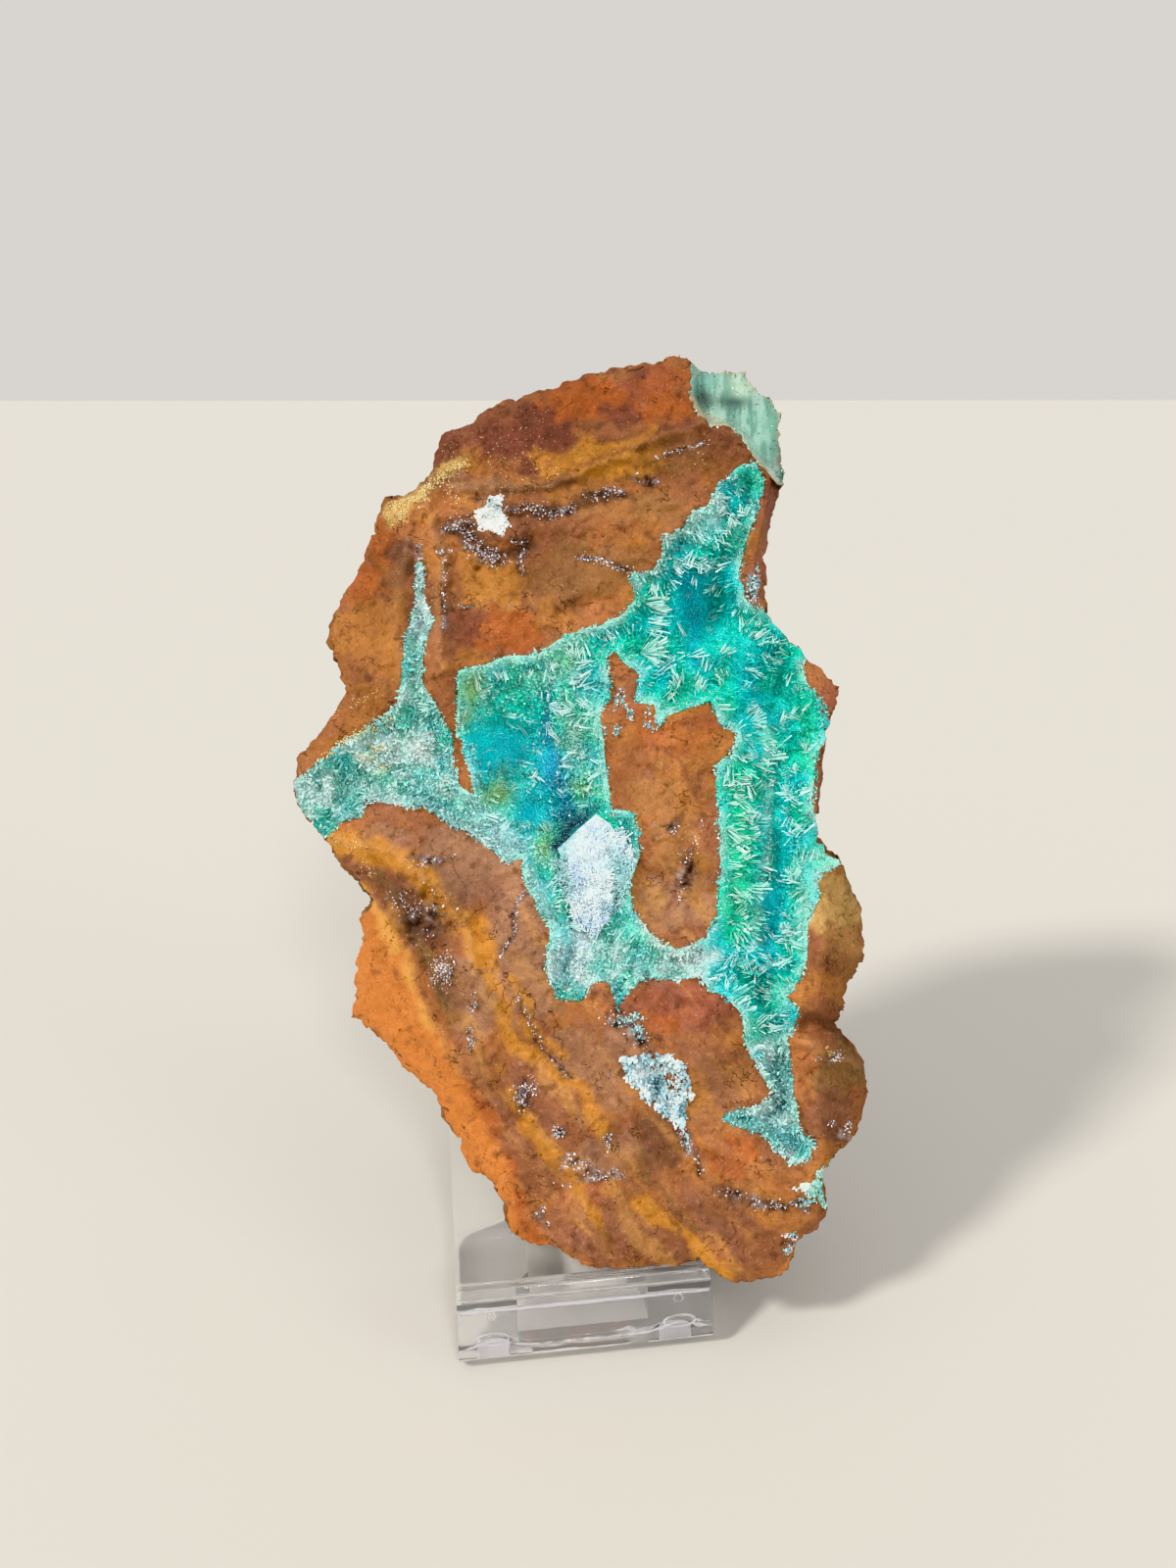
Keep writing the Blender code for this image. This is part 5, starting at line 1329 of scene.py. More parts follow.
class CrystalLining:
    """The crust of needles that lines the hollow."""

    SHEAF_SPACING = 3.4

    def __init__(self, sheet: FaceSheet, stone: StoneFrame, shop: Workshop, grower: CrystalGrower
                 ) -> None:
        """Lay out the sheaves.

        Args:
            sheet: triangles of the face.
            stone: the stone's frame.
            shop: where pieces are made.
            grower: grows the crystals.
        """
        self.sheet = sheet
        self.stone = stone
        self.shop = shop
        self.grower = grower
        rng = np.random.default_rng(23)
        step = self.SHEAF_SPACING
        middles = np.array([(a + (j % 2) * step / 2, b)
                            for j, b in enumerate(np.arange(-64, 54, step * 0.87))
                            for a in np.arange(-48, 42, step)])
        middles = middles + rng.uniform(-0.33, 0.33, middles.shape) * step
        keep = StoneFace.hollow_distance(*middles.T) > -1.5
        self.sheaves = middles[keep]
        self.vigour = rng.uniform(0.75, 1.25, len(self.sheaves))

    def sheaf(self, u: Array, v: Array) -> tuple[Array, Array, Array]:
        """Offset from the nearest sheaf's middle, and that sheaf's vigour.

        Args:
            u: places to the right.
            v: places up.

        Returns:
            The offsets along u and v, each about -1 to 1 in a sheaf, and the vigour.
        """
        wu = u + 0.5 * noise(u / 1.3, v / 1.3, 88)
        wv = v + 0.5 * noise(u / 1.3, v / 1.3, 89)
        du = wu[:, None] - self.sheaves[None, :, 0]
        dv = wv[:, None] - self.sheaves[None, :, 1]
        nearest = np.argmin(du ** 2 + dv ** 2, axis=1)
        rows = np.arange(len(u))
        radius = self.SHEAF_SPACING * 0.62
        return du[rows, nearest] / radius, dv[rows, nearest] / radius, self.vigour[nearest]

    @staticmethod
    def stature(u: Array, v: Array) -> Array:
        """How tall crystals grow at each place: short on the left lobe and low down."""
        left = eased((-19.5 - u) / 3.0)
        low = eased((-23.5 - v) / 3.0) * eased((20 - u) / 3.0)
        foot = eased((-38.0 - v) / 6.0)
        crust = distance_to_path([(7.5, 33), (12, 37.5), (16, 41.5), (21, 46)], u, v)
        crust = eased((4.2 - crust + 1.2 * fractal(u, v, 2.0, 3, 87)) / 1.6) * (v > 30)
        rim = distance_to_path([(-34, -3.4), (-24, -4.6), (-18, -7.6), (-12, -12)], u, v)
        rim = eased((2.6 - rim + fractal(u, v, 2.0, 3, 86)) / 1.2)
        return 1 - np.maximum.reduce([0.62 * left, 0.62 * low, 0.7 * foot, 0.55 * crust, 0.6 * rim])

    @staticmethod
    def calm(u: Array, v: Array) -> Array:
        """How far each place lies in the deep smooth parts, from 0 to 1."""
        wu = u + 1.0 * fractal(u, v, 4, 3, 84)
        wv = v + 1.0 * fractal(u, v, 4, 3, 85)
        calm = np.zeros(np.shape(u))
        for cu, cv, su, sv in CALM_SPOTS:
            bell = np.exp(-((wu - cu) / su) ** 2 - ((wv - cv) / sv) ** 2)
            calm = np.maximum(calm, bell)
        return eased(1.5 * calm - 0.2)

    @staticmethod
    def sugary(u: Array, v: Array) -> Array:
        """How granular the crystals are: 1 in the left hollow, 0 in the valleys at the right."""
        return eased((4.0 - u) / 5.0) * eased((27.0 - v) / 4.0)

    def ground(self, u: Array, v: Array) -> Array:
        """Height of the crystals' common ground over the stone."""
        du, dv, vigour = self.sheaf(u, v)
        dome = np.maximum(0, 1 - du ** 2 - dv ** 2)
        inner = eased(StoneFace.hollow_distance(u, v) / 1.6)
        grain = 0.16 * fractal(u, v, 0.9, 2, 91)
        short = eased((1 - self.stature(u, v)) * 2.4 - 0.3)
        grain = grain + inner * 0.3 * short * fractal(u, v, 2.8, 4, 141, 0.7)
        rise = inner * (0.35 + 0.9 * dome * vigour) * (0.4 + 0.6 * self.stature(u, v))
        return StoneFace.height(u, v) + 0.25 + rise + grain

    @staticmethod
    def tint(u: Array, v: Array) -> Array:
        """Linear colour of the crystals at each place."""
        wu = u + 0.9 * fractal(u, v, 4, 3, 93)
        wv = v + 0.9 * fractal(u, v, 4, 3, 94)
        green = eased(0.5 + 0.9 * fractal(u, v, 3.6, 4, 95))
        colour = linear("0CCED2") + green[:, None] * (linear("14CEB0") - linear("0CCED2"))
        for cu, cv, su, sv, hex_colour, strength in CRYSTAL_TINTS:
            mask = strength * np.exp(-((wu - cu) / su) ** 2 - ((wv - cv) / sv) ** 2)
            colour = colour + mask[:, None] * (linear(hex_colour) - colour)
        for path, width, hex_colour, strength in CRYSTAL_STREAKS:
            mask = strength * np.exp(-(distance_to_path(path, wu, wv) / width) ** 2)
            colour = colour + mask[:, None] * (linear(hex_colour) - colour)
        rim = np.exp(-(np.maximum(0, StoneFace.hollow_distance(u, v)) / 1.1) ** 2)
        rim = rim * eased(0.5 + 0.9 * fractal(u, v, 2.6, 3, 99))
        colour = colour + (0.8 * rim)[:, None] * (linear("B0EEE2") - colour)
        short = eased((1 - CrystalLining.stature(u, v)) * 2.4 - 0.3)
        clump = fractal(u, v, 2.8, 4, 141, 0.7)
        white = 0.75 * short * eased(1.7 * clump - 0.15)
        colour = colour + white[:, None] * (linear("DCF4F2") - colour)
        # Painted shade in the dips between the clumps, where the ground's lumps from the same noise sink
        dark = 0.45 * short * eased(-1.7 * clump - 0.3)
        colour = colour + dark[:, None] * (linear("1F7F88") - colour)
        shade = 1 + 0.2 * fractal(u, v, 1.7, 3, 96) + 0.1 * fractal(u, v, 4.5, 2, 92)
        return np.clip(colour * shade[:, None], 0, 1)

    def bed(self, material: bpy.types.Material) -> bpy.types.Object:
        """The ground under the needles, closed below the stone's surface."""
        flat, faces = self.sheet.region(HOLLOW, [PILLAR], 2)
        u, v = roughened(flat, 1.3)
        top = self.ground(u, v)
        low = StoneFace.height(u, v) - 0.9
        count = len(u)
        points = np.concatenate([self.stone.place(u, v, top), self.stone.place(u, v, low)])
        rim = rim_edges(faces)
        a, b = rim.T
        tris = [faces, faces[:, ::-1] + count, np.stack([b, a, a + count], axis=1),
                np.stack([b, a + count, b + count], axis=1)]
        tint = self.tint(u, v) * (0.6 + 0.4 * eased(self.stature(u, v) * 2 - 0.6))[:, None]
        return self.shop.piece("aurichalcite_ground", points, np.concatenate(tris), material,
                               np.concatenate([tint, tint]))

    def scattered(self, count: int, seed: int, inner: float, outer: float = 99.0
                  ) -> tuple[Array, Array, np.random.Generator]:
        """Random places in the hollow.

        Args:
            count: how many are tried over the hollow's box.
            seed: seed of the places.
            inner: least distance from the border.
            outer: greatest distance from the border.

        Returns:
            Places u and v, and the generator for what follows.
        """
        rng = np.random.default_rng(seed)
        u = rng.uniform(-47, 40, count)
        v = rng.uniform(-60, 50.5, count)
        border = StoneFace.hollow_distance(u, v)
        ragged = 0.35 * fractal(u, v, 1.6, 3, 97)
        keep = (border > inner + ragged) & (border < outer)
        keep &= distance_to_loop(OUTLINE, u, v) > 0.3
        keep &= distance_to_loop(BLOCK, u, v) < 0.0
        # Keep crystals off the strip along the white block's upper-left edge, where its shadow is painted on the
        # ground
        keep &= distance_to_path([(-5.6, -10.8), (0.6, -4.4)], u, v) > 0.7
        return u[keep], v[keep], rng

    def slope(self, u: Array, v: Array) -> tuple[Array, Array]:
        """Slope of the stone below each place, along u and v."""
        step = 0.6
        rise_u = StoneFace.height(u + step, v) - StoneFace.height(u - step, v)
        rise_v = StoneFace.height(u, v + step) - StoneFace.height(u, v - step)
        return rise_u / (2 * step), rise_v / (2 * step)

    def inward(self, u: Array, v: Array) -> tuple[Array, Array]:
        """Direction away from the border, fading towards the middle of the hollow."""
        step = 0.5
        du = StoneFace.hollow_distance(u + step, v) - StoneFace.hollow_distance(u - step, v)
        dv = StoneFace.hollow_distance(u, v + step) - StoneFace.hollow_distance(u, v - step)
        length = np.hypot(du, dv) + 1e-6
        fade = np.exp(-(StoneFace.hollow_distance(u, v) / 4.5) ** 2)
        return fade * du / length, fade * dv / length

    def needles(self, name: str, material: bpy.types.Material, count: int, seed: int,
                length: float, width: float, shape: Shape, pale: float) -> bpy.types.Object:
        """Needles standing in sheaves on the ground.

        Args:
            name: the piece's name.
            material: their material.
            count: how many are tried over the hollow's box.
            seed: seed of the places.
            length: usual length.
            width: usual width.
            shape: the form of one needle.
            pale: share of needles that are nearly white.

        Returns:
            The piece.
        """
        u, v, rng = self.scattered(count, seed, 0.3)
        border = StoneFace.hollow_distance(u, v)
        du, dv, vigour = self.sheaf(u, v)
        rise_u, rise_v = self.slope(u, v)
        in_u, in_v = self.inward(u, v)
        jitter = rng.normal(0, 1, (3, len(u))) * (0.12 + 0.26 * self.sugary(u, v))
        steep = np.sqrt(1 + rise_u ** 2 + rise_v ** 2)
        grow = self.stone.direction(-0.45 * rise_u / steep + 0.7 * du + 0.85 * in_u + jitter[0],
                                    -0.45 * rise_v / steep + 0.7 * dv + 0.85 * in_v + jitter[1],
                                    0.45 / steep + 0.3 + jitter[2])
        stature = self.stature(u, v)
        calm = self.calm(u, v)
        reach = length * (0.22 + 0.78 * eased(border / 2.4)) * vigour * stature * (1 - 0.4 * calm)
        reach = reach * rng.uniform(0.55, 1.2, len(u)) * (1 - 0.5 * self.sugary(u, v))
        girth = width * rng.uniform(0.65, 1.4, len(u)) * (0.7 + 0.3 * eased(border / 2.2))
        girth = girth * (1 + 0.25 * self.sugary(u, v))
        girth = girth * (1 - 0.3 * calm)
        tone = 1 - 0.08 * calm + (0.18 - 0.04 * calm) * rng.uniform(-1, 1, len(u))
        tint = self.tint(u, v) * tone[:, None]
        white = (rng.random(len(u)) < pale * (1 - 0.85 * calm)) * rng.uniform(0.4, 0.95, len(u))
        tint = tint + white[:, None] * (linear("CFFAF3") - tint)
        places = self.stone.place(u, v, self.ground(u, v) - 0.25)
        return self.grower.grow(name, shape, material, places, grow, reach, girth,
                                np.clip(tint, 0, 1), seed)

    def sprays(self, material: bpy.types.Material, count: int) -> bpy.types.Object:
        """Small bundles of long glassy blades, nearly parallel in each bundle.

        Args:
            material: their material.
            count: number of places tried over the hollow's box.

        Returns:
            The piece.
        """
        u, v, rng = self.scattered(count, 37, 0.9)
        stature = self.stature(u, v)
        busy = fractal(u, v, 6.0, 3, 90)
        likely = eased((stature - 0.35) / 0.4) * eased(0.6 + 0.9 * busy)
        likely = likely * (1 - 0.55 * self.sugary(u, v))
        chosen = rng.random(len(u)) < likely * (1 - 0.85 * self.calm(u, v))
        u, v, stature = u[chosen], v[chosen], stature[chosen]
        in_u, in_v = self.inward(u, v)
        heading = np.arctan2(in_v + 0.3 * rng.normal(0, 1, len(u)),
                             in_u + 0.3 * rng.normal(0, 1, len(u)))
        blades = rng.integers(2, 9, len(u))
        owner = np.repeat(np.arange(len(u)), blades)
        number = len(owner)
        spread = rng.uniform(0.06, 0.4, len(u))[owner]
        turn = heading[owner] + spread * rng.uniform(-1, 1, number)
        lift = rng.uniform(0.15, 0.65, len(u))[owner] + rng.normal(0, 0.12, number)
        grow = self.stone.direction(np.cos(turn), np.sin(turn), np.maximum(0.1, lift))
        reach = (rng.uniform(1.0, 3.0, len(u)) * stature)[owner] * rng.uniform(0.6, 1.1, number)
        girth = rng.uniform(0.12, 0.28, number)
        su = u[owner] + rng.normal(0, 0.3, number)
        sv = v[owner] + rng.normal(0, 0.3, number)
        tint = self.tint(su, sv)
        whiteness = rng.uniform(0.35, 1.0, len(u))[owner] * rng.uniform(0.7, 1.1, number)
        tint = tint + np.clip(whiteness, 0, 1)[:, None] * (linear("DDFBFA") - tint)
        places = self.stone.place(su, sv, self.ground(su, sv) + 0.25)
        return self.grower.grow("hemimorphite_sprays", Shape.BLADE, material, places, grow, reach,
                                girth, np.clip(tint, 0, 1), 37)

    def fans(self, material: bpy.types.Material) -> bpy.types.Object:
        """Fans of long pale blades, each spread from one base."""
        rng = np.random.default_rng(71)
        base_u, base_v, heading, opening, length, blades = np.array(FANS, dtype=float).T
        owner = np.repeat(np.arange(len(FANS)), (2.0 * blades).astype(int))
        count = len(owner)
        at = rng.uniform(-0.5, 0.5, count)
        turn = np.radians(heading[owner] + at * opening[owner] + rng.normal(0, 4, count))
        side = at * np.minimum(1.8, 40 / opening[owner]) + rng.normal(0, 0.15, count)
        ahead = rng.uniform(-0.2, 0.5, count) * length[owner] * 0.5
        u = base_u[owner] - side * np.sin(turn) + ahead * np.cos(turn)
        v = base_v[owner] + side * np.cos(turn) + ahead * np.sin(turn)
        keep = StoneFace.hollow_distance(u, v) > 0.1
        keep &= distance_to_loop(BLOCK, u, v) < 0
        owner, turn, u, v = owner[keep], turn[keep], u[keep], v[keep]
        count = len(owner)
        grow = self.stone.direction(np.cos(turn), np.sin(turn), rng.uniform(0.12, 0.5, count))
        reach = length[owner] * rng.uniform(0.4, 0.8, count)
        white = rng.uniform(0.1, 1.0, count)[:, None]
        tint = self.tint(u, v) * rng.uniform(0.8, 1.1, count)[:, None]
        tint = tint + white * (linear("D8FFFB") - tint)
        places = self.stone.place(u, v, self.ground(u, v) + 0.35)
        return self.grower.grow("hemimorphite_fans", Shape.BLADE, material, places, grow, reach,
                                rng.uniform(0.13, 0.3, count), np.clip(tint, 0, 1), 71)

    def fringe(self, material: bpy.types.Material) -> bpy.types.Object:
        """Short crystals crowded along the hollow's border, pale and dark mixed."""
        u, v, rng = self.scattered(125000, 31, -0.25, 1.7)
        border = StoneFace.hollow_distance(u, v)
        chosen = rng.random(len(u)) < 1.1 - 0.5 * border
        u, v = u[chosen], v[chosen]
        count = len(u)
        grow = self.stone.direction(rng.normal(0, 0.7, count), rng.normal(0, 0.7, count),
                                    np.full(count, 0.7))
        reach = rng.uniform(0.25, 0.75, count)
        girth = rng.uniform(0.16, 0.38, count)
        tint = self.tint(u, v) * rng.uniform(0.3, 1.0, count)[:, None]
        white = np.maximum(0, rng.uniform(-0.6, 0.9, count))
        tint = tint + white[:, None] * (linear("C6F6EE") - tint)
        places = self.stone.place(u, v, self.ground(u, v) - 0.2)
        return self.grower.grow("aurichalcite_fringe", Shape.GRAIN, material, places, grow, reach,
                                girth, np.clip(tint, 0, 1), 31)

    def grains(self, material: bpy.types.Material) -> bpy.types.Object:
        """Coarse grains where the crystals stay short."""
        u, v, rng = self.scattered(80000, 41, 0.2)
        stature = self.stature(u, v)
        few = 0.85 * self.sugary(u, v) * (1 - self.calm(u, v))
        chosen = rng.random(len(u)) < 1.3 * (1 - stature) + few
        u, v = u[chosen], v[chosen]
        count = len(u)
        grow = self.stone.direction(rng.normal(0, 0.8, count), rng.normal(0, 0.8, count),
                                    np.full(count, 0.7))
        girth = rng.uniform(0.2, 0.55, count)
        reach = girth * rng.uniform(1.2, 2.8, count)
        tint = self.tint(u, v) * rng.uniform(0.5, 1.1, count)[:, None]
        patch = eased(fractal(u, v, 2.4, 3, 98) * 1.5)
        white = np.maximum(0, rng.uniform(-0.7, 0.9, count)) * (0.3 + 0.7 * patch)
        tint = tint + white[:, None] * (linear("D2F2EE") - tint)
        places = self.stone.place(u, v, self.ground(u, v) - 0.15)
        return self.grower.grow("granular_crystals", Shape.GRAIN, material, places, grow, reach,
                                girth, np.clip(tint, 0, 1), 41)

    def gilding(self, material: bpy.types.Material) -> bpy.types.Object:
        """Pale gold grains lying on the crystals of the left lobe."""
        rng = np.random.default_rng(47)
        clumps = np.array([(-41.0, 4.6), (-38.6, 6.6), (-36.0, 7.4), (-33.6, 8.2), (-31.0, 9.6),
                           (-34.6, 4.0), (-32.2, 2.2), (-33.0, 5.6)])
        pick = rng.integers(0, len(clumps), 420)
        u = clumps[pick, 0] + rng.normal(0, 0.9, 420)
        v = clumps[pick, 1] + rng.normal(0, 0.5, 420)
        keep = (StoneFace.hollow_distance(u, v) > -0.8) & (distance_to_loop(OUTLINE, u, v) > 0.4)
        u, v = u[keep], v[keep]
        count = len(u)
        grow = self.stone.direction(rng.normal(0, 0.6, count), rng.normal(0, 0.6, count),
                                    np.full(count, 0.8))
        girth = rng.uniform(0.14, 0.34, count)
        gold = np.array([linear("E4D08C"), linear("C8A650"), linear("F2E8BE")])
        places = self.stone.place(u, v, self.ground(u, v) + 0.05)
        return self.grower.grow("gold_on_crystals", Shape.GRAIN, material, places, grow,
                                girth * 1.3, girth, gold[rng.integers(0, 3, count)], 47)


@dataclass(frozen=True)
class Glassiness:
    """Surface of a crystal finish."""

    name: str
    roughness: float
    ior: float
    transmission: float
    tip: str
    tip_share: float
    coat: float = 0.0


def crystal_material(finish: Glassiness) -> bpy.types.Material:
    """Crystals tinted by their attribute, paler towards the tip and darker towards the foot as painted shade.

    Args:
        finish: the surface.

    Returns:
        The material.
    """
    material = bpy.data.materials.new(finish.name)
    material.use_nodes = True
    tree = material.node_tree
    shader = tree.nodes["Principled BSDF"]
    tint = add(tree, "ShaderNodeAttribute", attribute_name="tint")
    along = add(tree, "ShaderNodeAttribute", attribute_name="along")
    # Paler towards the tip: the crystals' own pale tips, partly also a painted highlight
    rise = add(tree, "ShaderNodeMath", {0: along.outputs["Fac"], 1: 2.5}, operation="POWER")
    share = add(tree, "ShaderNodeMath", {0: rise.outputs[0], 1: finish.tip_share},
                operation="MULTIPLY")
    # Painted shade: each crystal darker towards its foot, where its neighbours shade it
    foot = add(tree, "ShaderNodeMapRange", {"Value": along.outputs["Fac"], "From Min": 0.0,
                                            "From Max": 0.5, "To Min": 0.8, "To Max": 1.0})
    shaded = add(tree, "ShaderNodeVectorMath", {0: tint.outputs["Color"],
                                                "Scale": foot.outputs["Result"]},
                 operation="SCALE")
    mixed = add(tree, "ShaderNodeMix", {0: share.outputs[0], 6: shaded.outputs["Vector"],
                                        7: rgba(finish.tip)}, data_type="RGBA")
    tree.links.new(mixed.outputs[2], shader.inputs["Base Color"])
    shader.inputs["Roughness"].default_value = finish.roughness
    shader.inputs["IOR"].default_value = finish.ior
    shader.inputs["Transmission Weight"].default_value = finish.transmission
    shader.inputs["Coat Weight"].default_value = finish.coat
    shader.inputs["Coat Roughness"].default_value = 0.08
    return material


def ground_material() -> bpy.types.Material:
    """Felted crystal ground: tinted by its attribute, with fibres and sparkle; painted lighter on the raised fibre
    cells and darker, as painted shade, in the dips between them.
    """
    material = bpy.data.materials.new("felted aurichalcite")
    material.use_nodes = True
    tree = material.node_tree
    shader = tree.nodes["Principled BSDF"]
    tint = add(tree, "ShaderNodeAttribute", attribute_name="tint")
    place = add(tree, "ShaderNodeTexCoord")
    fibres = add(tree, "ShaderNodeTexVoronoi", {"Vector": place.outputs["Object"],
                                                "Scale": 1 / (0.45 * MM)})
    # Painted shade: darker towards the edges of the fibre cells, where the bump sinks
    fleck = add(tree, "ShaderNodeMapRange", {"Value": fibres.outputs["Distance"], "From Min": 0.1,
                                             "From Max": 0.8, "To Min": 1.12, "To Max": 0.8})
    colour = add(tree, "ShaderNodeVectorMath", {0: tint.outputs["Color"],
                                                "Scale": fleck.outputs["Result"]},
                 operation="SCALE")
    bump = add(tree, "ShaderNodeBump", {"Height": fibres.outputs["Distance"], "Strength": 0.9,
                                        "Distance": 0.35 * MM}, invert=True)
    tree.links.new(colour.outputs["Vector"], shader.inputs["Base Color"])
    tree.links.new(bump.outputs["Normal"], shader.inputs["Normal"])
    shader.inputs["Roughness"].default_value = 0.32
    shader.inputs["IOR"].default_value = 1.65
    return material


def limonite_material() -> bpy.types.Material:
    """Broken limonite: earthy and dull, with fine grain, flecks, and painted shade in the small pits of the fine
    bump.
    """
    material = bpy.data.materials.new("broken limonite")
    material.use_nodes = True
    tree = material.node_tree
    shader = tree.nodes["Principled BSDF"]
    tint = add(tree, "ShaderNodeAttribute", attribute_name="tint")
    place = add(tree, "ShaderNodeTexCoord").outputs["Object"]
    grain = add(tree, "ShaderNodeTexNoise", {"Vector": place, "Scale": 1 / (1.4 * MM),
                                             "Detail": 10.0, "Roughness": 0.8})
    fleck = add(tree, "ShaderNodeTexNoise", {"Vector": place, "Scale": 1 / (0.45 * MM),
                                             "Detail": 3.0, "Roughness": 0.6})
    blotch = add(tree, "ShaderNodeTexNoise", {"Vector": place, "Scale": 1 / (5 * MM),
                                              "Detail": 5.0, "Roughness": 0.6})
    rugged = tint.outputs["Alpha"]
    spread = add(tree, "ShaderNodeMapRange", {"Value": rugged, "To Min": 0.86, "To Max": 0.6})
    shade = add(tree, "ShaderNodeMapRange", {"Value": grain.outputs["Fac"], "From Min": 0.32,
                                             "From Max": 0.68, "To Min": spread.outputs[0],
                                             "To Max": 1.18})
    colour = add(tree, "ShaderNodeVectorMath", {0: tint.outputs["Color"],
                                                "Scale": shade.outputs["Result"]},
                 operation="SCALE")
    light = add(tree, "ShaderNodeMapRange", {"Value": fleck.outputs["Fac"], "From Min": 0.62,
                                             "From Max": 0.72, "To Min": 0.0, "To Max": 0.45})
    flecked = add(tree, "ShaderNodeMix", {0: light.outputs["Result"],
                                          6: colour.outputs["Vector"], 7: rgba("D9AE82")},
                  data_type="RGBA")
    # Painted shade in the small pits where the fine bump sinks
    dark = add(tree, "ShaderNodeMapRange", {"Value": fleck.outputs["Fac"], "From Min": 0.40,
                                            "From Max": 0.30, "To Min": 0.0, "To Max": 0.5})
    pit_shaded = add(tree, "ShaderNodeMix", {0: dark.outputs["Result"], 6: flecked.outputs[2],
                                         7: rgba("4A281A")}, data_type="RGBA")
    hollow = add(tree, "ShaderNodeMapRange", {"Value": blotch.outputs["Fac"], "From Min": 0.36,
                                              "From Max": 0.26, "To Min": 0.0, "To Max": 0.6})
    stained = add(tree, "ShaderNodeMix", {0: hollow.outputs["Result"], 6: pit_shaded.outputs[2],
                                          7: rgba("5A3322")}, data_type="RGBA")
    seam = add(tree, "ShaderNodeTexNoise", {"Vector": place, "Scale": 1 / (6.5 * MM),
                                            "Detail": 4.0, "Roughness": 0.55})
    off = add(tree, "ShaderNodeMath", {0: seam.outputs["Fac"], 1: 0.5}, operation="SUBTRACT")
    away = add(tree, "ShaderNodeMath", {0: off.outputs[0]}, operation="ABSOLUTE")
    line = add(tree, "ShaderNodeMapRange", {"Value": away.outputs[0], "From Min": 0.001,
                                            "From Max": 0.007, "To Min": 0.8, "To Max": 0.0})
    some = add(tree, "ShaderNodeMapRange", {"Value": blotch.outputs["Fac"], "From Min": 0.5,
                                            "From Max": 0.56, "To Min": 0.0, "To Max": 1.0})
    crack = add(tree, "ShaderNodeMath", {0: line.outputs[0], 1: some.outputs[0]},
                operation="MULTIPLY")
    cracked = add(tree, "ShaderNodeMix", {0: crack.outputs[0], 6: stained.outputs[2],
                                          7: rgba("3E231A")}, data_type="RGBA")
    ridge = add(tree, "ShaderNodeTexNoise", {"Vector": place, "Scale": 1 / (4.5 * MM),
                                             "Detail": 8.0, "Roughness": 0.62},
                noise_type="RIDGED_MULTIFRACTAL")
    both = add(tree, "ShaderNodeMath", {0: ridge.outputs["Fac"], 1: 0.35,
                                        2: grain.outputs["Fac"]}, operation="MULTIPLY_ADD")
    sunk = add(tree, "ShaderNodeMath", {0: crack.outputs[0], 1: -0.35, 2: both.outputs[0]},
               operation="MULTIPLY_ADD")
    scaled = add(tree, "ShaderNodeMath", {0: sunk.outputs[0], 1: rugged}, operation="MULTIPLY")
    coarse = add(tree, "ShaderNodeBump", {"Height": scaled.outputs[0], "Strength": 1.0,
                                          "Distance": 0.9 * MM})
    chips = add(tree, "ShaderNodeTexNoise", {"Vector": place, "Scale": 1 / (1.7 * MM),
                                             "Detail": 5.0, "Roughness": 0.6},
                noise_type="RIDGED_MULTIFRACTAL")
    broken = add(tree, "ShaderNodeBump", {"Height": chips.outputs["Fac"], "Strength": 0.7,
                                          "Distance": 0.16 * MM,
                                          "Normal": coarse.outputs["Normal"]})
    fine = add(tree, "ShaderNodeBump", {"Height": fleck.outputs["Fac"], "Strength": 0.7,
                                        "Distance": 0.18 * MM,
                                        "Normal": broken.outputs["Normal"]})
    gloss = add(tree, "ShaderNodeMapRange", {"Value": fleck.outputs["Fac"], "From Min": 0.3,
                                             "From Max": 0.72, "To Min": 0.9, "To Max": 0.5})
    tree.links.new(cracked.outputs[2], shader.inputs["Base Color"])
    tree.links.new(fine.outputs["Normal"], shader.inputs["Normal"])
    tree.links.new(gloss.outputs["Result"], shader.inputs["Roughness"])
    shader.inputs["Specular IOR Level"].default_value = 0.4
    return material


def acrylic_material() -> bpy.types.Material:
    """Clear moulded acrylic: colourless, with faint waviness left by the mould."""
    material = bpy.data.materials.new("clear acrylic")
    material.use_nodes = True
    tree = material.node_tree
    shader = tree.nodes["Principled BSDF"]
    place = add(tree, "ShaderNodeTexCoord")
    wave = add(tree, "ShaderNodeTexNoise", {"Vector": place.outputs["Object"],
                                            "Scale": 1 / (9 * MM), "Detail": 2.0})
    bump = add(tree, "ShaderNodeBump", {"Height": wave.outputs["Fac"], "Strength": 0.4,
                                        "Distance": 0.3 * MM})
    haze = add(tree, "ShaderNodeMapRange", {"Value": wave.outputs["Fac"], "From Min": 0.3,
                                            "From Max": 0.7, "To Min": 0.01, "To Max": 0.05})
    tree.links.new(bump.outputs["Normal"], shader.inputs["Normal"])
    tree.links.new(haze.outputs["Result"], shader.inputs["Roughness"])
    shader.inputs["Base Color"].default_value = rgba("FFFFFF")
    shader.inputs["IOR"].default_value = 1.49
    shader.inputs["Transmission Weight"].default_value = 0.93
    return material


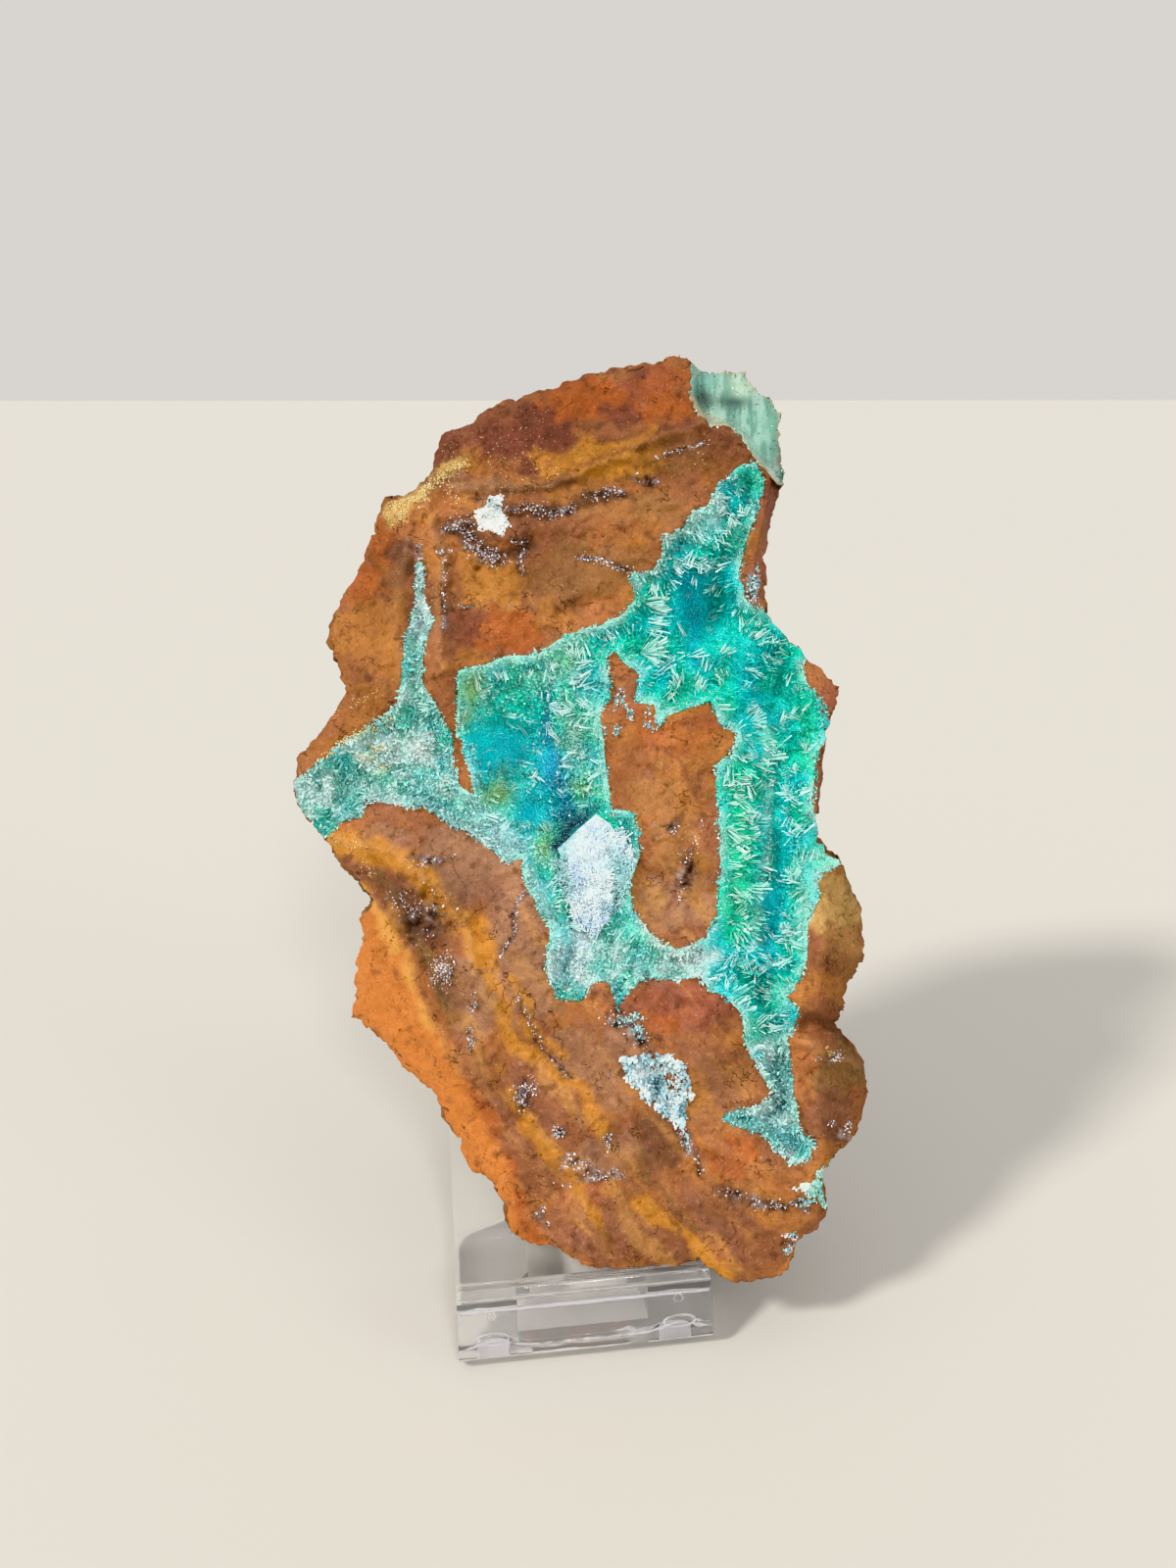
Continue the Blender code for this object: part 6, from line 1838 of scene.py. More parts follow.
def frosted_feet_and_highlight_material() -> bpy.types.Material:
    """Frosted acrylic of the feet and of the painted highlights: whitish, with a fine tooth."""
    material = bpy.data.materials.new("frosted acrylic")
    material.use_nodes = True
    tree = material.node_tree
    shader = tree.nodes["Principled BSDF"]
    place = add(tree, "ShaderNodeTexCoord")
    tooth = add(tree, "ShaderNodeTexNoise", {"Vector": place.outputs["Object"],
                                             "Scale": 1 / (0.6 * MM), "Detail": 3.0})
    tone = add(tree, "ShaderNodeMix", {0: tooth.outputs["Fac"], 6: rgba("E4E0EA"),
                                       7: rgba("FBFAFD")}, data_type="RGBA")
    tree.links.new(tone.outputs[2], shader.inputs["Base Color"])
    shader.inputs["Roughness"].default_value = 0.3
    shader.inputs["IOR"].default_value = 1.49
    shader.inputs["Transmission Weight"].default_value = 0.1
    return material


def paper_material(name: str, hex_colour: str) -> bpy.types.Material:
    """Matt pale floor with a faint tooth."""
    material = bpy.data.materials.new(name)
    material.use_nodes = True
    tree = material.node_tree
    shader = tree.nodes["Principled BSDF"]
    place = add(tree, "ShaderNodeTexCoord")
    tooth = add(tree, "ShaderNodeTexNoise", {"Vector": place.outputs["Object"],
                                             "Scale": 1 / (1.5 * MM), "Detail": 3.0})
    bump = add(tree, "ShaderNodeBump", {"Height": tooth.outputs["Fac"], "Strength": 0.15,
                                        "Distance": 0.1 * MM})
    tree.links.new(bump.outputs["Normal"], shader.inputs["Normal"])
    shader.inputs["Base Color"].default_value = rgba(hex_colour)
    shader.inputs["Roughness"].default_value = 0.75
    return material


def crust_piece(name: str, loop: Points2, lift: float, lumps: float, grain: float,
                sheet: FaceSheet, stone: StoneFrame, shop: Workshop,
                material: bpy.types.Material, tint_of: object, levels: int = 2,
                stretch: float = 1.0) -> bpy.types.Object:
    """Closed crust over a region of the stone.

    Args:
        name: the piece's name.
        loop: the region's outline.
        lift: height of its middle over the stone.
        lumps: height of its lumps.
        grain: size of its lumps.
        sheet: triangles of the face.
        stone: the stone's frame.
        shop: where pieces are made.
        material: its material.
        tint_of: function of u and v that gives linear colours.
        levels: how finely it is split.
        stretch: how far its lumps are drawn out upwards into columns.

    Returns:
        The piece.
    """
    flat, faces = sheet.region(loop, [], levels)
    u, v = roughened(flat, 2.2 if stretch == 1.0 else 1.0)
    inner = eased(distance_to_loop(loop, u, v) / 1.2)
    base = StoneFace.height(u, v)
    top = base + 0.05 + inner * (lift + lumps * fractal(u * stretch, v / stretch, grain, 3, 101))
    low = base - 0.8
    count = len(u)
    points = np.concatenate([stone.place(u, v, top), stone.place(u, v, low)])
    a, b = rim_edges(faces).T
    tris = [faces, faces[:, ::-1] + count, np.stack([b, a, a + count], axis=1),
            np.stack([b, a + count, b + count], axis=1)]
    tint = tint_of(u, v)
    return shop.piece(name, points, np.concatenate(tris), material, np.concatenate([tint, tint]))


def rounded(corners: list[tuple[float, float, float]], steps: int) -> Points2:
    """Closed outline through (y, z, radius) corners, each rounded by its radius."""
    outline = []
    count = len(corners)
    for i, (y, z, radius) in enumerate(corners):
        here = Vector((y, z))
        back = (Vector(corners[i - 1][:2]) - here).normalized()
        ahead = (Vector(corners[(i + 1) % count][:2]) - here).normalized()
        half = back.angle(ahead) / 2
        centre = here + (back + ahead).normalized() * (radius / math.sin(half))
        start = here + back * (radius / math.tan(half)) - centre
        end = here + ahead * (radius / math.tan(half)) - centre
        sweep = start.angle_signed(end)
        for k in range(steps + 1):
            turn = -sweep * k / steps
            outline.append(centre + Vector((
                start.x * math.cos(turn) - start.y * math.sin(turn),
                start.x * math.sin(turn) + start.y * math.cos(turn),
            )))
    return [tuple(p) for p in outline]


class EaselMaker:
    """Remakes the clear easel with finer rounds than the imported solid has."""

    ARC_STEPS = 14

    def __init__(self, easel: Easel, shop: Workshop) -> None:
        """Keep what the easel is built from.

        Args:
            easel: its sizes.
            shop: where pieces are made.
        """
        self.easel = easel
        self.shop = shop

    def outline(self) -> Points2:
        """Side outline of the lip, ledge and back panel."""
        e = self.easel
        lean = (math.cos(e.lip_lean), math.sin(e.lip_lean))
        lip_back = (e.lip_top_y + e.lip_top_thickness * lean[1],
                    e.lip_top_z - e.lip_top_thickness * lean[0])
        nose_y = e.lip_top_y - (e.lip_top_z - e.underside) * lean[0] / lean[1]
        inner_y = lip_back[0] - (lip_back[1] - e.ledge_top) * lean[0] / lean[1]
        top_front = e.panel_face(e.panel_length)
        top_back = e.panel_face(e.panel_length, e.panel_thickness)
        heel_y = top_back[0] - (top_back[1] - e.underside) / math.tan(e.panel_lean)
        return rounded([
            (nose_y, e.underside, 2.6),
            (heel_y, e.underside, 4.0),
            (*top_back, 1.3),
            (*top_front, 1.3),
            (e.panel_foot_y, e.ledge_top, 2.5),
            (inner_y, e.ledge_top, 1.3),
            (*lip_back, 0.4),
            (e.lip_top_y, e.lip_top_z, 0.4),
        ], self.ARC_STEPS)

    def prism(self, name: str, outline: Points2, low: float, high: float, upright: bool,
              material: bpy.types.Material) -> bpy.types.Object:
        """Solid with an outline in (y, z) between two x, or in (x, y) between two z.

        Args:
            name: its name.
            outline: its corners.
            low: first end.
            high: second end.
            upright: whether the outline is in (x, y).
            material: its material.

        Returns:
            The solid.
        """
        count = len(outline)
        points = [(a, b, end) if upright else (end, a, b) for end in (low, high)
                  for a, b in outline]
        faces = [tuple(range(count)), tuple(range(2 * count - 1, count - 1, -1))]
        faces += [(i, i + count, (i + 1) % count + count, (i + 1) % count) for i in range(count)]
        return self.shop.piece(name, points, faces, material, smooth=False)

    def leg_stations(self) -> list[tuple[Vector, Vector, float]]:
        """Front point, back point and half width of the rear leg, from panel to table."""
        e = self.easel
        half = e.panel_thickness / 2
        down = Vector((-math.cos(e.panel_lean), -math.sin(e.panel_lean)))
        behind = Vector((math.sin(e.panel_lean), -math.cos(e.panel_lean)))
        start = Vector(e.panel_face(e.window_length + 2.0, half))
        centre = start + behind * e.bend_radius
        bend = math.pi / 2 - e.panel_lean + e.leg_lean
        narrow = e.window_width / 2 - e.leg_clearance
        wide = e.window_flare / 2 - e.leg_clearance
        stations = []
        for k in range(11):
            angle = bend * k / 10
            middle = centre + e.bend_radius * (down * math.sin(angle) - behind * math.cos(angle))
            across = behind * math.cos(angle) - down * math.sin(angle)
            reach = half - 0.3 if k == 0 else half
            stations.append((middle - across * reach, middle + across * reach, narrow))
        slope = math.tan(e.leg_lean)
        width = e.panel_thickness / math.cos(e.leg_lean)
        front = stations[-1][0]
        for z, reach in ((e.foot_flare_top, narrow), (e.foot_flare_top - 2.2, wide), (e.underside, wide)):
            y = front.x + (front.y - z) * slope
            stations.append((Vector((y, z)), Vector((y + width, z)), reach))
        return stations

    def leg(self, material: bpy.types.Material) -> bpy.types.Object:
        """The rear leg as one solid."""
        stations = self.leg_stations()
        points = []
        for front, back, reach in stations:
            points += [(-reach, *front), (reach, *front), (reach, *back), (-reach, *back)]
        last = len(points) - 4
        faces = [(0, 1, 2, 3), (last + 3, last + 2, last + 1, last)]
        for i in range(0, last, 4):
            faces += [(i + k, i + 4 + k, i + 4 + (k + 1) % 4, i + (k + 1) % 4) for k in range(4)]
        return self.shop.piece("leg_form", points, faces, material, smooth=False)

    def build(self, material: bpy.types.Material) -> bpy.types.Object:
        """Make the whole easel as one clear solid.

        Args:
            material: its material.

        Returns:
            The easel.
        """
        e = self.easel
        narrow = e.window_width / 2
        wide = e.window_flare / 2
        front = e.window_front_y
        body = self.prism("clear_easel", self.outline(), -e.width / 2, e.width / 2, False, material)
        flare = self.prism("flare_cutter", [
            (-wide, front), (wide, front), (wide, front + 2.0), (narrow - 1.2, front + 6.0),
            (1.2 - narrow, front + 6.0), (-wide, front + 2.0),
        ], -2.0, 9.5, True, material)
        window = self.prism("window_cutter", [
            (front + 4.3, -2.0), (34.0, -2.0), e.panel_face(e.window_length, 7.0),
            e.panel_face(e.window_length, -3.0), (18.0, 9.0), (front + 4.3, 9.0),
        ], -narrow, narrow, False, material)
        tools = [(flare, "DIFFERENCE"), (window, "DIFFERENCE"), (self.leg(material), "UNION")]
        for tool, operation in tools:
            step = body.modifiers.new(tool.name, "BOOLEAN")
            step.operation = operation
            step.object = tool
            step.solver = "EXACT"
        depsgraph = bpy.context.evaluated_depsgraph_get()
        mesh = bpy.data.meshes.new_from_object(body.evaluated_get(depsgraph))
        body.modifiers.clear()
        body.data = mesh
        for tool, _ in tools:
            bpy.data.objects.remove(tool)
        mesh.polygons.foreach_set("use_smooth", np.full(len(mesh.polygons), True))
        mesh.set_sharp_from_angle(angle=math.radians(24))
        return body


def build_pads(easel: Easel, shop: Workshop, material: bpy.types.Material) -> bpy.types.Object:
    """Four low oval feet under the easel, slightly domed and frosted; their whitish frosting also stands as
    painted oval highlights under the nose.

    Args:
        easel: sizes of the easel.
        shop: where pieces are made.
        material: their material.

    Returns:
        The feet as one piece.
    """
    levels = [(0.86, 0.0), (1.0, 0.12), (1.0, easel.underside + 0.15)]
    points = []
    faces = []
    for x, y, diameter in ((-easel.pad_x, easel.pad_y, easel.pad_diameter),
                           (easel.pad_x, easel.pad_y, easel.pad_diameter),
                           (-easel.foot_pad_x, easel.foot_pad_y, easel.foot_pad_diameter),
                           (easel.foot_pad_x, easel.foot_pad_y, easel.foot_pad_diameter)):
        first = len(points)
        for share, z in levels:
            points += [(x + share * diameter / 2 * math.cos(a),
                        y + 0.6 * share * diameter / 2 * math.sin(a), z)
                       for a in np.linspace(0, math.tau, 33)[:-1]]
        faces.append(tuple(range(first + 31, first - 1, -1)))
        faces.append(tuple(range(first + 64, first + 96)))
        faces += [(first + 32 * r + k, first + 32 * r + (k + 1) % 32,
                   first + 32 * (r + 1) + (k + 1) % 32, first + 32 * (r + 1) + k)
                  for r in (0, 1) for k in range(32)]
    return shop.piece("ledge_pads", points, faces, material, smooth=False)


def build_painted_highlights(easel: Easel, outline: Points2, shop: Workshop, material: bpy.types.Material
                ) -> bpy.types.Object:
    """Painted highlights: pale lines where the lip's front would catch the light, and rings in front of the two
    front feet.

    Args:
        easel: sizes of the easel.
        outline: side outline of its lip, ledge and panel.
        shop: where pieces are made.
        material: their material.

    Returns:
        The lines and rings as one piece.
    """
    arc = EaselMaker.ARC_STEPS + 1
    nose, crest = (np.array(outline[corner * arc + arc // 2]) for corner in (0, 7))
    x = np.linspace(0.3 - easel.width / 2, easel.width / 2 - 0.3, 81)
    flicker = fractal(x, 0 * x, 3.0, 3, 151, 0.7)
    swell = np.exp(-((np.abs(x) - easel.pad_x) / 3.2) ** 2)
    face = nose - crest
    below = crest + 0.31 * face
    # Painted highlight lines: one straight across the lip's front, widest in the middle, and two wavy ones low on
    # the nose that swell in front of the feet
    runs = [
        (np.column_stack([x, x * 0 + below[0], x * 0 + below[1]]),
         0.24 + 0.16 * np.exp(-(x / 9) ** 2) + 0.02 * flicker),
        (np.column_stack([x, crest + (0.84 - 0.10 * swell)[:, None] * face]),
         0.20 * flicker + 0.08 * swell + 0.14),
        (np.column_stack([x, crest + (0.78 - 0.12 * swell)[:, None] * face]), 0.22 * flicker),
    ]
    # Painted highlight rings, a small and a large one in front of each front foot
    ring = np.linspace(0, math.tau, 25)
    for side in (-1, 1):
        along = face / np.linalg.norm(face)
        for share, wide, high, radius in ((0.39, 0.7, 0.6, 0.09), (0.72, 2.5, 0.9, 0.22)):
            runs.append((np.column_stack([side * 14.7 + wide * np.cos(ring), crest + share * face
                                          + high * np.sin(ring)[:, None] * along]),
                         radius * (0.75 + 0.25 * np.sin(2.3 * ring + side))))
    points = []
    faces = []
    for path, radius in runs:
        ahead = np.gradient(path, axis=0)
        ahead = ahead / np.linalg.norm(ahead, axis=1)[:, None]
        across = np.cross(ahead, (0.0, -0.9, 0.44))
        across = across / np.linalg.norm(across, axis=1)[:, None]
        out = np.cross(across, ahead)
        first = len(points)
        radius = np.maximum(0.015, radius)[:, None]
        for a in np.linspace(0, math.tau, 7)[:-1]:
            points += (path + radius * (math.cos(a) * across + math.sin(a) * out)).tolist()
        count = len(path)
        for k in range(6):
            low, high = first + k * count, first + (k + 1) % 6 * count
            faces += [(low + i, high + i, high + i + 1, low + i + 1) for i in range(count - 1)]
        faces.append(tuple(first + k * count for k in range(6)))
        faces.append(tuple(first + k * count + count - 1 for k in range(5, -1, -1)))
    return shop.piece("bright_edges", points, faces, material)


def studio(easel: Easel) -> None:
    """Floor, soft light and the camera.

    Args:
        easel: the easel, whose frame the camera's place is in.
    """
    mesh = bpy.data.meshes.new("floor")
    mesh.from_pydata([(-30, -30, 0), (30, -30, 0), (30, 30, 0), (-30, 30, 0)], [], [(0, 1, 2, 3)])
    mesh.materials.append(paper_material("matt pale floor", "C4C2BC"))
    floor = bpy.data.objects.new("floor", mesh)
    bpy.context.scene.collection.objects.link(floor)

    scene = bpy.context.scene
    scene.view_settings.view_transform = "Khronos PBR Neutral"
    world = bpy.data.worlds.new("studio")
    scene.world = world
    world.use_nodes = True
    sky = world.node_tree.nodes["Background"]
    sky.inputs["Color"].default_value = rgba("EEEBE6")
    sky.inputs["Strength"].default_value = 0.85

    def lamp(name: str, place: tuple[float, float, float], angle: float, power: float,
             hex_colour: str) -> None:
        """Distant soft light aimed at the stone.

        Args:
            name: its name.
            place: direction it stands in.
            angle: how wide it looks, in degrees.
            power: its strength.
            hex_colour: its colour.
        """
        data = bpy.data.lights.new(name, "SUN")
        data.energy = power
        data.angle = math.radians(angle)
        data.color = tuple(linear(hex_colour))
        light = bpy.data.objects.new(name, data)
        light.rotation_euler = (-Vector(place)).to_track_quat("-Z", "Y").to_euler()
        scene.collection.objects.link(light)

    lamp("key", (-0.52, -0.22, 0.50), 9.0, 2.7, "FFF9F2")
    lamp("front", (0.08, -0.55, 0.36), 10.0, 1.15, "FFFFFF")
    lamp("fill", (0.45, -0.35, 0.20), 25.0, 0.5, "F4F7FF")

    data = bpy.data.cameras.new("camera")
    data.sensor_width = 36
    data.lens = 27
    camera = bpy.data.objects.new("camera", data)
    camera.location = (np.array([-19.7, -145.0, 143.4]) + easel.origin) * MM
    camera.rotation_euler = (math.radians(90 - 18.33), 0, math.radians(-7.74))
    scene.collection.objects.link(camera)
    scene.camera = camera


def finish_piece(piece: bpy.types.Object, node: str) -> None:
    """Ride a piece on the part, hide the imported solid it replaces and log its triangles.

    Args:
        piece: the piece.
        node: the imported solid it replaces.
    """
    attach(piece, "root")
    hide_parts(node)
    tris = sum(len(p.vertices) - 2 for p in piece.data.polygons)
    LOG.info("%s: %d triangles", piece.name, tris)


def scatter_on_stone(spots: list, veins: list, rng: np.random.Generator
                     ) -> tuple[Array, Array]:
    """Places scattered in spots and along veins of the stone.

    Args:
        spots: centre, spread and number of each spot.
        veins: path, half width and number of each vein.
        rng: the random generator.

    Returns:
        Places u and v.
    """
    us = []
    vs = []
    for cu, cv, su, sv, count in spots:
        count = int(1.8 * count)
        clump = rng.normal(0, 0.8, (2, max(3, count // 14)))
        pick = rng.integers(0, clump.shape[1], count)
        us.append(cu + su * (clump[0][pick] + 0.25 * rng.normal(0, 1, count)))
        vs.append(cv + sv * (clump[1][pick] + 0.25 * rng.normal(0, 1, count)))
    for path, width, count in veins:
        corners = np.array(path, dtype=float)
        steps = np.r_[0, np.cumsum(np.hypot(*np.diff(corners, axis=0).T))]
        count = int(1.8 * count)
        at = rng.uniform(0, steps[-1], count)
        us.append(np.interp(at, steps, corners[:, 0]) + width * rng.normal(0, 1, count)
                  + 0.35 * noise(at / 2, at * 0, 3))
        vs.append(np.interp(at, steps, corners[:, 1]) + width * rng.normal(0, 1, count)
                  + 0.35 * noise(at / 2, at * 0, 9))
    u = np.concatenate(us)
    v = np.concatenate(vs)
    keep = (distance_to_loop(OUTLINE, u, v) > 0.4) & (StoneFace.hollow_distance(u, v) < 0.4)
    return u[keep], v[keep]


def build_specks(grower: CrystalGrower, stone: StoneFrame, grey: bpy.types.Material,
                 gold: bpy.types.Material) -> None:
    """Druse and gold grains on the bare stone."""
    for name, spots, veins, material, low, high, palette in (
            ("grey_druse", DRUSE_SPOTS, DRUSE_VEINS, grey, 0.12, 0.36,
             ["F6F4F8", "E4E0E8", "A8A2B0", "64606E", "34303A", "EDE4E0", "8E7A78"]),
            ("gold_grains", GOLD_SPOTS, GOLD_VEINS, gold, 0.10, 0.26,
             ["E8D08A", "C9A24A", "F3E6B8"]),
            ("teal_grains", TEAL_SPOTS, [], grey, 0.16, 0.4,
             ["DDEFF0", "8CCCC8", "5AA8A8", "B8DCDC", "3C7E84"])):
        rng = np.random.default_rng(len(name))
        u, v = scatter_on_stone(spots, veins, rng)
        w = StoneFace.height(u, v) + StoneFace.relief(u, v)
        count = len(u)
        grow = stone.direction(rng.normal(0, 0.6, count), rng.normal(0, 0.6, count),
                               np.full(count, 0.8))
        girth = rng.uniform(low, high, count) * rng.uniform(0.6, 1, count)
        reach = girth * rng.uniform(0.9, 2.0, count)
        colours = np.array([linear(c) for c in palette])
        tint = colours[rng.integers(0, len(colours), count)]
        piece = grower.grow(name, Shape.GRAIN, material, stone.place(u, v, w - 0.08), grow, reach,
                            girth, tint, 5)
        finish_piece(piece, "matrix")


def main() -> None:
    """Build the stone, its crystals, the easel and the studio."""
    logging.basicConfig(level=logging.INFO)
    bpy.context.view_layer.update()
    easel = Easel()
    stone = StoneFrame(easel)
    shop = Workshop(easel)
    sheet = FaceSheet(3.5, 3)
    grower = CrystalGrower(shop, stone)

    rock = Limonite(sheet, stone, shop).build(limonite_material())
    finish_piece(rock, "matrix")

    needle = crystal_material(Glassiness("aurichalcite needles", 0.24, 1.65, 0.0, "C8F4EC", 0.14))
    blade = crystal_material(Glassiness("hemimorphite blades", 0.12, 1.62, 0.04, "FFFFFF", 0.4, 0.4))
    frost = crystal_material(Glassiness("frosted fringe", 0.25, 1.62, 0.0, "DCFCF6", 0.2))
    gold = crystal_material(Glassiness("gold grains", 0.25, 1.6, 0.0, "FFF3C8", 0.3, 0.5))
    lining = CrystalLining(sheet, stone, shop, grower)
    for piece in (
            lining.bed(ground_material()),
            lining.needles("aurichalcite_felt", needle, 120000, 29, 1.05, 0.24, Shape.SPIKE, 0.02),
            lining.needles("aurichalcite_needles", needle, 16000, 53, 1.8, 0.25, Shape.NEEDLE,
                           0.15),
            lining.sprays(blade, 4400),
            lining.fans(blade),
            lining.fringe(frost),
            lining.grains(frost),
            lining.gilding(gold)):
        finish_piece(piece, "aurichalcite_crust")

    white = crystal_material(Glassiness("white hemimorphite", 0.2, 1.62, 0.0, "FFFFFF", 0.3))
    build_white_block(sheet, stone, shop, grower, white)
    build_small_crusts(sheet, stone, shop, grower, ground_material(), white, blade)
    build_specks(grower, stone, white, gold)

    maker = EaselMaker(easel, shop)
    # Frosted acrylic of the feet, also carrying the painted highlight lines and rings
    frosted = frosted_feet_and_highlight_material()
    finish_piece(maker.build(acrylic_material()), "stand")
    finish_piece(build_pads(easel, shop, frosted), "stand")
    finish_piece(build_painted_highlights(easel, maker.outline(), shop, frosted), "stand")
    studio(easel)


def plain_tint(*palette: str) -> object:
    """Function of u and v that mottles between hex colours."""
    colours = np.array([linear(c) for c in palette])

    def tint(u: Array, v: Array) -> Array:
        """Linear colour at each place."""
        at = (0.5 + 0.5 * np.clip(fractal(u, v, 3.0, 3, 111), -0.99, 0.99)) * (len(colours) - 1)
        first = np.floor(at).astype(int)
        share = (at - first)[:, None]
        return colours[first] * (1 - share) + colours[np.minimum(first + 1, len(colours) - 1)] * share

    return tint


def build_white_block(sheet: FaceSheet, stone: StoneFrame, shop: Workshop, grower: CrystalGrower,
                      material: bpy.types.Material) -> None:
    """White block of hemimorphite: facets covered by a fan of fine blades."""
    flat, faces = sheet.region(BLOCK, [], 3)
    u, v = flat.T

    def top(u: Array, v: Array) -> Array:
        """Height of the block's face."""
        facets = np.minimum.reduce([
            -0.6 + 0.10 * (u - 1) + 0.12 * (v + 12),
            -0.2 - 0.42 * (u - 1.5) + 0.02 * (v + 12),
            -0.4 - 0.05 * (u - 1) + 0.30 * (v + 19),
            -0.2 + 0.20 * (u + 3.5) - 0.04 * (v + 10),
        ])
        grain = 0.42 * fractal(u, v, 1.4, 4, 121, 0.7)
        return np.maximum(facets, StoneFace.height(u, v) + 1.8) + grain

    def tint_of(u: Array, v: Array) -> Array:
        """Snow white, bluish in blotches and at the lower end."""
        blotch = eased(fractal(u, v, 2.0, 4, 122, 0.85) * 1.8 - 0.4)
        colour = linear("E6F8FF") + (0.6 * blotch)[:, None] * (linear("A2C4E8") - linear("E6F8FF"))
        core = distance_to_path([(1.4, -5.5), (0.4, -12), (0.2, -18), (0.0, -22)], u, v)
        ragged = fractal(u, v, 1.8, 4, 124, 0.75)
        side = eased((core - 2.4) / 1.6 + 0.7 * ragged) * eased((-7.5 - v - 0.5 * u) / 3)
        colour = colour + (0.75 * side)[:, None] * (linear("7CC4C4") - colour)
        low = eased((-20.5 - v) / 2.5 + 0.8 * ragged)
        return colour + (0.45 * low)[:, None] * (linear("90B4D2") - colour)

    count = len(u)
    points = np.concatenate([stone.place(u, v, top(u, v)),
                             stone.place(u, v, StoneFace.height(u, v) - 0.5)])
    a, b = rim_edges(faces).T
    tris = [faces, faces[:, ::-1] + count, np.stack([b, a, a + count], axis=1),
            np.stack([b, a + count, b + count], axis=1)]
    tint = tint_of(u, v)
    block = shop.piece("white_hemimorphite", points, np.concatenate(tris), material,
                       np.concatenate([tint, tint]), smooth=False)
    finish_piece(block, "hemimorphite_block")

    rng = np.random.default_rng(43)
    u = rng.uniform(-5.5, 7, 12000)
    v = rng.uniform(-24, -4.5, 12000)
    keep = distance_to_loop(BLOCK, u, v) > -1.1 + 0.9 * fractal(u, v, 1.5, 3, 127)
    crest = BLOCK[-2:] + BLOCK[:2]
    edge = distance_to_path(crest, u, v)
    keep &= (distance_to_loop(BLOCK, u, v) > 0.3) | (edge > 1.7)
    u, v, edge = u[keep], v[keep], edge[keep]
    count = len(u)
    inner = eased(distance_to_loop(BLOCK, u, v) / 1.4)
    fan = 0.7 * noise(u / 1.6, v / 1.6, 125)
    grow = stone.direction(inner * (0.12 * (u - 0.5) + fan) + rng.normal(0, 0.3, count),
                           inner * (0.08 * (v + 17) + 0.2 - fan) + rng.normal(0, 0.3, count),
                           np.full(count, 0.42))
    tint = tint_of(u, v) * rng.uniform(0.75, 1.3, count)[:, None]
    blades = grower.grow("white_blades", Shape.NEEDLE, material,
                         stone.place(u, v, top(u, v) - 0.2), grow,
                         rng.uniform(0.5, 1.4, count) * (0.3 + 0.7 * eased(edge / 2.5)),
                         rng.uniform(0.12, 0.3, count),
                         np.clip(tint, 0, 1), 43)
    finish_piece(blades, "hemimorphite_block")


def plate_tint(u: Array, v: Array) -> Array:
    """Glassy grey-green columns, painted shade in two hollows, ochre at the lower rim, rusty at the right."""
    wu = u + 0.5 * fractal(u, v, 2.5, 3, 131)
    wv = v + 0.5 * fractal(u, v, 2.5, 3, 132)
    column = eased(0.5 + 0.9 * fractal(u * 2.0, v * 0.45, 2.0, 4, 133, 0.65))[:, None]
    colour = linear("629A88") * (1 - column) + linear("A0CAB8") * column
    # Spots of the plate; the two dark ones are painted shade in two hollows
    for cu, cv, su, sv, hex_colour, strength in (
            (23.8, 62.0, 1.8, 2.0, "C4DEC6", 0.8), (18.4, 59.6, 1.7, 1.4, "26413C", 0.95),
            (22.6, 59.5, 2.4, 1.0, "34564F", 0.9), (30.6, 51.0, 1.0, 2.2, "74402C", 0.95),
            (28.0, 56.0, 2.0, 2.0, "7FBBA2", 0.6), (19.5, 63.0, 1.6, 1.6, "86BCB0", 0.6)):
        mask = strength * np.exp(-((wu - cu) / su) ** 2 - ((wv - cv) / sv) ** 2)
        colour = colour + mask[:, None] * (linear(hex_colour) - colour)
    lower = [(16.0, 60.5), (17.2, 57.6), (21.6, 55.8), (25.6, 51.2), (29.6, 46.4)]
    upper = [(16.8, 65.6), (20.5, 64.3), (24.5, 64.3), (25.6, 61.9), (28.6, 60.0), (30.1, 57.5),
             (30.1, 53)]
    rim = np.exp(-(distance_to_path(lower, wu, wv) / 0.7) ** 2)
    rim = np.maximum(rim, 0.8 * np.exp(-(distance_to_path(upper, wu, wv) / 0.45) ** 2))
    return colour + (0.75 * rim)[:, None] * (linear("B49A6E") - colour)


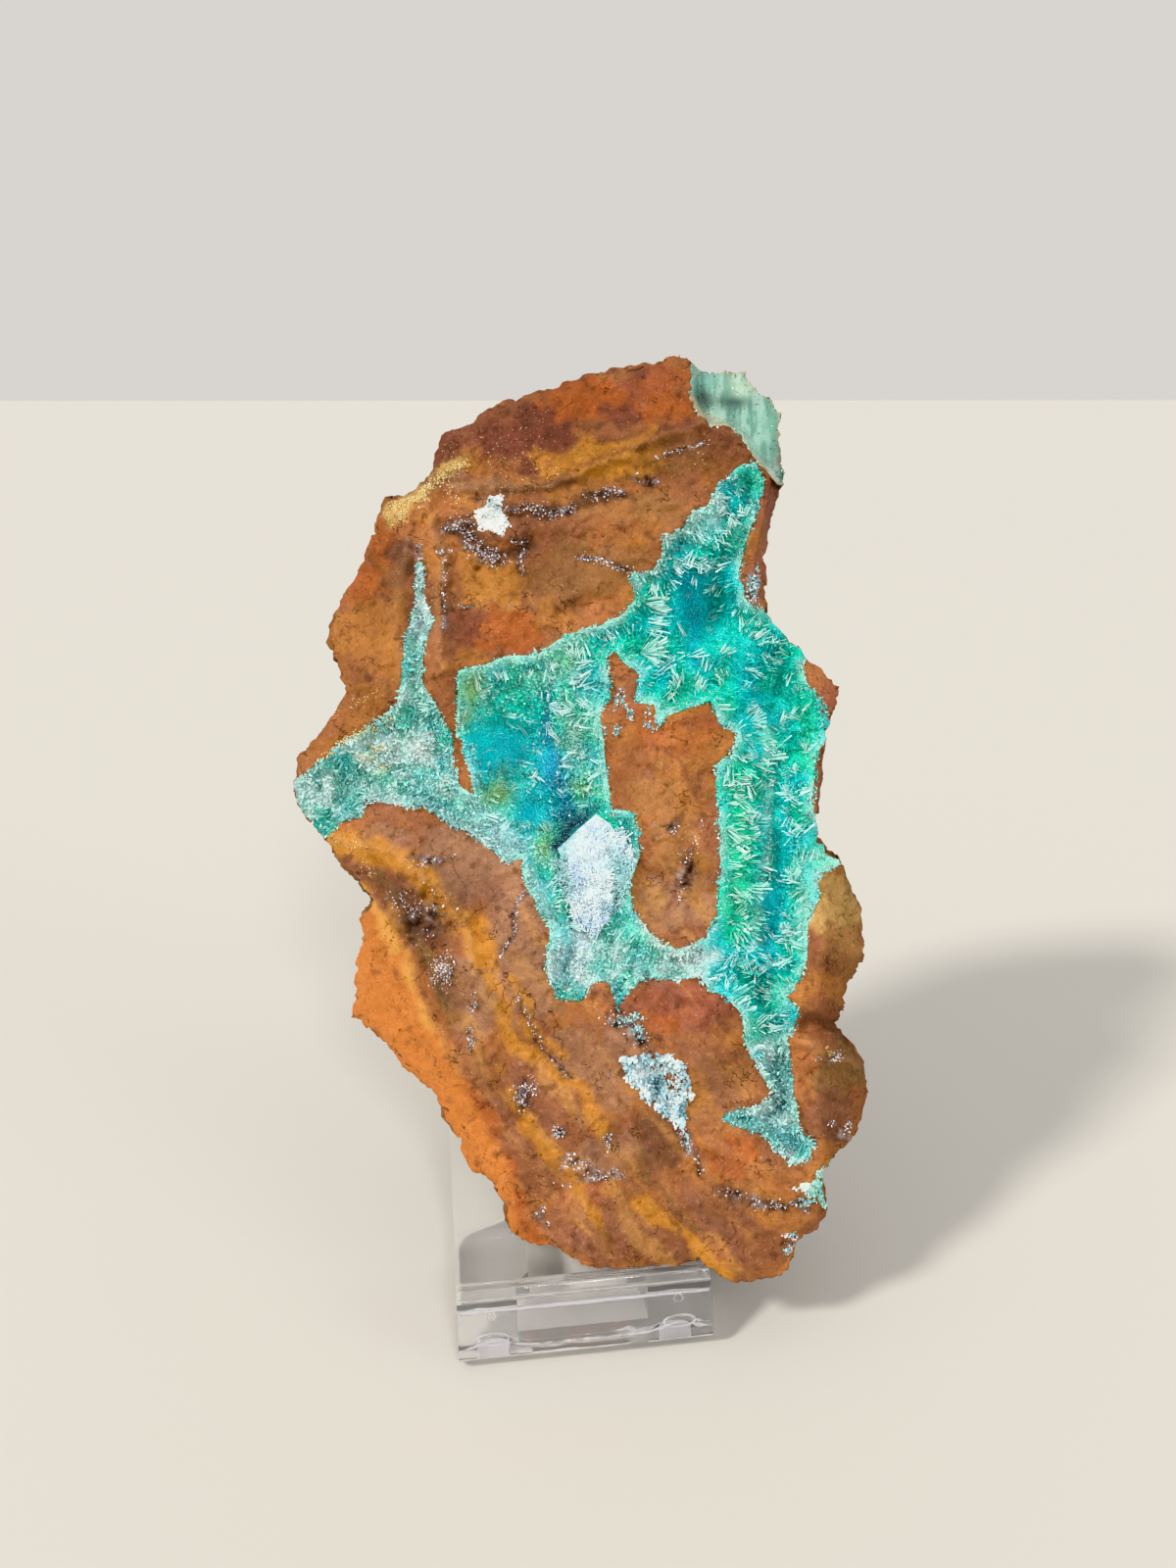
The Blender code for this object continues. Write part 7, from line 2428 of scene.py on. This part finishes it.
def build_small_crusts(sheet: FaceSheet, stone: StoneFrame, shop: Workshop, grower: CrystalGrower,
                       ground: bpy.types.Material, white: bpy.types.Material,
                       glass: bpy.types.Material) -> None:
    """The crystal plate on the edge and the small druses of the lower and upper face."""
    rows = (
        ("edge_plate", EDGE_PLATE, "edge_crust", "green_crust", 1.3, 0.42, 3.4, 1500, 0.24, 0.26,
         ()),
        ("pocket_crystals", POCKET, "pocket_druse", "teal_druse", 0.6, 0.45, 1.6, 1700, 1.0, 0.62,
         ("4F8792", "A6CBD2", "EAF2F2", "7FAFBC", "C6DEE2")),
        ("white_spot", WHITE_SPOT, "white_druse", "white_druse", 0.8, 0.5, 0.9, 1500, 0.5, 0.34,
         ("D2DEDE", "FAFDFC", "EEF4F3", "B4C4C6")),
        ("corner_crystals", CORNER_SPOT, "corner_druse", "corner_crust", 0.5, 0.3, 1.2, 900, 0.7,
         0.36, ("3FAA98", "9CD2C6", "DFEFEA")),
    )
    for index, (name, loop, node, slot, lift, lumps, grain, count, reach, girth, palette) in \
            enumerate(rows):
        tint_of = plain_tint(*palette) if palette else plate_tint
        piece = crust_piece(name + "_ground", loop, lift, lumps, grain, sheet, stone, shop,
                            ground if palette else glass, tint_of, 3 if palette else 4,
                            1.0 if palette else 1.7)
        finish_piece(piece, node)
        rng = np.random.default_rng(61 + index)
        low = np.min(loop, axis=0)
        high = np.max(loop, axis=0)
        u = rng.uniform(low[0] - 1, high[0] + 1, count)
        v = rng.uniform(low[1] - 1, high[1] + 1, count)
        ragged = 0.45 * fractal(u, v, 1.4, 3, 103)
        keep = distance_to_loop(loop, u, v) > -0.15 + ragged
        keep &= distance_to_loop(OUTLINE, u, v) > 0.4
        u, v = u[keep], v[keep]
        inner = eased(distance_to_loop(loop, u, v) / 1.2)
        drawn = 1.0 if palette else 1.7
        w = StoneFace.height(u, v) + inner * (lift + lumps * fractal(u * drawn, v / drawn, grain, 3,
                                                                     101))
        number = len(u)
        grow = stone.direction(rng.normal(0, 0.45, number), rng.normal(0, 0.45, number),
                               np.full(number, 0.8))
        tint = tint_of(u, v) * rng.uniform(0.7, 1.25, number)[:, None]
        crystals = grower.grow(name, Shape.GRAIN, white, stone.place(u, v, w - 0.15), grow,
                               reach * rng.uniform(0.5, 1.3, number),
                               girth * rng.uniform(0.6, 1.5, number), np.clip(tint, 0, 1), index)
        finish_piece(crystals, node)


if __name__ == "__main__":
    main()
